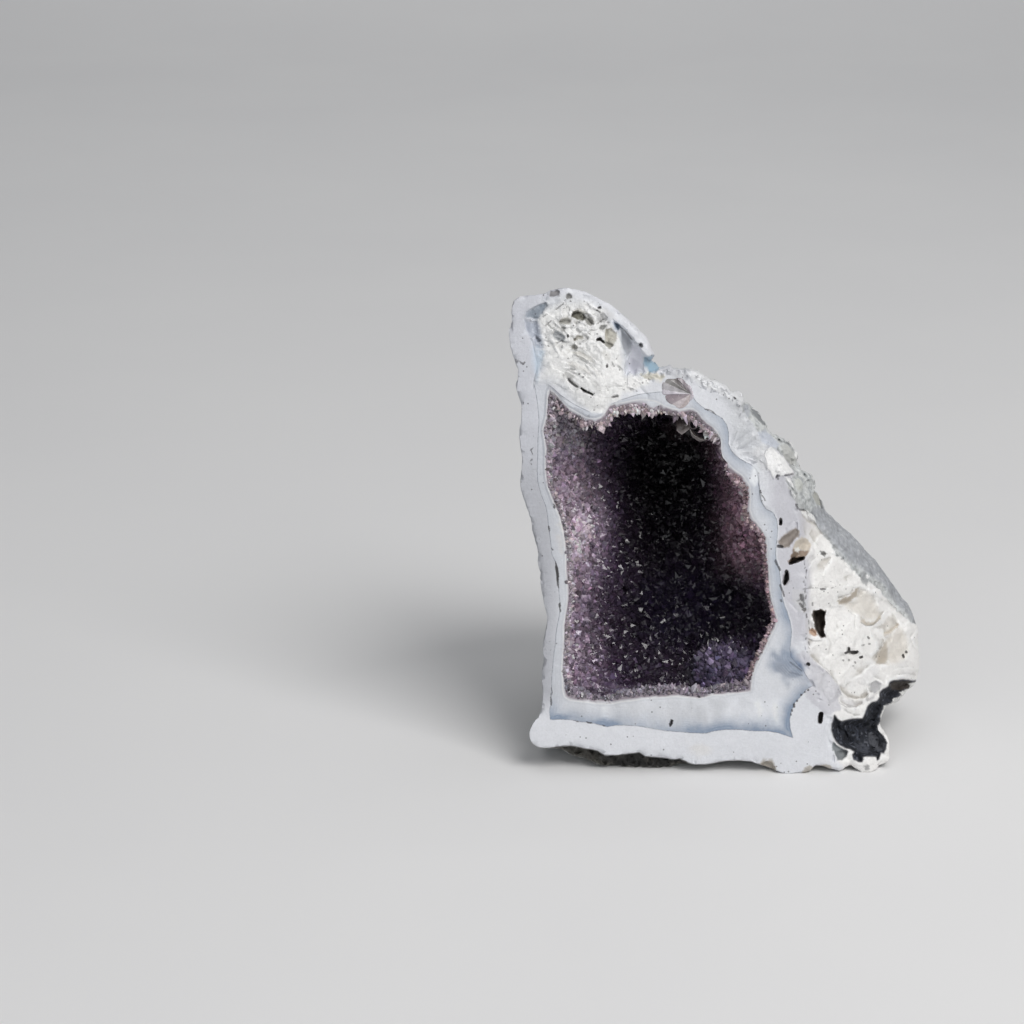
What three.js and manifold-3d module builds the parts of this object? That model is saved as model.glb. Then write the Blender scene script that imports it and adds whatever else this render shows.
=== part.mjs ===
// Amethyst geode: one broken piece of a nodule, standing on its flat underside.
// White chalcedony wall and grey outer rind around an open pocket lined with drusy quartz.
// It grew as one piece, so it is one closed solid with the pocket open at the front.
//
// Units are millimetres, +Z is up. The broken front face leans back from the vertical.
// The solid is described in face coordinates: u to the right along the face,
// v up along the leaning face, w straight into the rock. They are turned into
// x, y, z at the end, and the origin is put at the middle of the bounding box's bottom.

import * as THREE from 'three';
import { mergeVertices } from 'three/addons/utils/BufferGeometryUtils.js';
import Module from 'manifold-3d';

// ---- driving dimensions (mm, degrees) ----
const FACE_LEAN = 14;            // lean of the broken front face, back from the vertical
const HEART = { u: 60.6, v: 73.4 };  // point of the face that all outline radii are taken from
const TOTAL_DEPTH = 88;          // front face to the rearmost point, square to the face
const POCKET_DEPTH = 58;         // front face to the deepest point of the pocket
const CORE_RADIUS = 80;          // outline radii past this belong to the knob and the corners
const KNOB_DEPTH = 46;           // depth at which the knob has tapered into the body
const BASE_LEVEL = 0;            // height of the flat underside
const RIND_RELIEF = 1.3;         // unevenness of the outer rind
const POCKET_MOUTH_LEAD = 8;     // how far the cutting solid starts in front of the face

// Radii of the front face's edge, of the widest outline, and the depth of that widest
// outline behind the face. One value every 3 degrees, anticlockwise from +u.
const FACE_EDGE_RADIUS = [
  38.4, 37.9, 37.6, 37.6, 37.8, 38.0, 38.5, 39.1, 39.8, 40.6, 41.5, 42.5, 43.1, 43.6, 44.1, 44.3,
  44.7, 45.2, 46.3, 47.4, 48.2, 49.2, 50.8, 52.9, 55.7, 58.0, 59.2, 60.5, 61.5, 63.0, 64.5, 64.7,
  65.6, 65.4, 76.4, 84.6, 91.5, 96.7, 100.6, 102.4, 103.5, 106.1, 102.9, 97.4, 87.2, 83.6, 76.7,
  73.7, 71.5, 68.1, 65.5, 64.0, 62.6, 60.5, 58.1, 56.0, 54.5, 53.3, 52.2, 51.2, 51.2, 51.0, 50.6,
  50.9, 51.0, 51.2, 51.4, 51.6, 52.7, 54.7, 57.2, 59.0, 61.3, 64.3, 66.9, 70.9, 81.2, 82.4, 79.3,
  75.8, 74.1, 72.8, 72.7, 71.7, 69.7, 68.3, 68.8, 68.4, 68.3, 68.1, 69.5, 69.9, 70.1, 69.9, 70.3,
  71.2, 73.0, 76.1, 80.4, 82.0, 83.1, 84.3, 84.4, 76.5, 71.7, 58.2, 53.4, 50.3, 48.2, 46.5, 45.0,
  43.7, 42.6, 41.9, 41.3, 40.9, 40.4, 40.0, 39.7, 39.1
];
const OUTLINE_RADIUS = [
  64.2, 61.7, 58.9, 56.3, 54.2, 52.3, 51.2, 51.0, 50.6, 50.5, 51.8, 51.6, 50.0, 50.3, 51.7, 53.1,
  53.3, 52.5, 52.0, 52.3, 53.5, 54.9, 56.1, 57.0, 59.3, 59.8, 60.7, 61.7, 62.4, 64.2, 65.5, 65.5,
  66.9, 66.7, 79.4, 85.9, 92.1, 97.3, 101.2, 103.0, 104.1, 106.7, 103.5, 98.0, 87.8, 84.2, 77.3,
  74.3, 72.1, 68.7, 66.1, 64.6, 63.2, 61.1, 58.7, 56.6, 55.1, 53.9, 52.8, 51.8, 51.8, 51.6, 51.2,
  51.5, 51.6, 51.8, 52.0, 52.2, 53.3, 55.3, 57.8, 59.6, 61.9, 64.9, 67.5, 71.5, 81.8, 83.2, 80.9,
  78.6, 78.8, 77.3, 77.8, 76.6, 75.4, 74.8, 74.0, 73.4, 72.3, 70.7, 71.0, 70.5, 70.7, 70.5, 70.9,
  71.8, 73.6, 76.7, 81.0, 82.6, 83.7, 84.9, 89.3, 94.4, 97.0, 97.9, 93.7, 88.5, 89.8, 92.1, 94.6,
  94.4, 92.0, 89.6, 87.5, 84.1, 78.9, 74.9, 71.2, 68.1
];
const OUTLINE_DEPTH = [
  33.6, 32.5, 31.3, 30.0, 28.8, 27.7, 26.9, 26.6, 26.4, 26.1, 25.2, 24.1, 22.9, 21.8, 20.9, 20.0,
  19.1, 18.4, 17.5, 16.6, 15.6, 14.5, 13.6, 12.7, 11.6, 11.0, 10.8, 10.6, 10.4, 10.2, 10.0, 9.6,
  9.3, 8.0, 5.5, 5.1, 4.7, 4.3, 4.0, 3.5, 3.0, 2.4, 1.9, 1.5, 1.2, 1.1, 1.0, 1.0, 1.0, 1.0, 1.0,
  1.0, 1.0, 1.0, 1.0, 1.0, 1.0, 1.0, 1.0, 1.0, 1.0, 1.0, 1.0, 1.0, 1.0, 1.0, 1.0, 1.0, 1.0, 1.0,
  1.0, 1.0, 1.0, 1.0, 1.0, 1.2, 1.5, 2.4, 3.1, 3.6, 4.0, 4.0, 4.0, 4.0, 4.0, 4.0, 4.0, 3.8, 3.2,
  2.6, 2.1, 1.8, 1.6, 1.4, 1.2, 1.0, 1.0, 1.0, 1.0, 1.0, 1.0, 1.0, 1.0, 1.0, 3.0, 5.9, 12.6, 21.0,
  24.8, 29.7, 35.8, 40.2, 41.5, 42.0, 41.6, 41.2, 39.9, 38.1, 36.5, 35.1
];

// Pocket sections at growing depth: centre (u, v) and radii, anticlockwise from +u.
const POCKET_SECTIONS = [
  { depth: 0, u: 48.7, v: 73.4, radius: [
    38.2, 38.2, 37.9, 36.7, 36.2, 38.5, 40.9, 40.9, 41.0, 44.3, 49.0, 51.6, 51.8, 52.4, 54.4, 54.6,
    54.6, 52.1, 59.6, 61.6, 54.4, 48.6, 43.1, 37.3, 33.7, 31.7, 30.7, 30.3, 30.5, 30.7, 31.6, 33.3,
    36.6, 40.4, 45.6, 52.3, 55.5, 53.1, 51.3, 48.8, 47.3, 47.0, 47.4, 49.2, 50.2, 52.6, 54.9, 50.0,
    48.3, 47.2, 46.4, 42.4, 40.2, 39.0
  ] },
  { depth: 6, u: 48.9, v: 72.9, radius: [
    38.1, 37.8, 37.3, 36.3, 36.2, 38.2, 39.9, 40.5, 42.4, 45.3, 49.0, 51.1, 52.6, 53.0, 54.1, 53.8,
    53.7, 51.6, 59.3, 58.4, 49.9, 44.3, 38.8, 34.2, 30.7, 29.1, 28.0, 27.4, 27.4, 27.7, 28.4, 30.2,
    32.8, 36.3, 40.8, 46.9, 52.9, 51.5, 49.2, 47.2, 46.2, 46.0, 46.4, 47.5, 49.1, 51.2, 52.1, 49.3,
    47.3, 46.1, 44.7, 42.6, 40.4, 38.9
  ] },
  { depth: 14, u: 50.0, v: 75.7, radius: [
    33.2, 32.4, 32.0, 32.2, 33.3, 34.9, 36.3, 38.3, 40.7, 44.0, 47.7, 49.6, 51.1, 51.4, 52.3, 52.6,
    52.9, 51.7, 55.6, 52.6, 44.6, 39.3, 34.4, 30.5, 27.4, 25.3, 24.3, 23.7, 23.4, 23.6, 24.2, 25.3,
    26.9, 29.7, 33.6, 39.6, 47.5, 49.8, 48.3, 46.7, 45.8, 45.6, 46.1, 47.2, 47.3, 47.4, 45.8, 44.8,
    44.6, 43.3, 41.1, 38.3, 36.1, 34.3
  ] },
  { depth: 24, u: 51.5, v: 80.1, radius: [
    25.6, 25.1, 25.0, 25.6, 26.6, 28.0, 29.7, 32.1, 35.5, 39.6, 43.4, 45.2, 46.7, 47.0, 48.0, 48.7,
    49.3, 49.2, 49.2, 45.5, 38.3, 33.1, 29.1, 26.1, 23.7, 21.8, 20.5, 19.9, 19.7, 19.7, 20.0, 20.6,
    21.7, 23.2, 25.4, 29.8, 36.9, 44.5, 47.5, 47.1, 46.3, 45.7, 45.0, 44.7, 43.6, 42.8, 42.5, 42.4,
    40.9, 37.8, 34.2, 30.8, 28.3, 26.6
  ] },
  { depth: 36, u: 53.2, v: 86.2, radius: [
    19.1, 19.0, 19.2, 19.7, 20.5, 21.6, 23.2, 25.3, 28.2, 31.5, 34.7, 36.5, 38.4, 38.8, 39.7, 40.9,
    40.3, 40.3, 38.8, 35.4, 30.4, 26.3, 23.3, 20.9, 19.1, 17.9, 17.0, 16.4, 16.1, 15.9, 16.1, 16.6,
    17.4, 18.6, 20.2, 22.4, 25.7, 30.6, 38.0, 42.6, 42.6, 42.4, 41.6, 40.9, 40.1, 39.4, 38.5, 35.2,
    31.0, 26.6, 23.6, 21.6, 20.2, 19.4
  ] },
  { depth: 46, u: 54.0, v: 92.7, radius: [
    14.6, 14.7, 14.8, 15.1, 15.7, 16.5, 17.7, 19.1, 20.8, 23.3, 25.2, 26.8, 28.7, 29.0, 29.8, 31.1,
    31.0, 30.3, 29.2, 27.1, 23.2, 20.2, 17.9, 16.3, 15.1, 14.1, 13.4, 12.9, 12.7, 12.6, 12.6, 12.7,
    13.1, 13.6, 14.4, 15.5, 17.4, 20.2, 24.4, 30.7, 33.3, 34.5, 33.2, 32.4, 30.5, 29.0, 25.7, 22.7,
    20.0, 18.0, 16.7, 15.8, 15.2, 14.8
  ] },
  { depth: 53, u: 54.4, v: 95.8, radius: [
    9.9, 9.9, 10.0, 10.3, 10.8, 11.4, 12.3, 13.6, 14.8, 16.0, 17.7, 20.2, 21.0, 21.9, 23.2, 22.4,
    21.8, 21.5, 18.4, 16.2, 14.6, 12.5, 11.1, 10.1, 9.4, 8.9, 8.5, 8.2, 8.0, 7.9, 8.0, 8.1, 8.4,
    8.8, 9.5, 10.3, 11.5, 13.2, 15.7, 17.8, 20.0, 21.2, 20.7, 20.5, 18.3, 16.8, 15.7, 13.9, 12.6,
    11.7, 11.0, 10.5, 10.3, 10.1
  ] },
];

// Druse mounds left standing in the pocket: centre (u, v, w) and half sizes.
const POCKET_MOUNDS = [
  { at: [80.0, 31.0, 17.0], size: [17.0, 14.0, 12.0] },   // low mound in the lower right corner
  { at: [89.0, 90.0, 22.0], size: [9.0, 16.0, 14.0] },   // swelling of the right wall
];

// Shallow dark hollow in the lower right flank.
const FLANK_HOLLOW = { at: [121.5, 13.5, 4.5], size: [9.5, 9.0, 8.5] };

// ---- helpers ----
const DEG = Math.PI / 180;

// Slow, even unevenness, always the same: a sum of crossed waves between about -1 and 1.
function relief(u, v, w) {
  return 0.38 * Math.sin(0.145 * u + 1.3 * Math.sin(0.071 * v + 0.4) + 0.9)
    + 0.34 * Math.sin(0.131 * v - 1.1 * Math.sin(0.083 * w + 1.7) + 2.1)
    + 0.28 * Math.sin(0.117 * w + 1.2 * Math.sin(0.097 * u - 0.6) - 0.7);
}

// Closed body from rings of points, with a single point closing each end.
function loft(start, rings, end) {
  const count = rings[0].length;
  const position = [...start, ...rings.flat(2), ...end];
  const at = (ring, k) => 1 + ring * count + (k % count);
  const last = 1 + rings.length * count;
  const index = [];
  for (let k = 0; k < count; k++) index.push(0, at(0, k + 1), at(0, k));
  for (let r = 0; r + 1 < rings.length; r++) {
    for (let k = 0; k < count; k++) {
      const a = at(r, k), b = at(r, k + 1), c = at(r + 1, k), d = at(r + 1, k + 1);
      if ((r + k) % 2) index.push(a, b, d, a, d, c);
      else index.push(a, b, c, b, d, c);
    }
  }
  for (let k = 0; k < count; k++) index.push(last, at(rings.length - 1, k), at(rings.length - 1, k + 1));
  const geometry = new THREE.BufferGeometry();
  geometry.setAttribute('position', new THREE.Float32BufferAttribute(position, 3));
  geometry.setIndex(index);
  return geometry;
}

const wasm = await Module();
wasm.setup();

function toSolid(geometry) {
  const bare = geometry.clone();
  bare.deleteAttribute('normal');
  bare.deleteAttribute('uv');
  const merged = mergeVertices(bare, 1e-4);
  const solid = new wasm.Manifold(new wasm.Mesh({
    numProp: 3,
    vertProperties: new Float32Array(merged.attributes.position.array),
    triVerts: new Uint32Array(merged.index.array),
  }));
  return solid;
}

function toGeometry(solid) {
  const mesh = solid.getMesh();
  const geometry = new THREE.BufferGeometry();
  geometry.setAttribute('position', new THREE.BufferAttribute(new Float32Array(mesh.vertProperties), 3));
  geometry.setIndex(new THREE.BufferAttribute(new Uint32Array(mesh.triVerts), 1));
  return geometry;
}

function ellipsoid({ at, size }, detail) {
  return new THREE.IcosahedronGeometry(1, detail).scale(...size).translate(...at);
}

// ---- outer body ----
const COUNT = OUTLINE_RADIUS.length;
const ring = (radiusAt, depthAt) => Array.from({ length: COUNT }, (_, k) => {
  const angle = (k / COUNT) * 2 * Math.PI;
  const r = radiusAt(k, angle), w = depthAt(k, angle);
  return [HEART.u + r * Math.cos(angle), HEART.v + r * Math.sin(angle), w];
});

const rings = [];
// the flat broken face, and the flank that falls away from its edge to the widest outline
for (const f of [0, 0.3, 0.65, 1]) {
  const fall = 0.55 * f + 0.45 * (1 - Math.sqrt(1 - f * f));
  rings.push(ring(
    (k) => FACE_EDGE_RADIUS[k] + (OUTLINE_RADIUS[k] - FACE_EDGE_RADIUS[k]) * f,
    (k) => OUTLINE_DEPTH[k] * fall,
  ));
}
// the back: fuller towards the underside, so that the piece stands on it
for (const t of [0.14, 0.28, 0.42, 0.55, 0.67, 0.77, 0.86, 0.93, 0.975]) {
  rings.push(ring(
    (k, angle) => {
      const w = OUTLINE_DEPTH[k] + (TOTAL_DEPTH - OUTLINE_DEPTH[k]) * t;
      const low = Math.max(0, -Math.sin(angle));
      const fullness = 2.1 + 3.6 * low * low;
      const core = Math.min(OUTLINE_RADIUS[k], CORE_RADIUS);
      const knob = Math.max(0, 1 - (w / KNOB_DEPTH) ** 2);
      const body = core * Math.pow(1 - Math.pow(t, fullness), 1 / (2 + 0.8 * low));
      const r = body + (OUTLINE_RADIUS[k] - core) * (low > 0 ? 1 - t : knob);
      return r + RIND_RELIEF * Math.min(1, t * 4) * relief(
        HEART.u + r * Math.cos(angle), HEART.v + r * Math.sin(angle), w) - RIND_RELIEF * Math.min(1, t * 4) * 0.6;
    },
    (k) => OUTLINE_DEPTH[k] + (TOTAL_DEPTH - OUTLINE_DEPTH[k]) * t,
  ));
}
const body = loft([HEART.u, HEART.v, 0], rings, [HEART.u, HEART.v - 6, TOTAL_DEPTH]);

// ---- pocket ----
const first = POCKET_SECTIONS[0];
const section = ({ u, v, radius }, depth) => radius.map((r, k) => {
  const angle = (k / radius.length) * 2 * Math.PI;
  return [u + r * Math.cos(angle), v + r * Math.sin(angle), depth];
});
const last = POCKET_SECTIONS[POCKET_SECTIONS.length - 1];
const pocketGeometry = loft(
  [first.u, first.v, -POCKET_MOUTH_LEAD],
  [section(first, -POCKET_MOUTH_LEAD), ...POCKET_SECTIONS.map((s) => section(s, s.depth))],
  [last.u, last.v, POCKET_DEPTH],
);
let pocket = toSolid(pocketGeometry);
for (const mound of POCKET_MOUNDS) pocket = pocket.subtract(toSolid(ellipsoid(mound, 3)));

// ---- the one solid, from face coordinates to x, y, z ----
const lean = FACE_LEAN * DEG;
const toWorld = new THREE.Matrix4().set(
  1, 0, 0, 0,
  0, Math.sin(lean), Math.cos(lean), 0,
  0, Math.cos(lean), -Math.sin(lean), 0,
  0, 0, 0, 1,
);

// (u, v, w) is left-handed in x, y, z, so the triangles are turned over with the change
function stand(solid) {
  const geometry = toGeometry(solid).applyMatrix4(toWorld);
  const index = geometry.index.array;
  for (let i = 0; i < index.length; i += 3) [index[i + 1], index[i + 2]] = [index[i + 2], index[i + 1]];
  return geometry;
}

const carved = toSolid(body).subtract(pocket).subtract(toSolid(ellipsoid(FLANK_HOLLOW, 3)));
const below = new THREE.BoxGeometry(400, 400, 100).translate(60, 60, BASE_LEVEL - 50);
const geode = toGeometry(toSolid(stand(carved)).subtract(toSolid(below)));
geode.computeBoundingBox();
const box = geode.boundingBox;
geode.translate(-(box.min.x + box.max.x) / 2, -(box.min.y + box.max.y) / 2, -box.min.z);
geode.computeVertexNormals();

const rock = new THREE.MeshStandardMaterial({ color: 0xd6d6d8, roughness: 0.62, metalness: 0.0, flatShading: true });
const amethystGeode = new THREE.Mesh(geode, rock);
amethystGeode.name = 'amethyst_geode';

const part = new THREE.Group();
part.add(amethystGeode);

export default part;
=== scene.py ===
"""Looks of the amethyst geode: a broken piece of a nodule with a crystal-lined pocket.

Everything is worked out in face coordinates, in millimetres: u to the right along the broken
front face, v up along that leaning face, w straight into the rock. What shows from the front is
laid out by its place (a, b) on the face plane as seen from the camera, so that relief, colour and
outline stay together whatever their depth.
"""
import math

import bpy
import numpy as np
from mathutils import Matrix, Vector


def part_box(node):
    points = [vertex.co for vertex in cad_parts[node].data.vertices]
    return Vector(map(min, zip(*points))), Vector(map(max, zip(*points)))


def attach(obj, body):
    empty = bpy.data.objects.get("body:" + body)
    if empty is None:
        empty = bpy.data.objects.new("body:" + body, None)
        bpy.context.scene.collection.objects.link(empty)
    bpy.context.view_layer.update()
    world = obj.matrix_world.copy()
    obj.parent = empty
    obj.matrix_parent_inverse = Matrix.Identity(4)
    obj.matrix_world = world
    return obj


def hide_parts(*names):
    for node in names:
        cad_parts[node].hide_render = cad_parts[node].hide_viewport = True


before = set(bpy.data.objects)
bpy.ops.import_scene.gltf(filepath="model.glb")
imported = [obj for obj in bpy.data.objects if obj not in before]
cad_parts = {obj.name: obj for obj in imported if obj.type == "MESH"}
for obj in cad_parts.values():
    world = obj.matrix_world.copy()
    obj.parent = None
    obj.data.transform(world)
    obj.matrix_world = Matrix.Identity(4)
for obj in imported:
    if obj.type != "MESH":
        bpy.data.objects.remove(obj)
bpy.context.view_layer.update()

LOW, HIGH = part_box("amethyst_geode")

# ------------------------------------------------------------------ frame
LEAN = math.radians(14.0)                 # the broken face leans back
SL, CL = math.sin(LEAN), math.cos(LEAN)
X0 = LOW.x + 0.0010734                    # row x of u = 0
Y0 = LOW.y                                # row y of v = w = 0
EYE = (0.0, 159.57, -997.56)              # camera, in face coordinates, mm
HEART = (60.561, 73.445)                  # all outline radii are taken from here
TOTAL_DEPTH = 88.0


def to_row(u, v, w):
    """Face coordinates in mm -> row frame in metres."""
    return np.stack([u * 1e-3 + X0, (v * SL + w * CL) * 1e-3 + Y0, (v * CL - w * SL) * 1e-3], -1)


def seen(u, v, w):
    """Where a point shows on the face plane, seen from the camera."""
    s = -EYE[2] / (w - EYE[2])
    return EYE[0] + (u - EYE[0]) * s, EYE[1] + (v - EYE[1]) * s


# ------------------------------------------------------------------ camera
def place_camera():
    elevation = math.radians(18.0)
    eye = Vector((X0 + EYE[0] * 1e-3,
                  Y0 + (EYE[1] * SL + EYE[2] * CL) * 1e-3,
                  (EYE[1] * CL - EYE[2] * SL) * 1e-3))
    ahead = Vector((0, math.cos(elevation), -math.sin(elevation)))
    up = Vector((0, math.sin(elevation), math.cos(elevation)))
    right = Vector((1, 0, 0))
    data = bpy.data.cameras.new("camera")
    data.sensor_width = 36.0
    data.lens = 103.448
    data.clip_start = 0.01
    data.clip_end = 50.0
    camera = bpy.data.objects.new("camera", data)
    m = Matrix((right, up, -ahead)).transposed().to_4x4()
    m.translation = eye
    camera.matrix_world = m
    bpy.context.scene.collection.objects.link(camera)
    bpy.context.scene.camera = camera
    return camera


place_camera()

# ------------------------------------------------------------------ outlines, mm on the face plane
OUTLINE = [
    (0.3, 161.7), (2.7, 163.0), (6.1, 163.4), (10.5, 163.7), (12.8, 165.0), (16.2, 165.7), (18.6, 166.1), (21.3,
    165.4), (24.7, 164.7), (28.1, 163.0), (31.4, 161.3), (33.8, 160.0), (37.2, 157.3), (40.6, 154.3), (43.3, 151.6),
    (45.7, 149.5), (46.7, 147.8), (47.4, 145.5), (48.4, 143.1), (47.4, 141.4), (48.8, 140.4), (50.1, 139.0), (51.8,
    139.6), (53.5, 140.4), (54.5, 139.4), (56.9, 139.0), (60.3, 139.2), (63.0, 138.0), (65.7, 136.0), (68.8, 135.0),
    (72.2, 133.3), (74.5, 131.4), (76.2, 131.6), (77.9, 130.2), (79.0, 127.9), (81.0, 126.2), (83.4, 124.1), (85.1,
    121.8), (86.8, 119.1), (88.5, 116.7), (90.9, 115.7), (93.0, 114.5), (94.3, 114.0), (96.0, 112.3), (97.1, 109.9),
    (96.7, 107.5), (97.8, 105.8), (98.8, 104.1), (101.9, 102.7), (102.9, 100.7), (103.2, 99.0), (102.7, 98.3), (103.9,
    95.9), (105.7, 92.9), (106.7, 90.2), (109.1, 88.1), (112.2, 85.0), (114.9, 82.7), (118.4, 79.2), (120.8, 76.2),
    (123.8, 73.4), (125.9, 70.4), (128.7, 66.6), (131.1, 63.2), (132.8, 60.5), (134.9, 58.7), (136.3, 55.7), (137.3,
    52.6), (138.4, 50.2), (138.4, 46.1), (138.8, 42.0), (139.2, 36.5), (138.9, 33.7), (138.2, 32.0), (137.2, 29.9),
    (135.1, 28.9), (133.8, 27.2), (132.5, 25.5), (130.1, 24.1), (128.0, 23.4), (127.0, 21.7), (126.4, 20.0), (125.7,
    17.6), (126.4, 15.9), (128.1, 13.8), (129.2, 11.0), (129.2, 8.3), (129.2, 5.5), (128.5, 4.1), (125.8, 3.1),
    (124.8, 1.4), (123.4, 0.7), (121.4, -0.2), (119.3, 0.3), (117.3, 2.1), (115.9, 3.1), (113.9, 2.1), (112.2, 0.9),
    (109.4, 1.7), (107.4, 2.1), (106.0, 2.8), (103.6, 2.8), (101.9, 0.7), (98.5, -0.0), (96.8, -0.0), (94.0, -0.7),
    (91.6, 0.3), (88.2, 1.9), (84.8, 3.1), (81.4, 4.1), (77.9, 4.3), (74.5, 4.3), (71.8, 4.1), (68.4, 3.4), (66.0,
    3.1), (63.2, 3.4), (61.9, 2.8), (60.5, 2.8), (57.4, 3.4), (54.0, 2.4), (50.6, 1.4), (47.2, 1.7), (43.8, 1.7),
    (39.7, 1.9), (35.2, 2.8), (31.8, 2.4), (29.1, 2.8), (27.3, 4.1), (25.0, 5.3), (21.5, 5.5), (19.8, 6.6), (17.4,
    8.3), (14.7, 8.6), (11.3, 8.3), (8.9, 8.6), (7.2, 10.0), (6.2, 11.4), (5.8, 13.1), (5.8, 14.8), (6.1, 16.9), (7.5,
    18.3), (8.9, 19.6), (9.9, 22.0), (10.2, 25.5), (10.4, 28.9), (10.1, 32.4), (10.2, 35.8), (10.7, 39.2), (10.4,
    42.6), (10.6, 46.1), (11.2, 48.5), (11.9, 52.2), (11.9, 54.6), (10.9, 58.1), (10.0, 63.2), (9.5, 66.6), (9.7,
    69.3), (8.7, 71.7), (8.8, 76.2), (8.2, 78.6), (7.5, 81.3), (6.8, 83.7), (6.5, 86.4), (5.1, 90.5), (4.1, 93.9),
    (2.9, 97.0), (2.7, 100.7), (3.2, 104.1), (3.4, 107.5), (3.2, 109.2), (2.7, 112.6), (2.2, 116.0), (2.7, 119.4),
    (3.2, 122.8), (3.1, 126.2), (2.0, 129.6), (1.0, 133.0), (1.9, 135.3), (2.0, 138.0), (0.8, 141.4), (0.0, 143.8),
    (-0.7, 145.8), (-1.0, 148.2), (-1.2, 150.5), (-0.7, 153.2), (-0.3, 156.6), (-0.2, 159.0)]
FACE = [
    (0.3, 161.7), (2.7, 163.0), (6.1, 163.4), (10.5, 163.7), (12.8, 165.0), (16.2, 165.7), (18.6, 166.1), (21.3,
    165.4), (24.7, 164.7), (28.1, 163.0), (31.4, 161.3), (33.8, 160.0), (36.5, 157.3), (39.6, 154.3), (42.3, 151.2),
    (44.3, 148.8), (45.4, 146.8), (46.0, 144.8), (47.1, 143.1), (46.1, 141.1), (46.7, 139.4), (48.4, 138.0), (50.8,
    138.0), (53.5, 138.7), (56.9, 138.0), (60.3, 138.0), (63.0, 137.0), (65.7, 135.0), (68.8, 134.0), (72.2, 131.9),
    (74.2, 130.2), (75.9, 129.2), (77.3, 127.2), (78.3, 125.5), (80.0, 121.8), (83.1, 117.0), (86.9, 112.6), (89.3,
    108.2), (93.7, 102.4), (96.1, 97.3), (96.9, 90.5), (97.2, 83.7), (98.0, 76.9), (100.1, 70.0), (100.1, 63.2),
    (99.5, 56.4), (99.5, 49.5), (99.6, 42.6), (100.3, 37.5), (101.7, 32.4), (103.4, 28.9), (105.8, 25.5), (108.2,
    21.4), (108.9, 18.6), (108.6, 13.4), (109.4, 8.3), (110.4, 4.1), (112.2, 2.1), (109.4, 2.1), (107.4, 2.4), (106.0,
    2.9), (103.6, 3.1), (101.9, 1.0), (98.5, 0.3), (96.8, 0.3), (94.0, -0.3), (91.6, 0.7), (88.2, 2.2), (84.8, 3.4),
    (81.4, 4.5), (77.9, 4.7), (74.5, 4.7), (71.8, 4.5), (68.4, 3.8), (66.0, 3.4), (63.2, 3.4), (60.9, 3.8), (57.4,
    5.5), (55.7, 5.2), (50.6, 5.9), (45.5, 6.2), (43.7, 7.6), (39.6, 7.2), (35.2, 6.6), (31.8, 6.6), (29.1, 8.3),
    (24.9, 9.0), (20.5, 10.0), (16.4, 9.7), (11.3, 9.0), (8.9, 9.3), (7.2, 10.3), (6.2, 11.7), (5.8, 13.1), (5.8,
    14.8), (6.1, 16.9), (7.5, 18.3), (8.9, 19.6), (9.9, 22.0), (10.2, 25.5), (10.4, 28.9), (10.1, 32.4), (10.2, 35.8),
    (10.7, 39.2), (10.4, 42.6), (10.6, 46.1), (11.2, 48.5), (11.9, 52.2), (11.9, 54.6), (10.9, 58.1), (10.0, 63.2),
    (9.5, 66.6), (9.7, 69.3), (8.7, 71.7), (8.8, 76.2), (8.2, 78.6), (7.5, 81.3), (6.8, 83.7), (6.5, 86.4), (5.1,
    90.5), (4.1, 93.9), (2.9, 97.0), (2.7, 100.7), (3.2, 104.1), (3.4, 107.5), (3.2, 109.2), (2.7, 112.6), (2.2,
    116.0), (2.7, 119.4), (3.2, 122.8), (3.1, 126.2), (2.0, 129.6), (1.0, 133.0), (1.9, 135.3), (2.0, 138.0), (0.8,
    141.4), (0.0, 143.8), (-0.7, 145.8), (-1.0, 148.2), (-1.2, 150.5), (-0.7, 153.2), (-0.3, 156.6), (-0.2, 159.0)]
POCKET = [
    (12.5, 131.6), (13.6, 130.9), (15.3, 129.2), (16.9, 126.9), (18.6, 125.2), (21.0, 124.1), (23.1, 122.8), (25.8,
    121.6), (28.1, 121.3), (29.8, 121.6), (31.2, 122.8), (32.2, 124.5), (32.9, 125.7), (34.9, 126.3), (38.3, 127.0),
    (40.7, 127.5), (43.4, 127.9), (46.8, 127.7), (49.1, 127.2), (51.5, 125.8), (54.2, 124.8), (57.0, 124.3), (59.3,
    124.8), (61.4, 124.8), (63.1, 123.5), (64.1, 121.8), (66.1, 119.7), (68.2, 118.4), (69.5, 117.0), (70.6, 115.0),
    (70.9, 112.9), (70.8, 110.9), (71.3, 108.5), (73.0, 106.5), (75.0, 104.4), (77.8, 102.4), (79.8, 100.0), (80.8,
    98.3), (80.9, 93.9), (80.7, 90.5), (81.6, 88.1), (83.3, 85.7), (85.0, 83.3), (86.4, 80.6), (86.7, 76.9), (86.9,
    72.8), (87.5, 68.3), (87.8, 63.2), (88.2, 59.8), (89.2, 56.4), (90.3, 53.6), (89.6, 50.5), (88.3, 47.8), (86.3,
    43.7), (84.6, 40.2), (82.9, 36.8), (81.9, 33.7), (81.6, 30.6), (81.4, 28.6), (77.8, 28.2), (72.7, 27.5), (68.6,
    27.4), (64.2, 26.2), (60.8, 26.5), (55.6, 26.9), (50.5, 26.5), (45.4, 26.2), (42.0, 25.5), (37.6, 25.1), (34.1,
    24.3), (30.0, 24.3), (26.6, 24.8), (23.2, 25.1), (19.8, 25.5), (18.1, 26.5), (17.4, 28.9), (17.4, 32.4), (17.1,
    35.8), (17.4, 40.9), (17.7, 46.1), (17.7, 51.2), (18.4, 55.7), (19.1, 59.8), (18.9, 64.9), (18.4, 70.0), (18.4,
    75.2), (17.9, 80.3), (17.3, 83.7), (16.3, 87.8), (15.0, 91.2), (13.6, 94.6), (12.2, 98.3), (11.5, 102.4), (11.4,
    106.5), (11.5, 110.9), (11.2, 114.3), (10.5, 117.7), (11.2, 120.1), (11.9, 122.8), (12.0, 126.2), (12.2, 129.6)]
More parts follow.
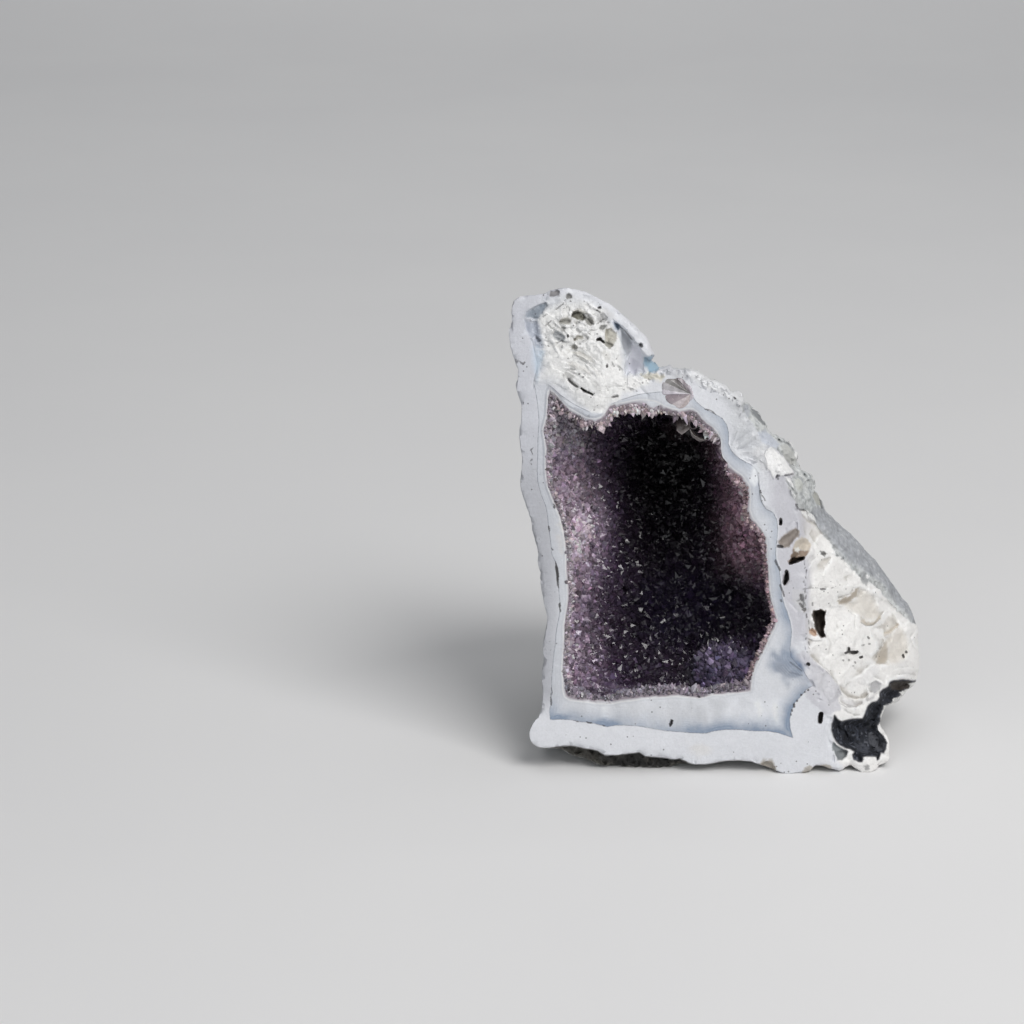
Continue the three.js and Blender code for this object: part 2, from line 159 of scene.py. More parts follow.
BAND = [
    (7.1, 134.6), (7.8, 131.9), (8.5, 127.9), (9.2, 121.1), (8.8, 114.3), (8.7, 109.2), (8.5, 104.1), (8.8, 100.0),
    (9.9, 95.6), (11.6, 91.5), (12.2, 87.1), (12.6, 83.7), (13.3, 78.6), (13.6, 75.2), (15.0, 72.4), (15.3, 68.3),
    (15.8, 64.9), (16.2, 59.8), (16.4, 56.4), (15.7, 52.2), (15.0, 48.8), (14.7, 44.4), (14.0, 39.2), (13.6, 34.1),
    (13.5, 28.9), (13.3, 25.5), (12.8, 21.4), (13.0, 18.6), (16.4, 18.8), (20.5, 18.6), (23.9, 17.9), (27.3, 17.6),
    (30.1, 16.9), (32.5, 16.2), (35.2, 16.7), (38.6, 16.9), (43.7, 16.4), (48.8, 15.5), (53.0, 14.8), (57.4, 14.5),
    (61.8, 14.1), (65.9, 14.0), (69.3, 14.8), (72.8, 15.3), (77.9, 15.2), (83.0, 14.8), (87.5, 14.8), (90.9, 14.1),
    (94.0, 13.1), (96.0, 12.4), (95.0, 15.9), (94.9, 19.3), (95.6, 22.0), (96.6, 24.5), (98.3, 26.5), (100.3, 28.9),
    (101.7, 29.9), (103.1, 30.6), (101.0, 33.0), (99.3, 35.8), (97.2, 37.8), (95.1, 40.2), (94.8, 42.6), (95.1, 46.1),
    (95.4, 49.5), (94.7, 52.9), (93.7, 55.7), (92.6, 58.7), (91.9, 61.5), (91.6, 64.9), (91.2, 68.3), (90.9, 70.7),
    (89.8, 74.1), (89.8, 77.5), (90.1, 80.3), (90.4, 83.7), (90.1, 87.1), (88.7, 89.8), (86.3, 90.8), (84.9, 92.9),
    (84.2, 95.6), (83.9, 99.0), (83.5, 102.4), (82.5, 105.1), (80.1, 106.5), (77.4, 107.8), (75.7, 109.2), (74.3,
    110.9), (73.3, 113.3), (73.6, 116.0), (72.9, 119.4), (71.2, 121.8), (68.8, 123.1), (66.1, 124.5), (63.7, 126.2),
    (61.7, 127.9), (61.0, 129.9)]
# depth behind the face of the widest outline, at points along it
OUTLINE_DEPTH = [
    ((-0.3, 159.0), 2),
    ((18.6, 166.1), 4),
    ((37.2, 157.3), 5),
    ((48.4, 143.1), 6),
    ((50.1, 139.0), 9),
    ((60.3, 139.4), 10),
    ((76.2, 131.6), 11),
    ((83.4, 124.1), 14),
    ((90.9, 115.7), 18),
    ((97.8, 105.8), 22),
    ((103.2, 99.0), 26),
    ((106.7, 90.2), 27),
    ((114.9, 82.7), 31),
    ((125.9, 70.4), 36),
    ((134.9, 58.7), 41),
    ((138.4, 46.1), 42),
    ((139.2, 36.5), 41),
    ((137.2, 29.9), 35),
    ((132.5, 25.5), 27),
    ((127.0, 21.7), 22),
    ((125.7, 17.6), 18),
    ((129.2, 11.0), 11),
    ((128.5, 4.1), 5),
    ((121.4, -0.0), 1),
    ((98.5, -0.0), 1),
    ((77.9, 4.5), 1),
    ((60.9, 2.8), 2),
    ((47.2, 1.7), 4),
    ((31.8, 2.4), 4),
    ((21.5, 5.5), 4),
    ((11.3, 8.3), 3),
    ((5.8, 13.1), 1.5),
    ((10.2, 28.9), 1),
    ((11.9, 52.9), 1),
    ((9.5, 68.3), 1),
    ((2.7, 100.7), 1),
    ((2.0, 129.6), 1),
    ((-1.0, 149.9), 1.5),
]
# pocket sections: depth, centre u, v, outline
SECTIONS = [
    (0, (48.7, 73.4), [
    (12.5, 131.6), (13.6, 130.9), (15.3, 129.2), (16.9, 126.9), (18.6, 125.2), (21.0, 124.1), (23.1, 122.8), (25.8,
    121.6), (28.1, 121.3), (29.8, 121.6), (31.2, 122.8), (32.2, 124.5), (32.9, 125.7), (34.9, 126.3), (38.3, 127.0),
    (40.7, 127.5), (43.4, 127.9), (46.8, 127.7), (49.1, 127.2), (51.5, 125.8), (54.2, 124.8), (57.0, 124.3), (59.3,
    124.8), (61.4, 124.8), (63.1, 123.5), (64.1, 121.8), (66.1, 119.7), (68.2, 118.4), (69.5, 117.0), (70.6, 115.0),
    (70.9, 112.9), (70.8, 110.9), (71.3, 108.5), (73.0, 106.5), (75.0, 104.4), (77.8, 102.4), (79.8, 100.0), (80.8,
    98.3), (80.9, 93.9), (80.7, 90.5), (81.6, 88.1), (83.3, 85.7), (85.0, 83.3), (86.4, 80.6), (86.7, 76.9), (86.9,
    72.8), (87.5, 68.3), (87.8, 63.2), (88.2, 59.8), (89.2, 56.4), (90.3, 53.6), (89.6, 50.5), (88.3, 47.8), (86.3,
    43.7), (84.6, 40.2), (82.9, 36.8), (81.9, 33.7), (81.6, 30.6), (81.4, 28.6), (77.8, 28.2), (72.7, 27.5), (68.6,
    27.4), (64.2, 26.2), (60.8, 26.5), (55.6, 26.9), (50.5, 26.5), (45.4, 26.2), (42.0, 25.5), (37.6, 25.1), (34.1,
    24.3), (30.0, 24.3), (26.6, 24.8), (23.2, 25.1), (19.8, 25.5), (18.1, 26.5), (17.4, 28.9), (17.4, 32.4), (17.1,
    35.8), (17.4, 40.9), (17.7, 46.1), (17.7, 51.2), (18.4, 55.7), (19.1, 59.8), (18.9, 64.9), (18.4, 70.0), (18.4,
    75.2), (17.9, 80.3), (17.3, 83.7), (16.3, 87.8), (15.0, 91.2), (13.6, 94.6), (12.2, 98.3), (11.5, 102.4), (11.4,
    106.5), (11.5, 110.9), (11.2, 114.3), (10.5, 117.7), (11.2, 120.1), (11.9, 122.8), (12.0, 126.2), (12.2, 129.6)]),
    (6, (48.9, 72.9), [
    (14.9, 128.5), (21.4, 122.4), (28.8, 120.4), (33.9, 125.2), (45.1, 127.2), (60.3, 124.5), (67.8, 118.4), (71.3,
    112.3), (75.7, 103.4), (80.2, 97.3), (80.9, 88.8), (85.7, 80.3), (87.1, 68.3), (88.9, 55.7), (87.2, 48.8), (83.5,
    40.9), (80.2, 32.4), (76.1, 29.6), (64.2, 28.2), (43.7, 27.5), (30.0, 26.2), (22.5, 27.5), (20.8, 32.4), (20.8,
    42.6), (21.1, 52.9), (22.1, 63.2), (21.4, 73.4), (20.1, 83.7), (17.0, 92.2), (14.9, 100.7), (14.6, 110.9), (13.9,
    119.4)]),
    (14, (50.0, 75.7), [
    (19.7, 125.2), (27.1, 122.4), (34.9, 127.2), (45.1, 128.5), (60.3, 126.2), (68.8, 119.4), (71.9, 112.3), (75.4,
    104.1), (78.1, 95.6), (79.2, 87.1), (81.6, 78.6), (84.4, 66.6), (85.8, 56.4), (83.8, 49.5), (78.4, 43.3), (73.0,
    36.5), (64.1, 32.4), (43.7, 31.7), (30.7, 31.0), (25.9, 35.1), (25.9, 44.4), (26.6, 52.9), (27.2, 63.2), (26.5,
    73.4), (24.8, 83.7), (21.7, 92.2), (19.7, 100.7), (19.0, 110.9), (18.3, 118.4)]),
    (24, (51.5, 80.1), [
    (26.4, 123.8), (34.9, 127.9), (45.1, 129.2), (60.3, 126.5), (68.5, 119.7), (70.6, 112.3), (72.0, 104.1), (73.4,
    95.6), (74.1, 87.1), (76.2, 78.6), (80.3, 66.6), (81.7, 58.1), (78.4, 51.2), (71.6, 46.1), (64.1, 40.6), (53.9,
    37.5), (43.7, 36.5), (35.1, 37.8), (32.0, 44.4), (32.4, 52.9), (33.4, 63.2), (32.3, 73.4), (30.6, 83.7), (27.9,
    92.2), (25.8, 100.7), (24.4, 110.9), (23.7, 118.4)]),
    (36, (53.2, 86.2), [
    (33.9, 123.8), (45.1, 127.9), (58.6, 125.2), (65.8, 118.4), (67.5, 110.9), (68.6, 102.4), (69.3, 93.9), (70.0,
    85.4), (72.1, 76.9), (74.9, 67.3), (74.2, 59.8), (69.2, 54.6), (61.3, 50.2), (52.1, 47.4), (44.3, 48.1), (40.2,
    54.6), (39.5, 63.2), (38.1, 73.4), (36.7, 83.7), (34.7, 92.2), (32.6, 100.7), (31.2, 109.2), (30.9, 117.7)]),
    (46, (54.0, 92.7), [
    (38.3, 121.1), (45.1, 125.2), (57.0, 122.4), (62.4, 116.3), (64.5, 107.5), (65.6, 97.3), (65.9, 87.1), (66.7,
    78.6), (65.7, 71.7), (60.6, 65.9), (53.1, 62.5), (47.0, 64.9), (44.9, 73.4), (42.8, 83.7), (40.1, 92.2), (38.0,
    100.7), (36.7, 109.2), (36.0, 116.0)]),
    (53, (54.4, 95.8), [
    (43.4, 117.7), (50.2, 121.1), (57.0, 117.7), (60.4, 109.2), (61.1, 97.3), (60.5, 87.1), (57.1, 80.3), (51.7,
    78.6), (47.6, 83.7), (45.5, 92.2), (43.5, 100.7), (42.1, 109.2)]),
]

# ------------------------------------------------------------------ fields
rng = np.random.default_rng(1616)
LATTICE = (rng.random((64, 64, 64)).astype(np.float32) * 2 - 1)


def noise(x, y, z, size, shift=0.0):
    """Smooth value noise, about -1 to 1, one bump per size."""
    out = np.zeros(np.shape(x), np.float32)
    p = [np.asarray(c, np.float32) / size + shift * k for c, k in ((x, 1.13), (y, 2.71), (z, 3.37))]
    i = [np.floor(c).astype(np.int32) for c in p]
    f = [(c - j) for c, j in zip(p, i)]
    f = [c * c * (3 - 2 * c) for c in f]
    for dx in (0, 1):
        wx = f[0] if dx else 1 - f[0]
        ix = (i[0] + dx) & 63
        for dy in (0, 1):
            wy = wx * (f[1] if dy else 1 - f[1])
            iy = (i[1] + dy) & 63
            for dz in (0, 1):
                out += wy * (f[2] if dz else 1 - f[2]) * LATTICE[ix, iy, (i[2] + dz) & 63]
    return out


def turbulence(x, y, z, size, octaves=3, gain=0.5, shift=0.0):
    total, amp = 0.0, 1.0
    for k in range(octaves):
        total = total + amp * noise(x, y, z, size / 2 ** k, shift + 5.7 * k)
        amp *= gain
    return total


def smooth(x, lo, hi):
    t = np.clip((x - lo) / (hi - lo), 0, 1)
    return t * t * (3 - 2 * t)


def polygon_distance(poly, a, b, closed=True):
    """Signed distance to a polygon (negative inside), or plain distance to an open line."""
    pts = np.asarray(poly, np.float64)
    nxt = np.roll(pts, -1, 0) if closed else pts[1:]
    pts = pts if closed else pts[:-1]
    best = np.full(a.shape, 1e9, np.float32)
    inside = np.zeros(a.shape, bool)
    for (x1, y1), (x2, y2) in zip(pts, nxt):
        ex, ey = x2 - x1, y2 - y1
        px, py = a - x1, b - y1
        t = np.clip((px * ex + py * ey) / (ex * ex + ey * ey + 1e-12), 0, 1)
        d = (px - t * ex) ** 2 + (py - t * ey) ** 2
        np.minimum(best, d, out=best)
        if closed and y1 != y2:
            cross = ((y1 > b) != (y2 > b)) & (a < (x2 - x1) * (b - y1) / (y2 - y1) + x1)
            inside ^= cross
    best = np.sqrt(best)
    return np.where(inside, -best, best) if closed else best


def cells(a, b, size, seed, stretch=1.0, turn=0.0):
    """Nearest jittered cell: distance, distance to the second, and offsets and random values of the first."""
    ca, sa = math.cos(turn), math.sin(turn)
    x, y = (a * ca + b * sa) / (size * stretch), (-a * sa + b * ca) / size
    i, j = np.floor(x).astype(np.int32), np.floor(y).astype(np.int32)
    f1 = np.full(a.shape, 9.0, np.float32); f2 = f1.copy()
    ox = np.zeros(a.shape, np.float32); oy = ox.copy()
    r = [np.zeros(a.shape, np.float32) for _ in range(3)]
    for di in (-1, 0, 1):
        for dj in (-1, 0, 1):
            ii, jj = (i + di + 7 * seed) & 63, (j + dj + 13 * seed) & 63
            k = (seed * 5) & 31
            jx = i + di + 0.5 + 0.45 * LATTICE[ii, jj, k]
            jy = j + dj + 0.5 + 0.45 * LATTICE[ii, jj, k + 1]
            dx, dy = x - jx, y - jy
            d = np.sqrt(dx * dx + dy * dy)
            near = d < f1
            f2 = np.where(near, f1, np.minimum(f2, d))
            f1 = np.where(near, d, f1)
            ox = np.where(near, dx * size, ox); oy = np.where(near, dy * size, oy)
            for q in range(3):
                r[q] = np.where(near, LATTICE[ii, jj, k + 2 + q], r[q])
    return f1 * size, f2 * size, ox, oy, r


# the maps on the face plane
STEP = 0.30
A_AX = np.arange(-6, 150, STEP); B_AX = np.arange(-8, 174, STEP)
GA, GB = np.meshgrid(A_AX, B_AX, indexing="ij")


def look(grid, a, b):
    x = np.clip((a - A_AX[0]) / STEP, 0, len(A_AX) - 1.001)
    y = np.clip((b - B_AX[0]) / STEP, 0, len(B_AX) - 1.001)
    i, j = x.astype(np.int32), y.astype(np.int32)
    x, y = (x - i).astype(np.float32), (y - j).astype(np.float32)
    return (grid[i, j] * (1 - x) * (1 - y) + grid[i + 1, j] * x * (1 - y)
            + grid[i, j + 1] * (1 - x) * y + grid[i + 1, j + 1] * x * y)


D_OUT = polygon_distance(OUTLINE, GA, GB)
# a broken outline: finely jagged at the upper right and low down, plainer elsewhere
_Z = np.zeros_like(GA)
_jag = 0.6 * noise(GA, GB, _Z + 260, 1.5) + 0.4 * noise(GA, GB, _Z + 280, 0.8)
_where = 0.55 + 0.6 * smooth(GB, 121.1, 127.9) + 0.65 * smooth(GA, 75.9, 84.4) * smooth(GB, 73.4, 93.9) + 0.5 * smooth(-GB, -13.4, -8.3)
D_PLAIN = D_OUT.astype(np.float32)
D_OUT = (D_OUT + (0.50 + 0.35 * smooth(-GA, -16.3, -11.2) * smooth(GB, 52.9, 73.4) + 0.75 * smooth(GA, 48.6, 60.5) * smooth(GB, 87.1, 100.7)) * _jag * np.clip(_where, 0, 1.1)).astype(np.float32)
D_FACE = polygon_distance(FACE, GA, GB)
D_POCKET = polygon_distance(POCKET, GA, GB)
# the band line closed round through the knob, so that it has an inside and an outside
D_BAND = polygon_distance(BAND + [
    (56.9, 130.6), (50.2, 130.6), (43.4, 129.9), (36.6, 127.9), (31.2, 125.2), (26.4, 123.8), (21.4, 126.2), (16.3,
    129.6), (12.2, 133.3)], GA, GB)


def blob(a, b, centre, radii, turn=0.0, soft=1.0, power=2.0):
    """1 in the middle of an oval, 0 outside it."""
    t = math.radians(turn)
    x, y = a - centre[0], b - centre[1]
    x, y = (x * math.cos(t) + y * math.sin(t)) / radii[0], (-x * math.sin(t) + y * math.cos(t)) / radii[1]
    return np.clip((1 - (np.abs(x) ** power + np.abs(y) ** power) ** (1 / power)) / soft, 0, 1)


def outline_depth(a, b):
    total = np.zeros(a.shape, np.float32); weight = np.zeros(a.shape, np.float32)
    for (x, y), d in OUTLINE_DEPTH:
        w = 1.0 / ((a - x) ** 2 + (b - y) ** 2 + 9.0) ** 2
        total += w * d; weight += w
    return total / weight


W_OUT = outline_depth(GA, GB)
fall = np.clip(D_FACE / (D_FACE - D_OUT + 1e-6), 0, 1)
fall[D_OUT >= 0] = 1.0
FALL = np.where((D_FACE > 0), fall, 0).astype(np.float32)
BASE_W = (W_OUT * (0.55 * FALL + 0.45 * (1 - np.sqrt(1 - FALL ** 2 * 0.999)))).astype(np.float32)

# ------------------------------------------------------------------ relief of what shows, mm, positive into the rock
KNOB = [(7.12, 133.29), (8.13, 140.74), (7.11, 147.50), (5.07, 154.25), (5.75, 159.65), (11.16, 161.68), (18.26, 164.37), (26.37, 162.35), (31.79, 158.98), (35.19, 153.58), (37.91, 146.48), (38.95, 136.67), (48.44, 136.67), (47.44, 131.94), (38.30, 129.23), (30.85, 123.12), (26.45, 123.12), (21.36, 125.50), (16.95, 129.23), (12.54, 132.61)]
RECESS = [(33.83, 155.60), (35.18, 154.25), (36.54, 153.24), (38.58, 151.55), (40.61, 148.85), (42.65, 146.82), (44.01, 144.46), (46.05, 142.43), (47.75, 141.41), (50.80, 139.04), (49.11, 138.03), (48.44, 136.67), (47.08, 137.35), (46.07, 136.00), (44.71, 137.01), (43.70, 135.66), (42.34, 137.01), (41.33, 136.00), (39.97, 137.35), (38.96, 136.00), (37.94, 137.69), (38.60, 140.74), (37.92, 144.79), (36.55, 148.17), (35.53, 151.55)]
SLOPE = [(79.29, 131.26), (84.07, 126.18), (89.54, 117.70), (97.71, 114.30), (104.59, 100.71), (108.05, 92.20), (121.76, 78.56), (133.81, 63.19), (140.75, 49.50), (136.98, 51.56), (133.90, 53.61), (131.49, 55.67), (128.74, 59.09), (126.67, 61.14), (125.29, 63.88), (122.55, 65.25), (119.14, 66.61), (115.71, 70.03), (113.65, 72.08), (110.91, 74.81), (108.84, 78.22), (105.75, 82.32), (103.34, 85.73), (99.91, 89.82), (97.19, 91.18), (96.15, 93.90), (94.43, 97.31), (95.75, 102.75), (93.69, 106.15), (92.32, 108.53), (89.59, 110.91), (86.85, 114.30), (83.10, 117.36), (80.71, 121.09), (78.66, 123.80), (77.96, 126.51)]
SMOOTH_SLOPE = [(101.94, 91.18), (108.05, 92.20), (121.76, 78.56), (133.81, 63.19), (140.75, 49.50), (136.98, 51.56), (131.48, 56.69), (125.62, 65.25), (113.99, 72.42), (105.75, 82.32), (99.92, 89.13)]
HOLLOW = [(109.96, 20.67), (111.34, 18.95), (112.71, 18.26), (115.44, 18.95), (117.82, 19.29), (119.53, 19.29), (120.54, 21.36), (121.20, 23.42), (122.56, 24.79), (124.60, 25.48), (125.27, 26.51), (125.26, 28.23), (126.27, 29.26), (128.31, 30.29), (128.64, 31.67), (130.34, 32.35), (133.41, 32.70), (136.48, 32.35), (138.53, 32.35), (137.18, 30.98), (136.17, 29.61), (134.47, 28.57), (133.12, 27.20), (132.10, 26.51), (130.41, 25.14), (128.71, 23.76), (127.35, 23.42), (126.68, 21.70), (126.01, 19.98), (126.03, 17.92), (125.02, 16.54), (125.03, 15.16), (127.10, 12.75), (128.14, 10.69), (127.82, 8.27), (127.15, 6.90), (126.12, 7.24), (125.46, 4.83), (124.78, 4.48), (124.43, 5.86), (121.69, 5.86), (119.98, 5.86), (119.66, 3.79), (118.29, 4.14), (116.57, 4.83), (116.22, 6.55), (116.89, 7.59), (115.86, 8.27), (114.15, 8.62), (112.09, 9.65), (110.71, 11.03), (109.68, 12.75), (108.98, 14.82), (108.96, 16.88), (109.63, 18.60)]
WHITE_PATCH = [(85.86, 110.57), (86.87, 111.59), (87.88, 111.93), (89.25, 110.91), (90.95, 109.55), (92.32, 108.19), (93.35, 106.49), (94.38, 105.13), (95.40, 103.77), (95.41, 103.09), (94.05, 102.75), (92.36, 102.41), (91.34, 102.07), (90.32, 102.75), (89.64, 102.07), (88.97, 100.71), (88.29, 101.73), (87.59, 103.77), (86.57, 104.79), (86.22, 107.17), (85.53, 108.87)]

D_KNOB = polygon_distance(KNOB, GA, GB)
D_RECESS = polygon_distance(RECESS, GA, GB)
D_SLOPE = polygon_distance(SLOPE, GA, GB)
D_SMOOTH = polygon_distance(SMOOTH_SLOPE, GA, GB)
D_HOLLOW = polygon_distance(HOLLOW, GA, GB)
D_PATCH = polygon_distance(WHITE_PATCH, GA, GB)

Z = np.zeros_like(GA)
n11 = noise(GA, GB, Z, 11.0); n5 = noise(GA, GB, Z + 40, 5.0); n3 = noise(GA, GB, Z + 80, 2.6); n1 = noise(GA, GB, Z + 120, 1.1)
wob = 0.8 * noise(GA, GB, Z + 160, 4.0) + 0.5 * noise(GA, GB, Z + 200, 1.7)      # makes borders ragged
RAG = (0.6 * noise(GA, GB, Z + 220, 1.6) + 0.4 * noise(GA, GB, Z + 240, 0.8)).astype(np.float32)

M_FACE = smooth(-D_FACE, -0.5, 1.0)
M_KNOB = smooth(-D_KNOB + wob, 0.0, 2.0)
M_RECESS = smooth(-D_RECESS + 0.12 * RAG, -0.1, 0.35)
M_OUTSIDE = smooth(D_FACE, 0.0, 2.5)                       # right flank, outside the flat face
M_SLOPE = smooth(-D_SLOPE + 0.9 * RAG + 0.3 * wob, -0.25, 0.35) * (D_OUT < 3)
M_SMOOTH = smooth(-D_SMOOTH + 0.4 * wob, -0.5, 1.5)
M_HOLLOW = smooth(-D_HOLLOW + 0.25 * RAG, -0.15, 0.45)
M_PATCH = smooth(-D_PATCH + 0.2 * RAG, -0.15, 0.3)
M_CHUNK = M_OUTSIDE * (1 - M_SLOPE) * (1 - M_HOLLOW) * smooth(GA, 91.2, 98.0)
M_UNDER = smooth(D_FACE + 0.15 * RAG, 0.0, 0.45) * (GB < 11.0) * (GA < 108.2)


def blurred(grid, mm):
    """Gaussian blur of a map."""
    n = max(1, int(round(3 * mm / STEP)))
    k = np.exp(-0.5 * (np.arange(-n, n + 1) * STEP / mm) ** 2); k /= k.sum()
    out = np.apply_along_axis(lambda r: np.convolve(np.pad(r, n, mode="edge"), k, "valid"), 0, grid)
    return np.apply_along_axis(lambda r: np.convolve(np.pad(r, n, mode="edge"), k, "valid"), 1, out).astype(np.float32)


RELIEF = 0.24 * n11 + 0.08 * n5 + 0.02 * n3
# edges: rounded a little and chipped
chip = smooth(n3 + 0.6 * n1, 0.1, 0.6)
RELIEF += 0.16 * (1 - smooth(-D_FACE, 0, 0.6)) * (D_FACE < 0)
RELIEF += 0.9 * chip * (1 - smooth(-D_FACE + 0.4 * RAG, 0, 1.5)) * (D_FACE < 0.5)
RELIEF += 0.12 * (1 - smooth(D_POCKET, 0, 0.3))


def window(shape, margin):
    """The part of the maps round a shape."""
    p = np.asarray(shape, float)
    lo = p.min(0) - margin; hi = p.max(0) + margin
    i = np.clip(((np.array([lo[0], hi[0]]) - A_AX[0]) / STEP).astype(int), 0, len(A_AX) - 1)
    j = np.clip(((np.array([lo[1], hi[1]]) - B_AX[0]) / STEP).astype(int), 0, len(B_AX) - 1)
    return slice(i[0], i[1] + 2), slice(j[0], j[1] + 2)


def carve(shape, depth, slope=(0.0, 0.0), soft=0.35, ragged=0.25, bowl=0.0):
    """Lower a patch with a crisp outline by depth, tilted by slope, and bowl-shaped if asked."""
    s = window(shape, 2.0)
    a, b = GA[s], GB[s]
    d = polygon_distance(shape, a, b) + ragged * RAG[s]
    c = np.asarray(shape, float).mean(0)
    h = depth + slope[0] * (a - c[0]) + slope[1] * (b - c[1])
    if bowl:
        h = h + bowl * smooth(-d, 0, 0.8 * max(1.0, float(-d.min())))
    RELIEF[s] += (smooth(-d, -0.4 * soft, soft) * h).astype(np.float32)


def ledge(line, height, reach, ends=0.18, sharp=0.3):
    """A step along an open line: the side on the left as one goes along it drops by height at the
    line and comes back over reach."""
    s = window(line, reach * 1.6 + 1)
    a, b = GA[s], GB[s]
    p = np.asarray(line, float)
    seg = np.hypot(*(p[1:] - p[:-1]).T); run = np.concatenate([[0], np.cumsum(seg)]) / seg.sum()
    best = np.full(a.shape, 1e9); side = np.zeros(a.shape); at = np.zeros(a.shape)
    for k in range(len(p) - 1):
        (x1, y1), (x2, y2) = p[k], p[k + 1]
        ex, ey = x2 - x1, y2 - y1
        t = np.clip(((a - x1) * ex + (b - y1) * ey) / (ex * ex + ey * ey), 0, 1)
        d = np.hypot(a - x1 - t * ex, b - y1 - t * ey)
        c = (ex * (b - y1) - ey * (a - x1)) / seg[k]
        near = d < best - 1e-6
        best = np.where(near, d, best); side = np.where(near, c, side)
        at = np.where(near, run[k] + t * (run[k + 1] - run[k]), at)
    d = np.where(side > 0, best, -best) + 0.15 * RAG[s]
    h = height * smooth(d, -0.5 * sharp, 0.5 * sharp) * np.exp(-np.maximum(d, 0) / reach * 2.0)
    h = h * smooth(at, 0, ends) * smooth(1 - at, 0, ends) * (best < 3 * reach)
    RELIEF[s] += h.astype(np.float32)


# the knob: a lumpy white mass of small broken facets, proud of the flat face
f1, f2, ox, oy, r = cells(GA + 0.5 * n3, GB + 0.5 * n1, 4.6, 3, stretch=1.4, turn=math.radians(-30))
facets = 0.16 * (ox * r[0] + oy * r[1]) + 0.30 * r[2]
f1b, f2b, oxb, oyb, rb = cells(GA + 0.25 * n1, GB - 0.25 * n1, 1.7, 5, stretch=1.5, turn=math.radians(-40))
small = 0.42 * (oxb * rb[0] + oyb * rb[1]) + 0.24 * rb[2]
f1d, f2d, oxd, oyd, rd = cells(GA, GB, 0.95, 8)
tiny = 0.35 * (oxd * rd[0] + oyd * rd[1]) + 0.10 * rd[2]
rugged = smooth(blob(GA, GB, (23.3, 152.2), (12.91, 8.83), 12) + 0.15 * n3, 0.0, 0.35)
# curved blades below the rough part, like a fan of fibres
fx, fy = (16.3, 127.2)
rr_, th_ = np.hypot(GA - fx, GB - fy), np.arctan2(GB - fy, GA - fx)
f1c, f2c, oxc, oyc, rc = cells(rr_, th_ * 13.0, 0.62, 9, stretch=1.0)
f1c, f2c, oxc, oyc, rc = cells(th_ * 13.0, rr_, 0.75, 9, stretch=5.5)
blades = 0.30 * rc[2] + 0.30 * (oyc * rc[1])
bladed = smooth(blob(GA, GB, (23.4, 140.1), (8.49, 5.78), -28) + 0.12 * n3, 0.0, 0.35)
KN = -1.5 * smooth(-D_KNOB, 0, 10) + facets * (0.85 + 1.0 * rugged) + small * (0.12 + 1.0 * rugged) + tiny * (0.08 + 0.6 * rugged) + blades * 1.4 * bladed + 0.06 * n1
RELIEF += M_KNOB * (1 - M_RECESS) * KN
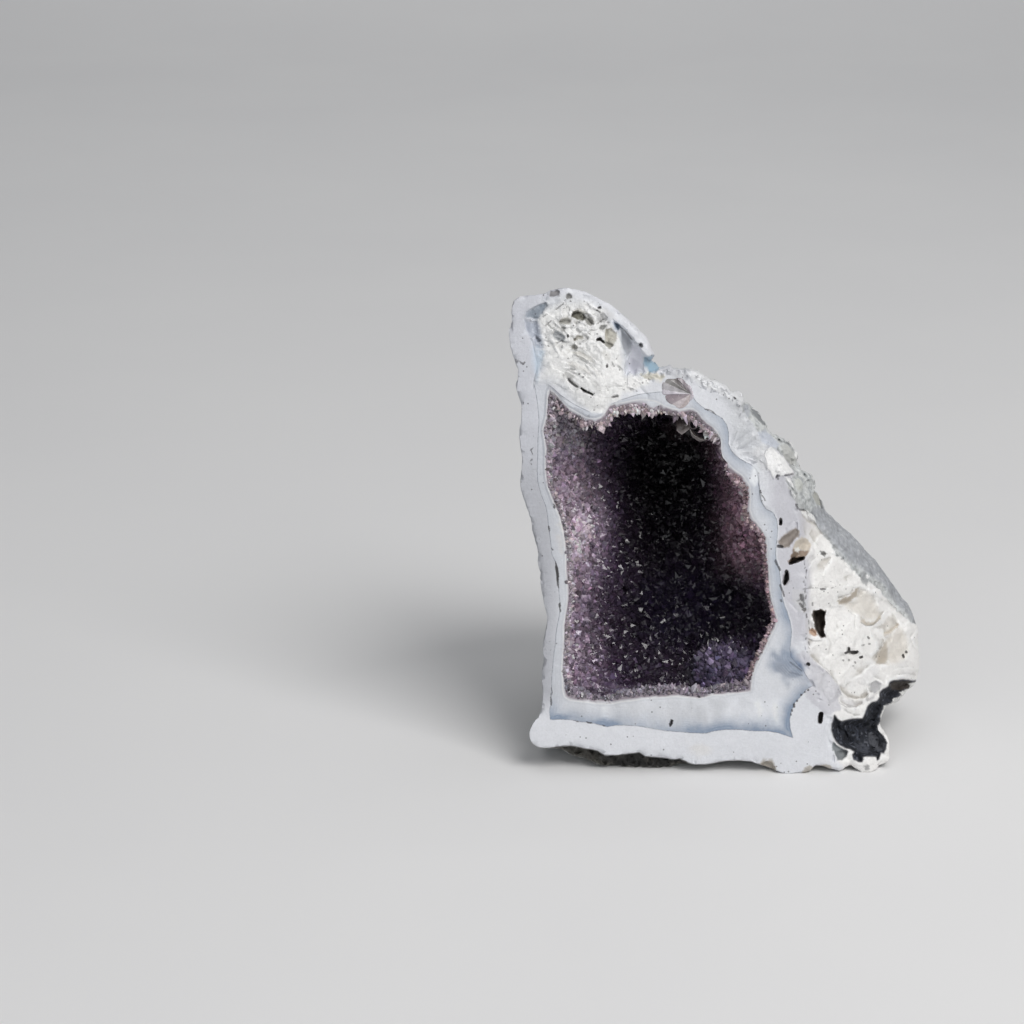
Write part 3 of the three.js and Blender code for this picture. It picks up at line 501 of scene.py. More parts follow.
for shape, depth, slope in (
        ([(19.96, 156.28), (20.63, 157.63), (21.98, 157.97), (23.34, 157.63), (24.35, 156.95), (25.03, 155.60), (24.02, 154.59), (22.33, 154.93), (20.97, 155.60)], 1.9, (0.0, -0.10)),
        ([(24.70, 153.92), (25.71, 155.60), (27.06, 154.93), (27.41, 153.24), (26.05, 153.58)], 1.1, (0.0, 0.0)),
        ([(23.68, 157.29), (25.37, 157.29), (27.06, 156.28), (27.74, 154.59), (26.39, 153.24), (24.36, 154.25)], 0.7, (-0.15, 0.1)),
        ([(15.90, 154.25), (17.25, 155.27), (18.94, 155.27), (19.96, 154.59), (18.95, 153.58), (17.25, 153.92)], 0.9, (0.0, 0.0)),
        ([(16.24, 152.56), (17.26, 152.90), (18.27, 152.23), (17.26, 151.21)], 0.7, (0.0, 0.0)),
        ([(13.87, 150.20), (14.89, 151.21), (16.24, 150.54), (17.60, 149.52), (17.26, 147.84), (15.57, 148.17), (14.55, 148.85)], 0.7, (0.1, 0.1)),
        ([(20.65, 148.51), (22.00, 149.52), (23.35, 149.86), (24.03, 148.85), (22.34, 148.85), (21.32, 147.84)], 0.8, (0.0, 0.0)),
        ([(19.97, 146.48), (20.99, 146.82), (22.00, 146.15), (21.67, 145.13), (20.31, 145.81)], 0.9, (0.0, 0.0)),
        ([(28.76, 154.25), (29.43, 156.62), (31.12, 157.29), (32.48, 155.60), (31.80, 154.59), (29.77, 153.92)], 0.5, (0.20, -0.10)),
        ([(29.44, 151.89), (30.79, 153.24), (31.80, 152.90), (31.13, 151.89), (30.12, 151.21)], 0.8, (0.0, 0.0)),
        ([(31.47, 151.89), (33.50, 152.23), (35.19, 150.54), (35.54, 148.17), (34.19, 146.15), (32.50, 146.15), (31.48, 148.17)], 0.7, (-0.16, 0.12)),
        ([(31.14, 147.84), (32.83, 147.16), (34.53, 146.48), (33.51, 145.47), (31.82, 146.15)], 0.9, (0.0, 0.1)),
        ([(28.43, 148.17), (29.78, 149.19), (30.80, 148.17), (31.48, 146.82), (30.12, 147.50)], 2.0, (0.0, 0.0)),
        ([(28.75, 158.98), (29.76, 159.65), (30.44, 158.64), (29.42, 158.64)], 1.2, (0.0, 0.0)),
        ([(12.51, 163.36), (13.18, 164.71), (14.87, 165.05), (16.23, 164.71), (15.89, 163.36), (14.20, 162.69), (12.85, 162.69)], 0.8, (0.0, 0.1)),
        ([(18.26, 162.35), (18.26, 163.70), (19.27, 164.04), (20.29, 163.36), (20.29, 162.35), (19.27, 162.01)], 0.9, (0.0, 0.0)),
        ([(10.48, 162.35), (11.49, 164.04), (12.17, 163.03), (11.50, 161.34), (10.82, 161.68)], 0.5, (0.0, 0.0)),
        ([(4.40, 155.60), (4.74, 157.63), (6.09, 158.64), (7.10, 158.98), (8.79, 159.99), (9.81, 160.33), (11.50, 161.00), (12.17, 159.65), (10.82, 158.30), (10.49, 156.95), (9.13, 155.60), (7.78, 154.93), (6.43, 155.60), (5.41, 155.27)], 0.7, (0.02, 0.05)),
        ([(4.40, 154.93), (5.75, 155.27), (6.77, 154.25), (7.78, 154.59), (8.46, 154.93), (8.46, 153.24), (8.80, 151.21), (8.80, 149.19), (9.82, 147.84), (8.80, 147.16), (7.45, 148.51), (6.43, 148.85), (5.41, 150.54), (4.40, 152.56)], 0.5, (0.06, 0.02)),
        ([(7.45, 150.20), (8.46, 149.86), (8.80, 148.85), (9.82, 147.84), (8.80, 147.16), (8.12, 148.51)], 0.7, (0.0, 0.0)),
        ([(18.63, 135.32), (19.65, 135.32), (21.01, 133.97), (22.70, 132.61), (22.70, 131.94), (21.69, 131.94), (20.33, 132.95), (19.31, 133.97)], 1.8, (0.0, 0.0)),
        ([(23.04, 131.94), (23.72, 132.27), (24.74, 131.26), (26.09, 130.92), (27.79, 129.90), (27.45, 129.23), (25.76, 129.90), (24.06, 130.58)], 3.2, (0.0, 0.0)),
        ([(33.89, 129.23), (35.25, 129.56), (36.26, 129.56), (35.93, 128.89), (34.23, 128.55)], 0.8, (0.0, 0.0)),
        ([(75.57, 130.92), (76.24, 131.26), (76.93, 130.58), (76.93, 129.90), (76.25, 129.90)], 1.2, (0.0, 0.0))):
    carve(shape, depth, slope, soft=0.3, ragged=0.18)
# sharp little steps on the knob
for line, height, reach in (
        ([(17.58, 160.66), (16.23, 159.65), (14.54, 158.30)], 0.5, 1.4), ([(13.19, 154.59), (11.84, 153.24)], 0.4, 1.2), ([(16.93, 145.13), (15.57, 146.48), (14.89, 147.84)], 0.5, 1.6),
        ([(28.76, 153.24), (30.11, 154.25), (31.46, 155.27)], 0.7, 1.6), ([(27.73, 161.68), (25.70, 163.03), (22.99, 163.70)], 0.3, 2.0), ([(32.15, 151.55), (31.81, 149.52), (32.49, 147.16)], 0.6, 1.2),
        ([(17.94, 144.12), (20.65, 144.79), (23.02, 143.78), (25.73, 142.43)], 0.5, 1.6), ([(28.45, 137.35), (26.41, 140.06), (23.03, 141.75), (18.96, 142.09)], 0.45, 1.4),
        ([(31.17, 135.32), (28.79, 138.71), (26.07, 141.07)], 0.35, 1.2), ([(30.16, 130.58), (33.88, 131.94), (39.30, 132.61), (43.37, 131.94)], 0.35, 2.2),
        ([(21.68, 138.03), (20.32, 138.37), (18.29, 138.71)], 0.5, 1.4), ([(16.94, 135.32), (18.29, 137.35), (21.00, 138.37)], 0.4, 1.6),
        ([(36.56, 144.12), (35.21, 142.09), (35.56, 139.38), (37.26, 136.67)], 0.5, 2.4), ([(24.71, 146.82), (27.08, 148.17), (29.11, 146.82), (31.15, 144.12)], 0.4, 2.4),
        ([(44.05, 131.60), (43.37, 133.63), (40.65, 134.64)], 0.3, 2.5), ([(47.45, 128.55), (45.07, 130.58), (43.37, 132.61)], 0.35, 2.5)):
    ledge(line, 1.5 * height, reach)
# the step between the left strip and the knob
D_STEP = polygon_distance([(4.40, 154.93), (5.08, 151.89), (6.09, 149.19), (7.11, 146.48), (7.79, 142.76), (8.47, 140.40), (8.13, 137.69), (7.45, 135.32), (7.12, 131.94)], GA, GB, closed=False)
RELIEF += 0.45 * np.exp(-(D_STEP / 0.35) ** 2)

# the shell-shaped recess right of the knob: flat glassy facets
rec = 2.6 + 0.05 * (GA - 40.8) - 0.05 * (GB - 144.8)
RELIEF += M_RECESS * rec
for shape, depth, slope, bowl in (
        ([(34.17, 154.25), (35.86, 153.92), (36.54, 152.90), (35.87, 151.55), (35.19, 151.55), (34.51, 152.90)], 1.2, (0.0, 0.0), 0.0),
        ([(36.88, 151.89), (38.24, 150.88), (39.94, 148.85), (40.62, 147.16), (40.29, 144.12), (39.28, 143.10), (37.92, 144.46), (36.89, 148.17)], 0.9, (0.22, 0.05), 0.5),
        ([(40.28, 147.16), (42.31, 146.15), (44.01, 144.12), (44.36, 140.74), (44.71, 137.35), (42.34, 138.03), (41.33, 136.67), (39.29, 137.69), (38.95, 139.38), (39.61, 142.76), (40.29, 144.12)], 1.6, (-0.14, -0.03), 0.6),
        ([(44.69, 142.76), (46.73, 141.41), (48.43, 140.74), (50.80, 139.04), (48.44, 137.35), (46.40, 137.35), (44.70, 140.06)], 1.0, (0.25, 0.10), 0.0),
        ([(42.65, 146.82), (43.66, 147.16), (44.34, 146.82), (43.67, 145.13)], 1.6, (0.0, 0.0), 0.0),
        ([(45.03, 142.43), (46.39, 142.76), (48.08, 143.44), (47.41, 141.75), (46.05, 141.07)], 0.7, (0.0, 0.0), 0.0)):
    carve(shape, depth, slope, soft=0.3, ragged=0.08, bowl=bowl)
D_GROOVE = polygon_distance([(35.86, 153.24), (37.56, 152.23), (38.92, 150.54), (40.27, 149.19), (40.95, 148.51)], GA, GB, closed=False)
RELIEF += 0.9 * np.exp(-(D_GROOVE / 0.40) ** 2)
stripes = np.sin(((GA - 46.9) * 0.85 + (GB - 139.7) * 0.5) * 5.5)
RELIEF += 0.10 * stripes * smooth(blob(GA, GB, (47.4, 139.4), (3.74, 2.72), -30), 0.0, 0.3)
# crumbs at the lower border of the recess
RELIEF += 0.5 * (tiny + small) * smooth(blob(GA, GB, (47.4, 136.0), (7.47, 2.38), 8), 0.0, 0.3)


# right flank: conchoidal scoops meeting in ridges
def scoops(count, lo, hi, depth, seed, box):
    g = np.random.default_rng(seed)
    out = np.zeros_like(GA)
    for _ in range(count):
        c = (g.uniform(box[0], box[1]), g.uniform(box[2], box[3]))
        s = g.uniform(lo, hi)
        e = g.uniform(0.55, 1.0)
        out = np.maximum(out, depth * (s / hi) * (1 - (1 - blob(GA, GB, c, (s, s * e), g.uniform(0, 180))) ** 2))
    return out


flank_box = (89.5, 140.5, 13.4, 93.9)
big = blurred(scoops(26, 5.0, 12.0, 2.7, 11, flank_box), 0.55)
f1e, f2e, oxe, oye, re_ = cells(GA + 1.2 * n5, GB + 1.2 * n3, 6.5, 17, stretch=1.3, turn=math.radians(40))
plates = blurred(0.22 * (oxe * re_[0] + oye * re_[1]) + 0.50 * re_[2], 0.26)
f1g, f2g, oxg, oyg, rg = cells(GA + 0.4 * n1, GB + 0.4 * n3, 2.4, 19, stretch=1.6, turn=math.radians(-50))
chips = 0.15 * (oxg * rg[0] + oyg * rg[1]) + 0.08 * rg[2]
RELIEF += M_SLOPE * (0.11 * n1 + 0.10 * n3 + 0.8 * chips)
RELIEF += M_CHUNK * (1.10 * big + plates + chips * smooth(n5, -0.3, 0.4) + 0.05 * n1)
# the parts of the face between the band and the crust: broad, dull, a little stepped
f1h, f2h, oxh, oyh, rh = cells(GA + 0.8 * n3, GB + 0.8 * n5, 5.2, 27, stretch=1.5, turn=math.radians(35))
broad = 0.17 * (oxh * rh[0] + oyh * rh[1]) + 0.35 * rh[2]
f1i, f2i, oxi, oyi, ri = cells(GA + 0.3 * n1, GB + 0.3 * n3, 2.1, 29, stretch=1.3, turn=math.radians(-20))
crumb = 0.26 * (oxi * ri[0] + oyi * ri[1]) + 0.16 * ri[2]
UPPER = smooth(D_BAND, 0.5, 1.8) * smooth(GA, 69.4, 77.6) * smooth(GB, 93.9, 104.1) * (1 - M_KNOB) * (D_FACE < 1.5)
RELIEF += (1 - M_KNOB) * smooth(D_BAND, 1.0, 3.0) * M_FACE * (0.08 * n5)
RELIEF += UPPER * (1 - 0.8 * smooth(blob(GA, GB, (80.1, 114.3), (9.51, 8.15), 25), 0, 0.4)) * (broad + 0.5 * crumb * smooth(GA + GB, 75.9 + 127.9, 89.5 + 117.7) + 0.02 * n1)
RELIEF += 1.45 * smooth(D_BAND, 0.5, 1.8) * smooth(GA, 43.5, 63.9) * smooth(GB, 121.1, 127.9) * (1 - M_KNOB) * smooth(D_FACE, -3.4, -0.6) * (D_FACE < 1) * (crumb + 0.5 * broad)
fan = np.arctan2(GB - 110.2, GA - 73.8)
fan_r = np.hypot(GB - 110.2, GA - 73.8)
rib = blurred(np.abs(np.sin(fan * 5.5 + 0.3 * n5)) ** 0.7, 0.15)
RIB_SHADE = rib.astype(np.float32)
RIBS = blob(GA, GB, (80.1, 115.0), (8.83, 6.79), 25)
RELIEF += 0.95 * rib * smooth(RIBS, 0.0, 0.45) * smooth(fan_r, 0.8, 4.0) * (D_FACE < 0) * (D_BAND > 0.3)
RELIEF += 0.9 * smooth(blob(GA, GB, (80.1, 106.8), (3.74, 6.79), 28), 0, 0.8) * (D_FACE < 0) * (D_BAND > 0.2)
RELIEF -= 0.62 * smooth(D_BAND, 0.0, 0.15) * smooth(GA, 71.4, 78.2) * smooth(GB, 87.1, 93.9) * (D_FACE < 0)
RELIEF += 0.45 * smooth(-D_FACE, 2.6, 0.3) * (D_FACE < 0) * (crumb + 0.10 * n1) * smooth(GB, 134.6, 141.4) * (1 - smooth(GA, 48.6, 52.0))
# the ring inside the contact lies a little lower on the left
RELIEF += 0.16 * smooth(-D_BAND, -0.05, 0.20) * smooth(-GA, -21.4, -16.3) * smooth(D_POCKET, -0.5, 0.2)

# the two big shell-shaped scoops, with raised lips
for shape, depth, slope, bowl, soft in (
        ([(110.68, 59.43), (112.72, 60.46), (115.10, 61.14), (116.11, 62.51), (116.78, 63.88), (117.79, 64.56), (119.50, 63.88), (121.21, 63.19), (122.93, 61.48), (124.30, 59.77), (124.66, 57.72), (125.70, 55.67), (125.38, 53.96), (123.35, 52.24), (121.65, 51.90), (119.94, 52.59), (118.90, 53.61), (115.83, 54.98), (114.11, 56.35), (112.06, 57.72)], 0.7, (0.02, 0.10), 3.0, 0.7),
        ([(126.45, 47.79), (128.49, 48.13), (130.19, 49.50), (132.21, 51.22), (133.93, 50.19), (135.66, 47.45), (136.38, 43.33), (135.05, 39.22), (131.66, 37.50), (127.91, 37.16), (125.52, 37.16), (123.81, 37.85), (124.13, 40.59), (125.47, 43.33), (126.81, 45.39)], 0.5, (-0.14, 0.04), 2.3, 0.8),
        ([(127.74, 56.01), (129.79, 55.32), (131.86, 52.93), (131.20, 50.53), (129.16, 49.85), (126.79, 48.48), (122.69, 49.50), (120.63, 50.53), (122.34, 50.87), (124.71, 52.24), (126.05, 54.30)], 0.35, (0.0, 0.05), 1.1, 0.45),
        ([(96.24, 79.93), (98.61, 81.29), (100.66, 80.61), (101.69, 78.56), (101.37, 76.52), (100.36, 75.15), (99.01, 73.44), (96.97, 73.10), (94.93, 72.08), (93.91, 72.42), (94.92, 74.13), (95.58, 76.52), (95.57, 78.56)], 1.2, (0.10, -0.30), 2.0, 0.5),
        ([(91.49, 78.22), (90.80, 79.93), (92.15, 81.63), (94.18, 82.66), (96.21, 84.36), (97.58, 83.34), (97.25, 81.63), (95.90, 80.27), (94.55, 78.56), (92.85, 77.88)], 0.9, (0.0, -0.12), 0.7, 0.6),
        ([(94.25, 72.42), (95.26, 74.13), (96.96, 74.13), (99.00, 74.47), (99.35, 73.44), (96.97, 73.10), (95.27, 72.08)], 4.5, (0.0, 0.0), 0.0, 0.3),
        ([(102.87, 56.01), (104.92, 56.35), (106.62, 55.67), (106.30, 53.61), (106.65, 51.90), (105.99, 49.50), (106.69, 47.45), (105.67, 47.10), (103.95, 48.48), (103.26, 50.19), (103.24, 52.24), (102.55, 54.30)], 6.5, (0.3, 0.0), 0.0, 0.3),
        ([(101.22, 49.50), (102.23, 50.19), (103.60, 49.50), (103.96, 47.79), (102.60, 47.45), (101.57, 48.48)], 1.3, (0.2, 0.0), 0.0, 0.4),
        ([(93.59, 69.69), (93.93, 69.00), (93.95, 66.61), (92.94, 64.90), (92.25, 65.59), (92.58, 67.64)], 3.6, (0.0, 0.0), 0.0, 0.3),
        ([(91.10, 87.09), (91.77, 87.43), (91.78, 85.73), (90.77, 85.39)], 2.2, (0.0, 0.0), 0.0, 0.3),
        ([(90.13, 78.56), (91.49, 78.56), (92.51, 77.88), (91.84, 77.20), (90.47, 77.88)], 1.4, (0.0, 0.0), 0.0, 0.3),
        ([(104.77, 76.52), (106.13, 76.52), (107.16, 75.49), (106.14, 74.47), (105.12, 75.49)], 1.0, (0.0, 0.0), 0.0, 0.35),
        ([(96.72, 59.09), (98.08, 60.12), (98.07, 61.83), (99.09, 61.83), (99.44, 59.43), (99.46, 57.38), (98.44, 57.04), (98.09, 58.75)], 0.9, (0.0, 0.0), 0.0, 0.35),
        ([(98.44, 56.69), (100.14, 57.38), (100.49, 56.69), (99.47, 55.67)], 0.7, (0.0, 0.0), 0.0, 0.3),
        ([(101.84, 57.72), (102.17, 59.09), (102.85, 59.09), (102.52, 57.72)], 0.5, (0.0, 0.0), 0.0, 0.3),
        ([(113.55, 41.62), (114.22, 42.31), (114.22, 43.33), (115.24, 43.68), (115.25, 42.31), (116.95, 42.31), (117.98, 42.31), (117.98, 41.62), (116.28, 40.93), (114.57, 41.62)], 1.7, (0.0, 0.0), 0.0, 0.3),
        ([(118.34, 39.90), (119.01, 40.59), (119.70, 40.25), (119.36, 39.56)], 1.2, (0.0, 0.0), 0.0, 0.3),
        ([(121.00, 47.45), (121.69, 47.10), (122.03, 46.42), (121.35, 46.42)], 0.7, (0.0, 0.0), 0.0, 0.3),
        ([(121.36, 45.05), (122.38, 45.05), (122.05, 44.36)], 0.6, (0.0, 0.0), 0.0, 0.3),
        ([(118.98, 44.36), (120.34, 44.71), (120.35, 44.02), (119.33, 43.68)], 0.5, (0.0, 0.0), 0.0, 0.3),
        ([(114.24, 39.90), (115.27, 39.22), (114.94, 38.53), (114.25, 39.22)], 0.7, (0.0, 0.0), 0.0, 0.3),
        ([(116.64, 38.87), (117.32, 38.53), (117.33, 37.85), (116.65, 37.85)], 0.6, (0.0, 0.0), 0.0, 0.3),
        ([(132.99, 40.93), (133.67, 41.28), (133.68, 40.25), (133.00, 39.90)], 1.0, (0.0, 0.0), 0.0, 0.3),
        ([(134.00, 41.96), (134.68, 42.31), (134.69, 41.62), (134.01, 41.28)], 0.9, (0.0, 0.0), 0.0, 0.3),
        ([(104.52, 17.57), (104.50, 19.64), (105.17, 21.01), (105.85, 21.36), (106.20, 20.67), (105.87, 18.60), (105.20, 17.23)], 3.4, (0.0, 0.0), 0.0, 0.3),
        ([(100.28, 37.85), (100.95, 38.53), (101.64, 37.50), (101.30, 37.16)], 1.3, (0.0, 0.0), 0.0, 0.3),
        ([(53.62, 17.57), (54.30, 18.60), (54.65, 18.60), (54.65, 17.23), (53.97, 16.19)], 1.6, (0.0, 0.0), 0.0, 0.3),
        ([(13.93, 91.86), (14.61, 91.86), (14.95, 90.84), (14.27, 90.84)], 0.7, (0.0, 0.0), 0.0, 0.3),
        ([(89.64, 102.07), (90.32, 102.75), (91.00, 102.07), (90.66, 101.73), (89.98, 101.73), (89.99, 100.71), (89.31, 101.39)], 1.0, (0.0, 0.0), 0.0, 0.3),
        ([(92.36, 102.07), (93.37, 103.09), (95.41, 102.75), (95.41, 102.41), (93.71, 102.41), (92.70, 101.73)], 0.9, (0.0, 0.0), 0.0, 0.3),
        ([(96.16, 92.20), (96.83, 92.88), (97.18, 91.52), (97.87, 90.84), (99.23, 90.84), (98.89, 90.16), (97.19, 90.50)], 0.8, (0.0, 0.0), 0.0, 0.3),
        ([(81.02, 125.16), (83.06, 124.14), (85.11, 121.43), (86.83, 118.38), (85.12, 119.39), (83.08, 121.43), (81.37, 123.46)], 0.9, (0.0, 0.0), 0.0, 0.4),
        ([(78.30, 126.18), (80.00, 126.18), (80.69, 124.14), (80.70, 122.11), (79.68, 122.45), (78.65, 124.14)], 0.35, (0.0, 0.0), 0.0, 0.3),
        ([(102.58, 96.97), (103.61, 96.29), (104.64, 94.24), (105.00, 91.86), (103.64, 92.20), (102.26, 94.92)], 0.8, (0.0, 0.0), 0.0, 0.35),
        ([(109.68, 11.72), (110.72, 10.00), (112.78, 8.96), (114.84, 7.93), (114.17, 5.86), (112.81, 4.83), (111.45, 4.83), (110.06, 7.24), (109.36, 9.31)], 1.5, (0.35, 0.1), 0.0, 0.4),
        ([(122.16, 30.98), (123.86, 32.35), (125.92, 30.98), (125.25, 28.92), (123.55, 28.23), (122.18, 29.61)], 0.7, (0.0, 0.1), 0.0, 0.5),
        ([(119.46, 69.00), (120.48, 69.35), (120.83, 67.30), (119.81, 67.30)], 0.7, (0.0, 0.0), 0.0, 0.4),
        ([(85.48, 1.72), (85.47, 3.79), (86.83, 4.48), (88.55, 4.14), (89.58, 2.76), (89.93, 1.38), (87.54, 0.69)], 1.6, (0.0, 0.0), 0.0, 0.35)):
    carve(shape, depth, slope, soft=soft, ragged=0.15, bowl=bowl)
# ledges of the crust; each drops on its left side
for line, height, reach in (
        ([(117.89, 53.27), (119.25, 52.59), (120.63, 51.22), (122.34, 50.87), (124.03, 51.90), (125.38, 53.61), (126.39, 55.32), (127.74, 56.35)], 1.3, 2.6),
        ([(113.78, 56.01), (115.14, 55.32), (116.51, 54.30), (116.53, 52.24), (116.56, 49.16)], 0.5, 1.8),
        ([(110.34, 59.77), (112.72, 60.80), (115.09, 61.48), (116.10, 62.85), (116.77, 64.22)], 1.2, 2.0),
        ([(126.11, 48.13), (128.49, 48.48), (130.18, 49.85), (132.21, 51.56)], 1.4, 2.6), ([(123.81, 37.85), (124.47, 40.93), (125.81, 43.68), (126.81, 45.73), (126.45, 47.79)], 1.0, 3.2),
        ([(99.42, 63.54), (102.14, 63.88), (104.86, 63.54), (107.58, 63.88), (110.65, 63.88)], 0.4, 1.4), ([(100.07, 67.30), (100.39, 70.03), (101.73, 72.76), (104.10, 74.81)], 0.5, 4.0),
        ([(114.35, 70.03), (113.64, 72.76), (110.91, 74.81), (107.49, 76.18)], 0.5, 2.5), ([(117.50, 58.41), (113.76, 57.38), (109.67, 57.72), (107.65, 55.67)], 0.35, 3.0),
        ([(110.06, 52.24), (111.11, 48.82), (112.83, 45.73), (114.55, 44.02)], 0.30, 2.0), ([(120.65, 48.82), (119.31, 46.08), (119.68, 42.65), (120.72, 39.90)], 0.35, 3.0),
        ([(110.90, 31.32), (112.63, 28.23), (114.69, 26.51), (117.43, 25.83), (120.16, 26.17), (122.87, 28.23), (124.57, 29.26)], 0.9, 2.2),
        ([(111.28, 25.83), (113.00, 24.11), (115.06, 23.08), (117.45, 23.08), (120.51, 24.79)], 1.3, 2.2),
        ([(112.68, 22.39), (114.74, 21.01), (117.13, 19.98), (119.52, 19.98)], 1.0, 2.2),
        ([(122.82, 33.73), (125.56, 32.35), (127.63, 30.64)], 0.5, 2.5), ([(121.81, 32.01), (121.15, 29.95), (122.19, 28.23), (124.59, 26.51)], 0.7, 2.2),
        ([(128.95, 35.44), (131.67, 36.47), (135.08, 36.82), (138.49, 36.13)], 0.4, 2.4), ([(128.63, 33.04), (131.35, 34.07), (135.10, 34.41), (138.52, 33.73)], 0.5, 2.4),
        ([(100.25, 42.31), (102.31, 39.90), (105.05, 37.50), (107.80, 35.44), (110.21, 32.01), (112.28, 28.92)], 0.7, 4.5),
        ([(106.35, 46.08), (104.31, 45.73), (101.92, 46.08), (99.87, 47.45)], 0.5, 2.2), ([(93.31, 59.77), (95.37, 57.72), (97.09, 55.67), (97.45, 52.24)], 0.25, 2.0),
        ([(85.52, 109.21), (86.19, 110.91), (87.88, 112.26), (89.93, 110.91), (92.66, 108.53), (94.37, 105.47), (96.08, 103.43)], 0.9, 1.8),
        ([(84.13, 115.66), (81.43, 113.96), (78.72, 111.93), (76.01, 111.25)], 0.30, 2.2), ([(83.10, 118.38), (80.05, 117.02), (77.35, 114.98), (75.32, 113.96)], 0.25, 2.2),
        ([(85.51, 112.26), (83.48, 110.57), (81.46, 108.19), (80.12, 105.47)], 0.35, 2.4), ([(92.37, 100.71), (94.42, 97.99), (95.79, 96.63), (97.17, 93.90)], 0.6, 1.6),
        ([(98.21, 90.50), (100.25, 90.16), (102.30, 88.79), (103.68, 86.07)], 0.7, 1.8), ([(93.85, 81.63), (93.15, 84.36), (95.18, 86.41), (97.89, 87.09)], 0.3, 2.6),
        ([(104.04, 83.00), (106.77, 81.29), (108.84, 78.56), (111.57, 76.18)], 0.4, 2.2), ([(102.33, 84.70), (100.99, 82.32), (102.71, 79.59), (104.76, 77.54)], 0.4, 2.4)):
    ledge(line, 1.7 * height, 1.15 * reach)

# crumbs of the chalky crust along the upper edge
crumb_line = np.asarray([(47.42, 137.01), (50.46, 138.71), (53.51, 139.38), (58.93, 138.37), (64.03, 134.98), (70.82, 132.61), (76.59, 129.90), (78.98, 126.85)], float)
crumb_g = np.random.default_rng(515)
for _ in range(84):
    k = crumb_g.integers(0, len(crumb_line) - 1); t = crumb_g.random()
    c = crumb_line[k] * (1 - t) + crumb_line[k + 1] * t + crumb_g.uniform(-0.3, 3.0) * np.array([-0.35, -0.94])
    r = crumb_g.uniform(0.45, 1.20); q = np.sort(crumb_g.uniform(0, math.tau, 6)) + crumb_g.random()
    shape = c + (r * crumb_g.uniform(0.75, 1.15, 6))[:, None] * np.stack([np.cos(q), np.sin(q)], 1)
    carve(shape, crumb_g.choice([-0.75, -0.5, -0.3, 0.5], p=[0.2, 0.3, 0.2, 0.3]), tuple(crumb_g.normal(0, 0.22, 2)), soft=0.2, ragged=0.12)

# grey rind: rough above, smoother on the slope
f1r, f2r, oxr, oyr, rr = cells(GA + 0.6 * n3, GB + 0.6 * n1, 4.4, 21, stretch=1.3, turn=math.radians(50))
f1s, f2s, oxs, oys, rs = cells(GA, GB, 1.5, 23)
rough = 0.35 * noise(GA, GB, Z + 300, 2.2) + 0.22 * noise(GA, GB, Z + 340, 1.0) + 0.6 * noise(GA, GB, Z + 380, 6.0)
rough = rough + 0.30 * (oxs * rs[0] + oys * rs[1]) + 0.12 * rs[2]
RELIEF += M_SLOPE * rough * (1 - 0.55 * M_SMOOTH)
RELIEF += M_SLOPE * (1 - M_SMOOTH) * (0.26 * (oxr * rr[0] + oyr * rr[1]) + 0.55 * rr[2])
RELIEF -= 0.5 * M_PATCH
RELIEF += (0.55 + 0.5 * smooth(RAG, -0.2, 0.6)) * smooth(-D_SLOPE + 0.9 * RAG, -0.2, 0.3) * (1 - smooth(-D_SLOPE, 0.3, 2.0)) * (D_OUT < 1)
for shape, height in (([(93.04, 101.73), (94.40, 101.39), (95.43, 99.69), (95.78, 97.65), (94.76, 98.33), (93.73, 100.03)], 0.6), ([(94.43, 97.31), (95.79, 96.29), (96.83, 94.24), (95.81, 94.24), (94.78, 95.95)], 0.6),
                      ([(98.21, 90.16), (100.59, 90.16), (102.30, 88.79), (103.33, 87.09), (103.34, 86.07), (101.98, 86.41), (99.93, 87.77), (98.56, 89.13)], 0.8), ([(98.80, 103.77), (100.50, 103.43), (102.20, 102.41), (101.19, 101.39), (99.83, 102.07)], 0.8),
                      ([(120.48, 69.00), (121.16, 69.35), (121.85, 67.64), (121.18, 66.95), (120.49, 67.64)], 0.5), ([(92.28, 114.64), (93.98, 114.30), (95.69, 112.26), (97.06, 109.89), (96.73, 107.85), (96.05, 108.87), (95.69, 111.25), (93.98, 113.28)], 0.7)):
    carve(shape, -height, soft=0.3, ragged=0.25)

# the dark hollow at the lower right, with a rough crystalline floor
RELIEF += M_HOLLOW * (6.5 + 0.9 * n5 + 0.7 * n3 + 0.30 * n1 + 0.8 * (oxs * rs[0] + oys * rs[1]) + 0.35 * rs[2]) * (0.25 + 0.75 * smooth(-D_HOLLOW, 0.0, 3.0))
ledge([(123.67, 14.13), (125.40, 11.72), (125.09, 8.27), (124.09, 5.86)], 1.6, 2.0)
ledge([(125.76, 10.00), (127.11, 11.37), (128.15, 10.34)], 0.8, 1.5)

# broken underside strip below the face
RELIEF += M_UNDER * (2.6 + 0.9 * n3 + 0.5 * n1 + 0.6 * (oxs * rs[0] + oys * rs[1]) + 0.3 * rs[2])

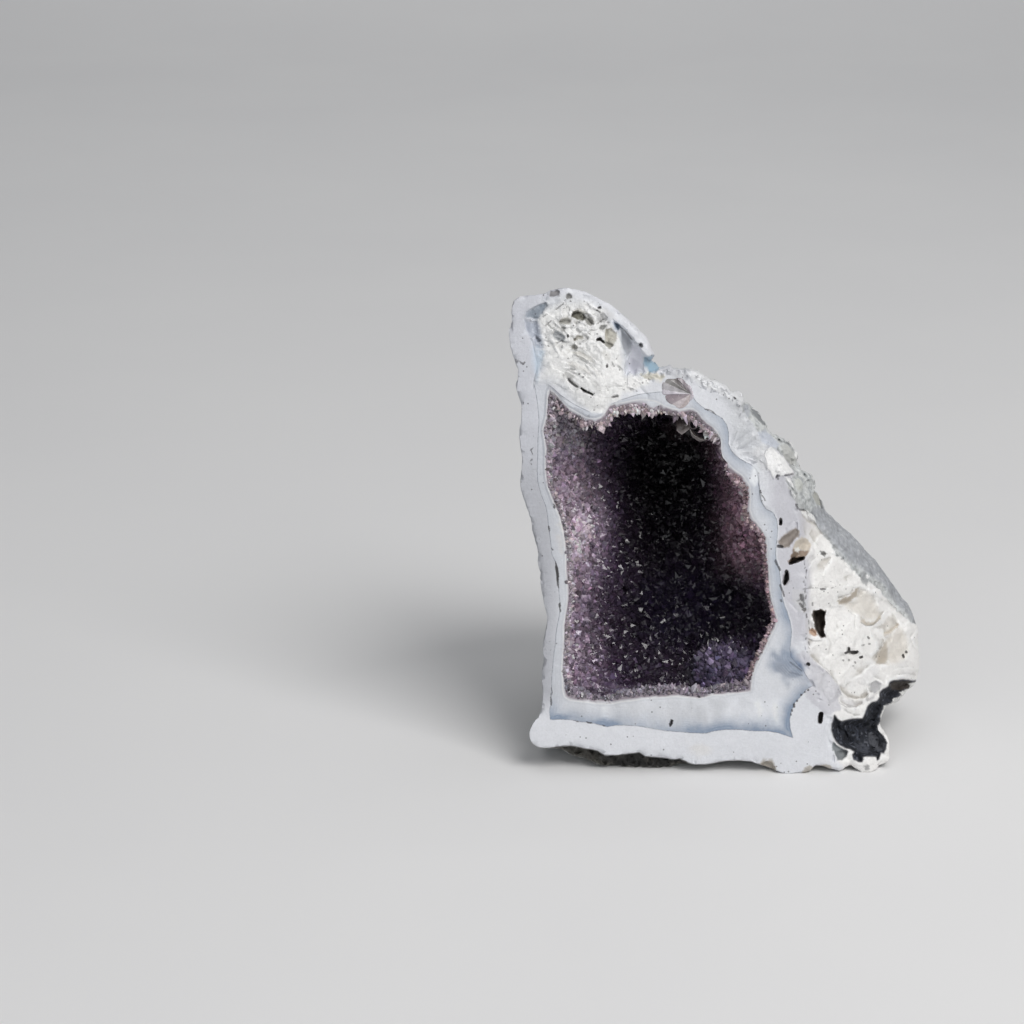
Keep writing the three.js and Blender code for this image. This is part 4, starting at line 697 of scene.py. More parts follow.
# what is dark because it goes deep
PIT = np.zeros_like(GA)
for shape, dark in (
        ([(18.63, 135.32), (19.65, 135.32), (21.01, 133.97), (22.70, 132.61), (22.70, 131.94), (21.69, 131.94), (20.33, 132.95), (19.31, 133.97)], 0.8), ([(23.04, 131.94), (23.72, 132.27), (24.74, 131.26), (26.09, 130.92), (27.79, 129.90), (27.45, 129.23), (25.76, 129.90), (24.06, 130.58)], 1.0),
        ([(28.43, 148.17), (29.78, 149.19), (30.80, 148.17), (31.48, 146.82), (30.12, 147.50)], 0.95), ([(28.75, 158.98), (29.76, 159.65), (30.44, 158.64), (29.42, 158.64)], 0.8), ([(75.57, 130.92), (76.24, 131.26), (76.93, 130.58), (76.93, 129.90), (76.25, 129.90)], 1.0),
        ([(94.25, 72.42), (95.26, 74.13), (96.96, 74.13), (99.00, 74.47), (99.35, 73.44), (96.97, 73.10), (95.27, 72.08)], 1.0), ([(93.59, 69.69), (93.93, 69.00), (93.95, 66.61), (92.94, 64.90), (92.25, 65.59), (92.58, 67.64)], 1.0),
        ([(91.10, 87.09), (91.77, 87.43), (91.78, 85.73), (90.77, 85.39)], 0.95), ([(90.13, 78.56), (91.49, 78.56), (92.51, 77.88), (91.84, 77.20), (90.47, 77.88)], 0.75), ([(104.77, 76.52), (106.13, 76.52), (107.16, 75.49), (106.14, 74.47), (105.12, 75.49)], 0.5),
        ([(96.72, 59.09), (98.08, 60.12), (98.07, 61.83), (99.09, 61.83), (99.44, 59.43), (99.46, 57.38), (98.44, 57.04), (98.09, 58.75)], 0.6), ([(98.44, 56.69), (100.14, 57.38), (100.49, 56.69), (99.47, 55.67)], 0.5),
        ([(101.84, 57.72), (102.17, 59.09), (102.85, 59.09), (102.52, 57.72)], 0.4), ([(113.55, 41.62), (114.22, 42.31), (114.22, 43.33), (115.24, 43.68), (115.25, 42.31), (116.95, 42.31), (117.98, 42.31), (117.98, 41.62), (116.28, 40.93), (114.57, 41.62)], 0.9),
        ([(118.34, 39.90), (119.01, 40.59), (119.70, 40.25), (119.36, 39.56)], 0.85), ([(121.00, 47.45), (121.69, 47.10), (122.03, 46.42), (121.35, 46.42)], 0.6), ([(121.36, 45.05), (122.38, 45.05), (122.05, 44.36)], 0.5), ([(118.98, 44.36), (120.34, 44.71), (120.35, 44.02), (119.33, 43.68)], 0.35),
        ([(114.24, 39.90), (115.27, 39.22), (114.94, 38.53), (114.25, 39.22)], 0.5), ([(116.64, 38.87), (117.32, 38.53), (117.33, 37.85), (116.65, 37.85)], 0.4), ([(132.99, 40.93), (133.67, 41.28), (133.68, 40.25), (133.00, 39.90)], 0.85),
        ([(134.00, 41.96), (134.68, 42.31), (134.69, 41.62), (134.01, 41.28)], 0.8), ([(104.52, 17.57), (104.50, 19.64), (105.17, 21.01), (105.85, 21.36), (106.20, 20.67), (105.87, 18.60), (105.20, 17.23)], 1.0), ([(100.28, 37.85), (100.95, 38.53), (101.64, 37.50), (101.30, 37.16)], 0.9),
        ([(53.62, 17.57), (54.30, 18.60), (54.65, 18.60), (54.65, 17.23), (53.97, 16.19)], 1.0), ([(13.93, 91.86), (14.61, 91.86), (14.95, 90.84), (14.27, 90.84)], 0.85), ([(89.64, 102.07), (90.32, 102.75), (91.00, 102.07), (90.66, 101.73), (89.98, 101.73), (89.99, 100.71), (89.31, 101.39)], 0.6),
        ([(92.36, 102.07), (93.37, 103.09), (95.41, 102.75), (95.41, 102.41), (93.71, 102.41), (92.70, 101.73)], 0.55), ([(96.16, 92.20), (96.83, 92.88), (97.18, 91.52), (97.87, 90.84), (99.23, 90.84), (98.89, 90.16), (97.19, 90.50)], 0.55),
        ([(42.65, 146.82), (43.66, 147.16), (44.34, 146.82), (43.67, 145.13)], 0.7), ([(19.96, 156.28), (20.63, 157.29), (21.65, 157.29), (20.97, 155.94)], 0.55), ([(24.70, 153.92), (26.05, 155.27), (27.40, 153.92), (27.07, 153.24), (25.71, 154.25)], 0.5),
        ([(7.45, 150.20), (8.46, 149.86), (8.80, 148.85), (9.82, 147.84), (8.80, 147.16), (8.12, 148.51)], 0.35), ([(19.97, 146.48), (20.99, 146.82), (22.00, 146.15), (21.67, 145.13), (20.31, 145.81)], 0.45), ([(14.89, 147.84), (15.91, 147.16), (16.92, 147.50), (16.59, 146.82), (15.57, 146.82)], 0.6)):
    s = window(shape, 1.0)
    d = polygon_distance(shape, GA[s], GB[s]) + 0.12 * RAG[s]
    PIT[s] = np.maximum(PIT[s], dark * smooth(-d, -0.22, 0.22))

RELIEF = RELIEF.astype(np.float32)
# relief left after blurring: the colour uses these for painted shade in hollows and creases and painted highlight on
# crests
blurred_relief = (RELIEF - blurred(RELIEF, 2.5)).astype(np.float32)
CREASE = (RELIEF - blurred(RELIEF, 0.45)).astype(np.float32)
DIP = (RELIEF - blurred(RELIEF, 1.5)).astype(np.float32)
FRONT_W = BASE_W + RELIEF
FRONT_W = np.where(D_OUT > 0, FRONT_W + 6.0 * D_OUT, FRONT_W).astype(np.float32)
gx, gy = np.gradient(FRONT_W, STEP)
FRONT_SLOPE = (1.0 / np.sqrt(1 + np.minimum(gx ** 2 + gy ** 2, 60.0))).astype(np.float32)

# ------------------------------------------------------------------ the solid as a field, positive outside
ANG = np.linspace(-math.pi, math.pi, 721)


def polar_table(poly, depths):
    """Outline radius from the heart for every angle, at the outline's own depth."""
    pts = np.asarray(poly, float)
    s = (depths - EYE[2]) / -EYE[2]
    pu, pv = EYE[0] + (pts[:, 0] - EYE[0]) * s, EYE[1] + (pts[:, 1] - EYE[1]) * s
    x, y = pu - HEART[0], pv - HEART[1]
    x2, y2 = np.roll(x, -1), np.roll(y, -1)
    out = np.zeros(len(ANG))
    for k, t in enumerate(ANG):
        dx, dy = math.cos(t), math.sin(t)
        ex, ey = x2 - x, y2 - y
        den = dx * ey - dy * ex
        den = np.where(np.abs(den) < 1e-9, 1e-9, den)
        q = (x * ey - y * ex) / den
        m = (x * dy - y * dx) / den
        ok = (q > 0) & (m >= 0) & (m <= 1)
        out[k] = q[ok].max() if ok.any() else 60.0
    return out


pts = np.asarray(OUTLINE, float)
R_OUT = polar_table(OUTLINE, outline_depth(pts[:, 0], pts[:, 1]))
u_, v_ = HEART[0] + R_OUT * np.cos(ANG), HEART[1] + R_OUT * np.sin(ANG)
W_RIM = outline_depth(*seen(u_, v_, 15.0))


def periodic_blur(t, width):
    k = np.exp(-0.5 * (np.arange(-3 * width, 3 * width + 1) / width) ** 2); k /= k.sum()
    core = t[:-1]
    padded = np.concatenate([core[-3 * width:], core, core[:3 * width]])
    out = np.convolve(padded, k, "valid")
    return np.append(out, out[0])


R_SHARP = periodic_blur(R_OUT, 1)
R_SOFT = periodic_blur(R_OUT, 9)
W_RIM = periodic_blur(W_RIM, 6)

SECT_ANG = np.linspace(0, 2 * math.pi, 361)
SECT_W = np.array([s[0] for s in SECTIONS])
SECT_C = np.array([s[1] for s in SECTIONS])


def section_table(s):
    w, centre, outline = s
    p = np.asarray(outline, float)
    k = (w - EYE[2]) / -EYE[2]
    x, y = EYE[0] + (p[:, 0] - EYE[0]) * k - centre[0], EYE[1] + (p[:, 1] - EYE[1]) * k - centre[1]
    x2, y2 = np.roll(x, -1), np.roll(y, -1)
    out = np.zeros(361)
    for i, t in enumerate(SECT_ANG):
        dx, dy = math.cos(t), math.sin(t)
        ex, ey = x2 - x, y2 - y
        den = dx * ey - dy * ex
        den = np.where(np.abs(den) < 1e-9, 1e-9, den)
        q = (x * ey - y * ex) / den
        m = (x * dy - y * dx) / den
        ok = (q > 0) & (m >= 0) & (m <= 1)
        out[i] = q[ok].max() if ok.any() else 5.0
    return out


SECT_R = np.array([section_table(s) for s in SECTIONS])
for i in range(1, len(SECT_R)):                     # soften the deeper sections
    t = SECT_R[i][:-1]; n = 2 + i
    SECT_R[i][:-1] = sum(np.roll(t, d) for d in range(-n, n + 1)) / (2 * n + 1); SECT_R[i][-1] = SECT_R[i][0]
DRUSE = 1.0                                          # the wall lies this much behind the mean crystal surface


def lining(a, b):
    """How thick the crystal lining is where the face cuts it, mm: top, bottom, right, left shares too."""
    top = smooth(b, 104.1, 117.7) * smooth(a, 13.6, 17.0) * smooth(-a, -71.4, -66.7)
    bottom = smooth(-b, -34.1, -28.9)
    right = smooth(a, 68.0, 74.2) * (1 - bottom)
    left = np.clip(1 - top - bottom - right, 0, 1)
    spark = blob(a, b, (78.8, 96.6), (7.47, 14.27), 0) > 0
    vary = 1 + 0.34 * noise(a, b, a * 0, 5.0, 81.0) + 0.30 * noise(a, b, a * 0, 2.0, 82.0)
    return (3.6 * top + 3.2 * bottom + (1.1 + 1.5 * spark) * right + 0.6 * left) * vary, top, bottom, right, left


def pocket_field(u, v, w):
    """Positive inside the pocket's air."""
    wc = np.clip(w, 0, SECT_W[-1] - 1e-3)
    k = np.clip(np.searchsorted(SECT_W, wc, side="right") - 1, 0, len(SECT_W) - 2)
    t = (wc - SECT_W[k]) / (SECT_W[k + 1] - SECT_W[k])
    cu = SECT_C[k, 0] * (1 - t) + SECT_C[k + 1, 0] * t
    cv = SECT_C[k, 1] * (1 - t) + SECT_C[k + 1, 1] * t
    x, y = u - cu, v - cv
    r = np.hypot(x, y)
    q = (np.arctan2(y, x) % (2 * math.pi)) / (2 * math.pi) * 360
    q0 = np.clip(q.astype(np.int32), 0, 359); f = q - q0
    R = (SECT_R[k, q0] * (1 - f) + SECT_R[k, q0 + 1] * f) * (1 - t) + (SECT_R[k + 1, q0] * (1 - f) + SECT_R[k + 1, q0 + 1] * f) * t
    deep = smooth(w, 1.0, 7.0)
    lump = 2.0 * noise(u, v, w, 15.0, 3.0) + 1.3 * noise(u, v, w, 7.5, 4.0) + 0.55 * noise(u, v, w, 3.6, 5.0)
    thick = lining(*seen(u, v, w))[0]
    shelf = smooth(w, 0.30, 0.75) * (1 - smooth(w, 2.2, 6.0))
    R = R + deep * (DRUSE + lump) - shelf * (thick * (0.80 + 0.22 * noise(u, v, w, 2.4, 51.0)) - 0.35)
    over = np.clip((w - SECT_W[-1] + 6.0) / 12.0, 0, 1)
    R = R * np.sqrt(1 - over ** 2)
    out = (R - r) * np.where(over > 0, np.sqrt(1.001 - over ** 2), 1.0) * 0.9
    # mounds of druse left standing
    for (mu, mv, mw), (su, sv, sw) in (((80.0, 31.0, 17.0), (17.0, 14.0, 12.0)), ((89.0, 90.0, 22.0), (9.0, 16.0, 14.0))):
        d = np.sqrt(((u - mu) / su) ** 2 + ((v - mv) / sv) ** 2 + ((w - mw) / sw) ** 2)
        d = (d - 1) * min(su, sv, sw) + 0.5 * lump
        h = np.clip(0.5 - 0.5 * (d - out) / 2.5, 0, 1)
        out = out * (1 - h) + d * h - 2.5 * h * (1 - h)
    return out.astype(np.float32)


def back_field(u, v, w, detail=True):
    x, y = u - HEART[0], v - HEART[1]
    r = np.hypot(x, y)
    t = (np.arctan2(y, x) + math.pi) / (2 * math.pi) * 720
    i = np.clip(t.astype(np.int32), 0, 719); f = t - i
    sharp = R_SHARP[i] * (1 - f) + R_SHARP[i + 1] * f
    soft = R_SOFT[i] * (1 - f) + R_SOFT[i + 1] * f
    rim = W_RIM[i] * (1 - f) + W_RIM[i + 1] * f
    past = w - rim
    R0 = sharp + (soft - sharp) * smooth(past, 0, 14)
    t = np.clip(past / (TOTAL_DEPTH - rim), 0, 1)
    low = np.clip(-y / (r + 1e-6), 0, 1)
    core = np.minimum(R0, 80.0)
    full = 2.1 + 3.6 * low ** 2
    body = core * np.power(np.clip(1 - np.power(t, full), 0, 1), 1 / (2 + 0.8 * low))
    knob = np.clip(1 - (np.maximum(w, 0) / 46.0) ** 2, 0, 1)
    R = body + (R0 - core) * np.where(low > 0, 1 - t, knob)
    out = r - R
    if detail:
        # the roughness fades where the radius closes over the far end
        amp = smooth(past, 0.5, 7.0) * smooth(R, 2.0, 15.0)
        out = out - amp * (1.5 * noise(u, v, w, 17.0, 1.0) + 0.95 * noise(u, v, w, 8.0, 2.0) + 0.55 * noise(u, v, w, 3.4, 6.0)
                           + 0.35 * noise(u, v, w, 1.5, 7.0) + 1.1 * np.abs(noise(u, v, w, 10.0, 18.0)) + 0.6 * np.abs(noise(u, v, w, 4.5, 19.0)) - 1.1)
        flank = smooth(-x / (r + 1e-6), 0.1, 0.5) * smooth(w, 0.5, 4)
        out = out + flank * 0.5 * np.abs(noise(u, v, w, 5.0, 9.0))
    slope = 1.0 / np.sqrt(1 + np.clip(t, 0, 0.999) ** 4 * 3.0 / (1.02 - t))
    return np.maximum(out * slope, w - TOTAL_DEPTH).astype(np.float32)


def soft_max(a, b, k):
    h = np.clip(0.5 + 0.5 * (a - b) / k, 0, 1)
    return b + (a - b) * h + k * h * (1 - h)


def parts_of_field(u, v, w):
    a, b = seen(u, v, w)
    behind = w - look(FRONT_W, a, b)
    front = -behind * look(FRONT_SLOPE, a, b)
    # the broken outline belongs to the front edge; further in the side is plain and draws in a little
    t = smooth(behind, 0.8, 3.5)
    edge = look(D_OUT, a, b) * (1 - t) + (look(D_PLAIN, a, b) + 0.45 + 0.10 * np.clip(behind - 1.0, 0, 12)) * t
    front = np.maximum(front, np.minimum(edge, 4.0) * 0.9)
    back = back_field(u, v, w)
    base = -(v * CL - w * SL) + 0.0
    # the wall is at least 3 mm thick everywhere
    pocket = np.minimum(pocket_field(u, v, w), -back - 3.0)
    return front, back, base, pocket


def solid_field(u, v, w):
    front, back, base, pocket = parts_of_field(u, v, w)
    hull = soft_max(front, back, 0.25)
    hull = np.maximum(hull, base)
    return np.maximum(hull, pocket)

# ------------------------------------------------------------------ surface from the field
GRID = 0.43
COARSE = 5
NU, NV, NW = 352, 402, 218
ORIGIN = (-2.6, -2.4, -2.4)


def sample_field():
    axes = [np.arange(n * 1, dtype=np.float32) * GRID + o for n, o in zip((NU, NV, NW), ORIGIN)]
    cu, cv, cw = (a[::COARSE] for a in axes)
    U, V, W = np.meshgrid(cu, cv, cw, indexing="ij")
    C = solid_field(U.ravel(), V.ravel(), W.ravel()).reshape(U.shape)
    corner = [C[i:C.shape[0] - 1 + i, j:C.shape[1] - 1 + j, k:C.shape[2] - 1 + k] for i in (0, 1) for j in (0, 1) for k in (0, 1)]
    lo = np.minimum.reduce(corner); hi = np.maximum.reduce(corner)
    near = (lo < 2.7) & (hi > -2.7)
    F = np.where(C > 0, 9.0, -9.0).astype(np.float32)
    F = np.repeat(np.repeat(np.repeat(F, COARSE, 0), COARSE, 1), COARSE, 2)[:NU, :NV, :NW].copy()
    ci, cj, ck = np.nonzero(near)
    off = np.stack(np.meshgrid(range(COARSE), range(COARSE), range(COARSE), indexing="ij"), -1).reshape(-1, 3)
    I = (ci[:, None] * COARSE + off[:, 0]).ravel(); J = (cj[:, None] * COARSE + off[:, 1]).ravel(); K = (ck[:, None] * COARSE + off[:, 2]).ravel()
    ok = (I < NU) & (J < NV) & (K < NW)
    I, J, K = I[ok], J[ok], K[ok]
    for s in range(0, len(I), 400000):
        e = slice(s, s + 400000)
        F[I[e], J[e], K[e]] = solid_field(axes[0][I[e]], axes[1][J[e]], axes[2][K[e]])
    F[0] = F[-1] = 9; F[:, 0] = F[:, -1] = 9; F[:, :, 0] = F[:, :, -1] = 9
    print("field points", len(I))
    return F


def surface_nets(F):
    s = F < 0
    n = np.zeros(tuple(d - 1 for d in F.shape), np.uint8)
    for i in (0, 1):
        for j in (0, 1):
            for k in (0, 1):
                n += s[i:F.shape[0] - 1 + i, j:F.shape[1] - 1 + j, k:F.shape[2] - 1 + k]
    ai, aj, ak = np.nonzero((n > 0) & (n < 8))
    ids = np.full(n.shape, -1, np.int32)
    ids[ai, aj, ak] = np.arange(len(ai))
    pos = np.zeros((len(ai), 3)); cnt = np.zeros(len(ai))
    corners = [(i, j, k) for i in (0, 1) for j in (0, 1) for k in (0, 1)]
    val = {c: F[ai + c[0], aj + c[1], ak + c[2]] for c in corners}
    for p in corners:
        for ax in range(3):
            if p[ax]:
                continue
            q = tuple(p[m] + (m == ax) for m in range(3))
            fp, fq = val[p], val[q]
            x = (fp < 0) != (fq < 0)
            t = np.where(x, fp / np.where(x, fp - fq, 1), 0)
            for m in range(3):
                pos[:, m] += np.where(x, p[m] + (t if m == ax else 0), 0)
            cnt += x
    pos = pos / cnt[:, None] + np.stack([ai, aj, ak], 1)
    pos = pos * GRID + np.array(ORIGIN)
    quads = []
    for ax in range(3):
        a = [slice(None)] * 3; b = [slice(None)] * 3
        a[ax] = slice(0, -1); b[ax] = slice(1, None)
        sa, sb = s[tuple(a)], s[tuple(b)]
        o1, o2 = [(1, 2), (2, 0), (0, 1)][ax]
        e = np.stack(np.nonzero(sa != sb), 1)
        e = e[(e[:, o1] > 0) & (e[:, o2] > 0) & (e[:, o1] < F.shape[o1] - 1) & (e[:, o2] < F.shape[o2] - 1)]
        inside_first = sa[e[:, 0], e[:, 1], e[:, 2]]
        def cell(d1, d2):
            c = e.copy(); c[:, o1] -= d1; c[:, o2] -= d2
            return ids[c[:, 0], c[:, 1], c[:, 2]]
        q = np.stack([cell(1, 1), cell(0, 1), cell(0, 0), cell(1, 0)], 1)
        q[~inside_first] = q[~inside_first][:, ::-1]
        quads.append(q)
    return pos, np.concatenate(quads)


def make_mesh(name, verts, faces, smooth_shade=True):
    mesh = bpy.data.meshes.new(name)
    k = faces.shape[1]
    mesh.vertices.add(len(verts)); mesh.vertices.foreach_set("co", np.ascontiguousarray(verts, np.float32).ravel())
    mesh.loops.add(faces.size); mesh.loops.foreach_set("vertex_index", np.ascontiguousarray(faces, np.int32).ravel())
    mesh.polygons.add(len(faces)); mesh.polygons.foreach_set("loop_start", np.arange(0, faces.size, k, dtype=np.int32))
    mesh.polygons.foreach_set("use_smooth", np.full(len(faces), smooth_shade, bool))
    mesh.update(calc_edges=True)
    return mesh


def add_attribute(mesh, name, values, kind="FLOAT"):
    att = mesh.attributes.new(name, kind, "POINT")
    if kind == "FLOAT":
        att.data.foreach_set("value", np.ascontiguousarray(values, np.float32))
    else:
        rgba = np.ones((len(values), 4), np.float32); rgba[:, :values.shape[1]] = values
        att.data.foreach_set("color", rgba.ravel())


def thinned(verts, quads, keep, ratio, factor):
    """Collapse edges where keep is low until ratio of the triangles is left."""
    tris = np.concatenate([quads[:, [0, 1, 2]], quads[:, [0, 2, 3]]])
    mesh = make_mesh("work", verts, tris)
    obj = bpy.data.objects.new("work", mesh)
    bpy.context.scene.collection.objects.link(obj)
    group = obj.vertex_groups.new(name="thin")
    level = np.round((1 - keep) * 10).astype(int)
    for q in range(1, 11):
        members = np.nonzero(level == q)[0].tolist()
        if members:
            group.add(members, q / 10, "REPLACE")
    mod = obj.modifiers.new("thin", "DECIMATE")
    mod.ratio = ratio; mod.vertex_group = "thin"; mod.vertex_group_factor = factor
    done = obj.evaluated_get(bpy.context.evaluated_depsgraph_get())
    m = done.to_mesh()
    co = np.zeros(len(m.vertices) * 3, np.float32); m.vertices.foreach_get("co", co)
    m.calc_loop_triangles()
    tr = np.zeros(len(m.loop_triangles) * 3, np.int32); m.loop_triangles.foreach_get("vertices", tr)
    done.to_mesh_clear()
    bpy.data.objects.remove(obj); bpy.data.meshes.remove(mesh)
    return co.reshape(-1, 3).astype(float), tr.reshape(-1, 3)


def signed_volume(p, t):
    a, b, c = p[t[:, 0]], p[t[:, 1]], p[t[:, 2]]
    return float(np.einsum("ij,ij->i", a, np.cross(b, c)).sum() / 6)


import time
T0 = time.time()
FIELD = sample_field()
print("field", round(time.time() - T0, 1))
verts, quads = surface_nets(FIELD)
print("nets", round(time.time() - T0, 1), len(verts), len(quads))
front, back, base, pocket = parts_of_field(verts[:, 0], verts[:, 1], verts[:, 2])
kind = np.argmax(np.stack([front, back, base, pocket]), 0)
# put what belongs to the front exactly on its map, moving along the line of sight
sa, sb = seen(verts[:, 0], verts[:, 1], verts[:, 2])
lead = front - np.maximum(np.maximum(back, base), pocket)
inside_out = look(D_OUT, sa, sb)
share = smooth(lead, 0.25, 0.7) * smooth(-inside_out, 0.15, 0.5)
move = np.clip(look(FRONT_W, sa, sb) - verts[:, 2], -1.0, 1.0) * share
new_w = verts[:, 2] + move
scale = (new_w - EYE[2]) / (verts[:, 2] - EYE[2])
verts = np.stack([EYE[0] + (verts[:, 0] - EYE[0]) * scale, EYE[1] + (verts[:, 1] - EYE[1]) * scale, new_w], 1)
keep = np.choose(kind, [1.0, 0.30, 0.0, 0.15]).astype(float)
keep[(kind == 3) & (verts[:, 2] < 5)] = 0.75
keep[(kind == 1) & (verts[:, 2] < 10)] = 0.55
keep[(kind == 2) & (verts[:, 2] < 6)] = 0.5
keep[(kind == 0) & (sa < 89.5) & (look(M_KNOB, sa, sb) < 0.3)] = 0.9
target = 196000 / (2 * len(quads))
verts, tris = thinned(verts, quads, keep, target, 1.0)
print("thinned", round(time.time() - T0, 1), len(verts), len(tris))
rows = to_row(verts[:, 0], verts[:, 1], verts[:, 2])
if signed_volume(rows, tris) < 0:
    tris = tris[:, ::-1].copy()

# ------------------------------------------------------------------ colours of what shows
def tint(r, g, b):
    """Display colour, 0 to 255, to linear."""
    c = np.array([r, g, b], np.float64) / 255
    return np.where(c <= 0.04045, c / 12.92, ((c + 0.055) / 1.055) ** 2.4)


def stain(rgb, mask, colour, amount=1.0):
    """Mix a colour in where mask says."""
    m = np.clip(mask * amount, 0, 1)[..., None]
    return rgb * (1 - m) + np.asarray(colour) * m


def shown(r, g, b, k=1.18):
    """Albedo for stone that should come out about this colour in the studio light."""
    return np.minimum(tint(r, g, b) * k, 0.93)


C_WHITE = tint(226, 228, 233)
C_STRIP = tint(206, 208, 215)
C_KNOB = tint(237, 237, 236)
C_BRIGHT = tint(246, 245, 243)
C_CREAM = tint(228, 223, 213)
C_RIND = tint(210, 213, 213)
C_SLOPE = tint(165, 168, 173)
C_UNDER_SHADED = tint(50, 48, 44)
C_HOLLOW = tint(44, 48, 59)

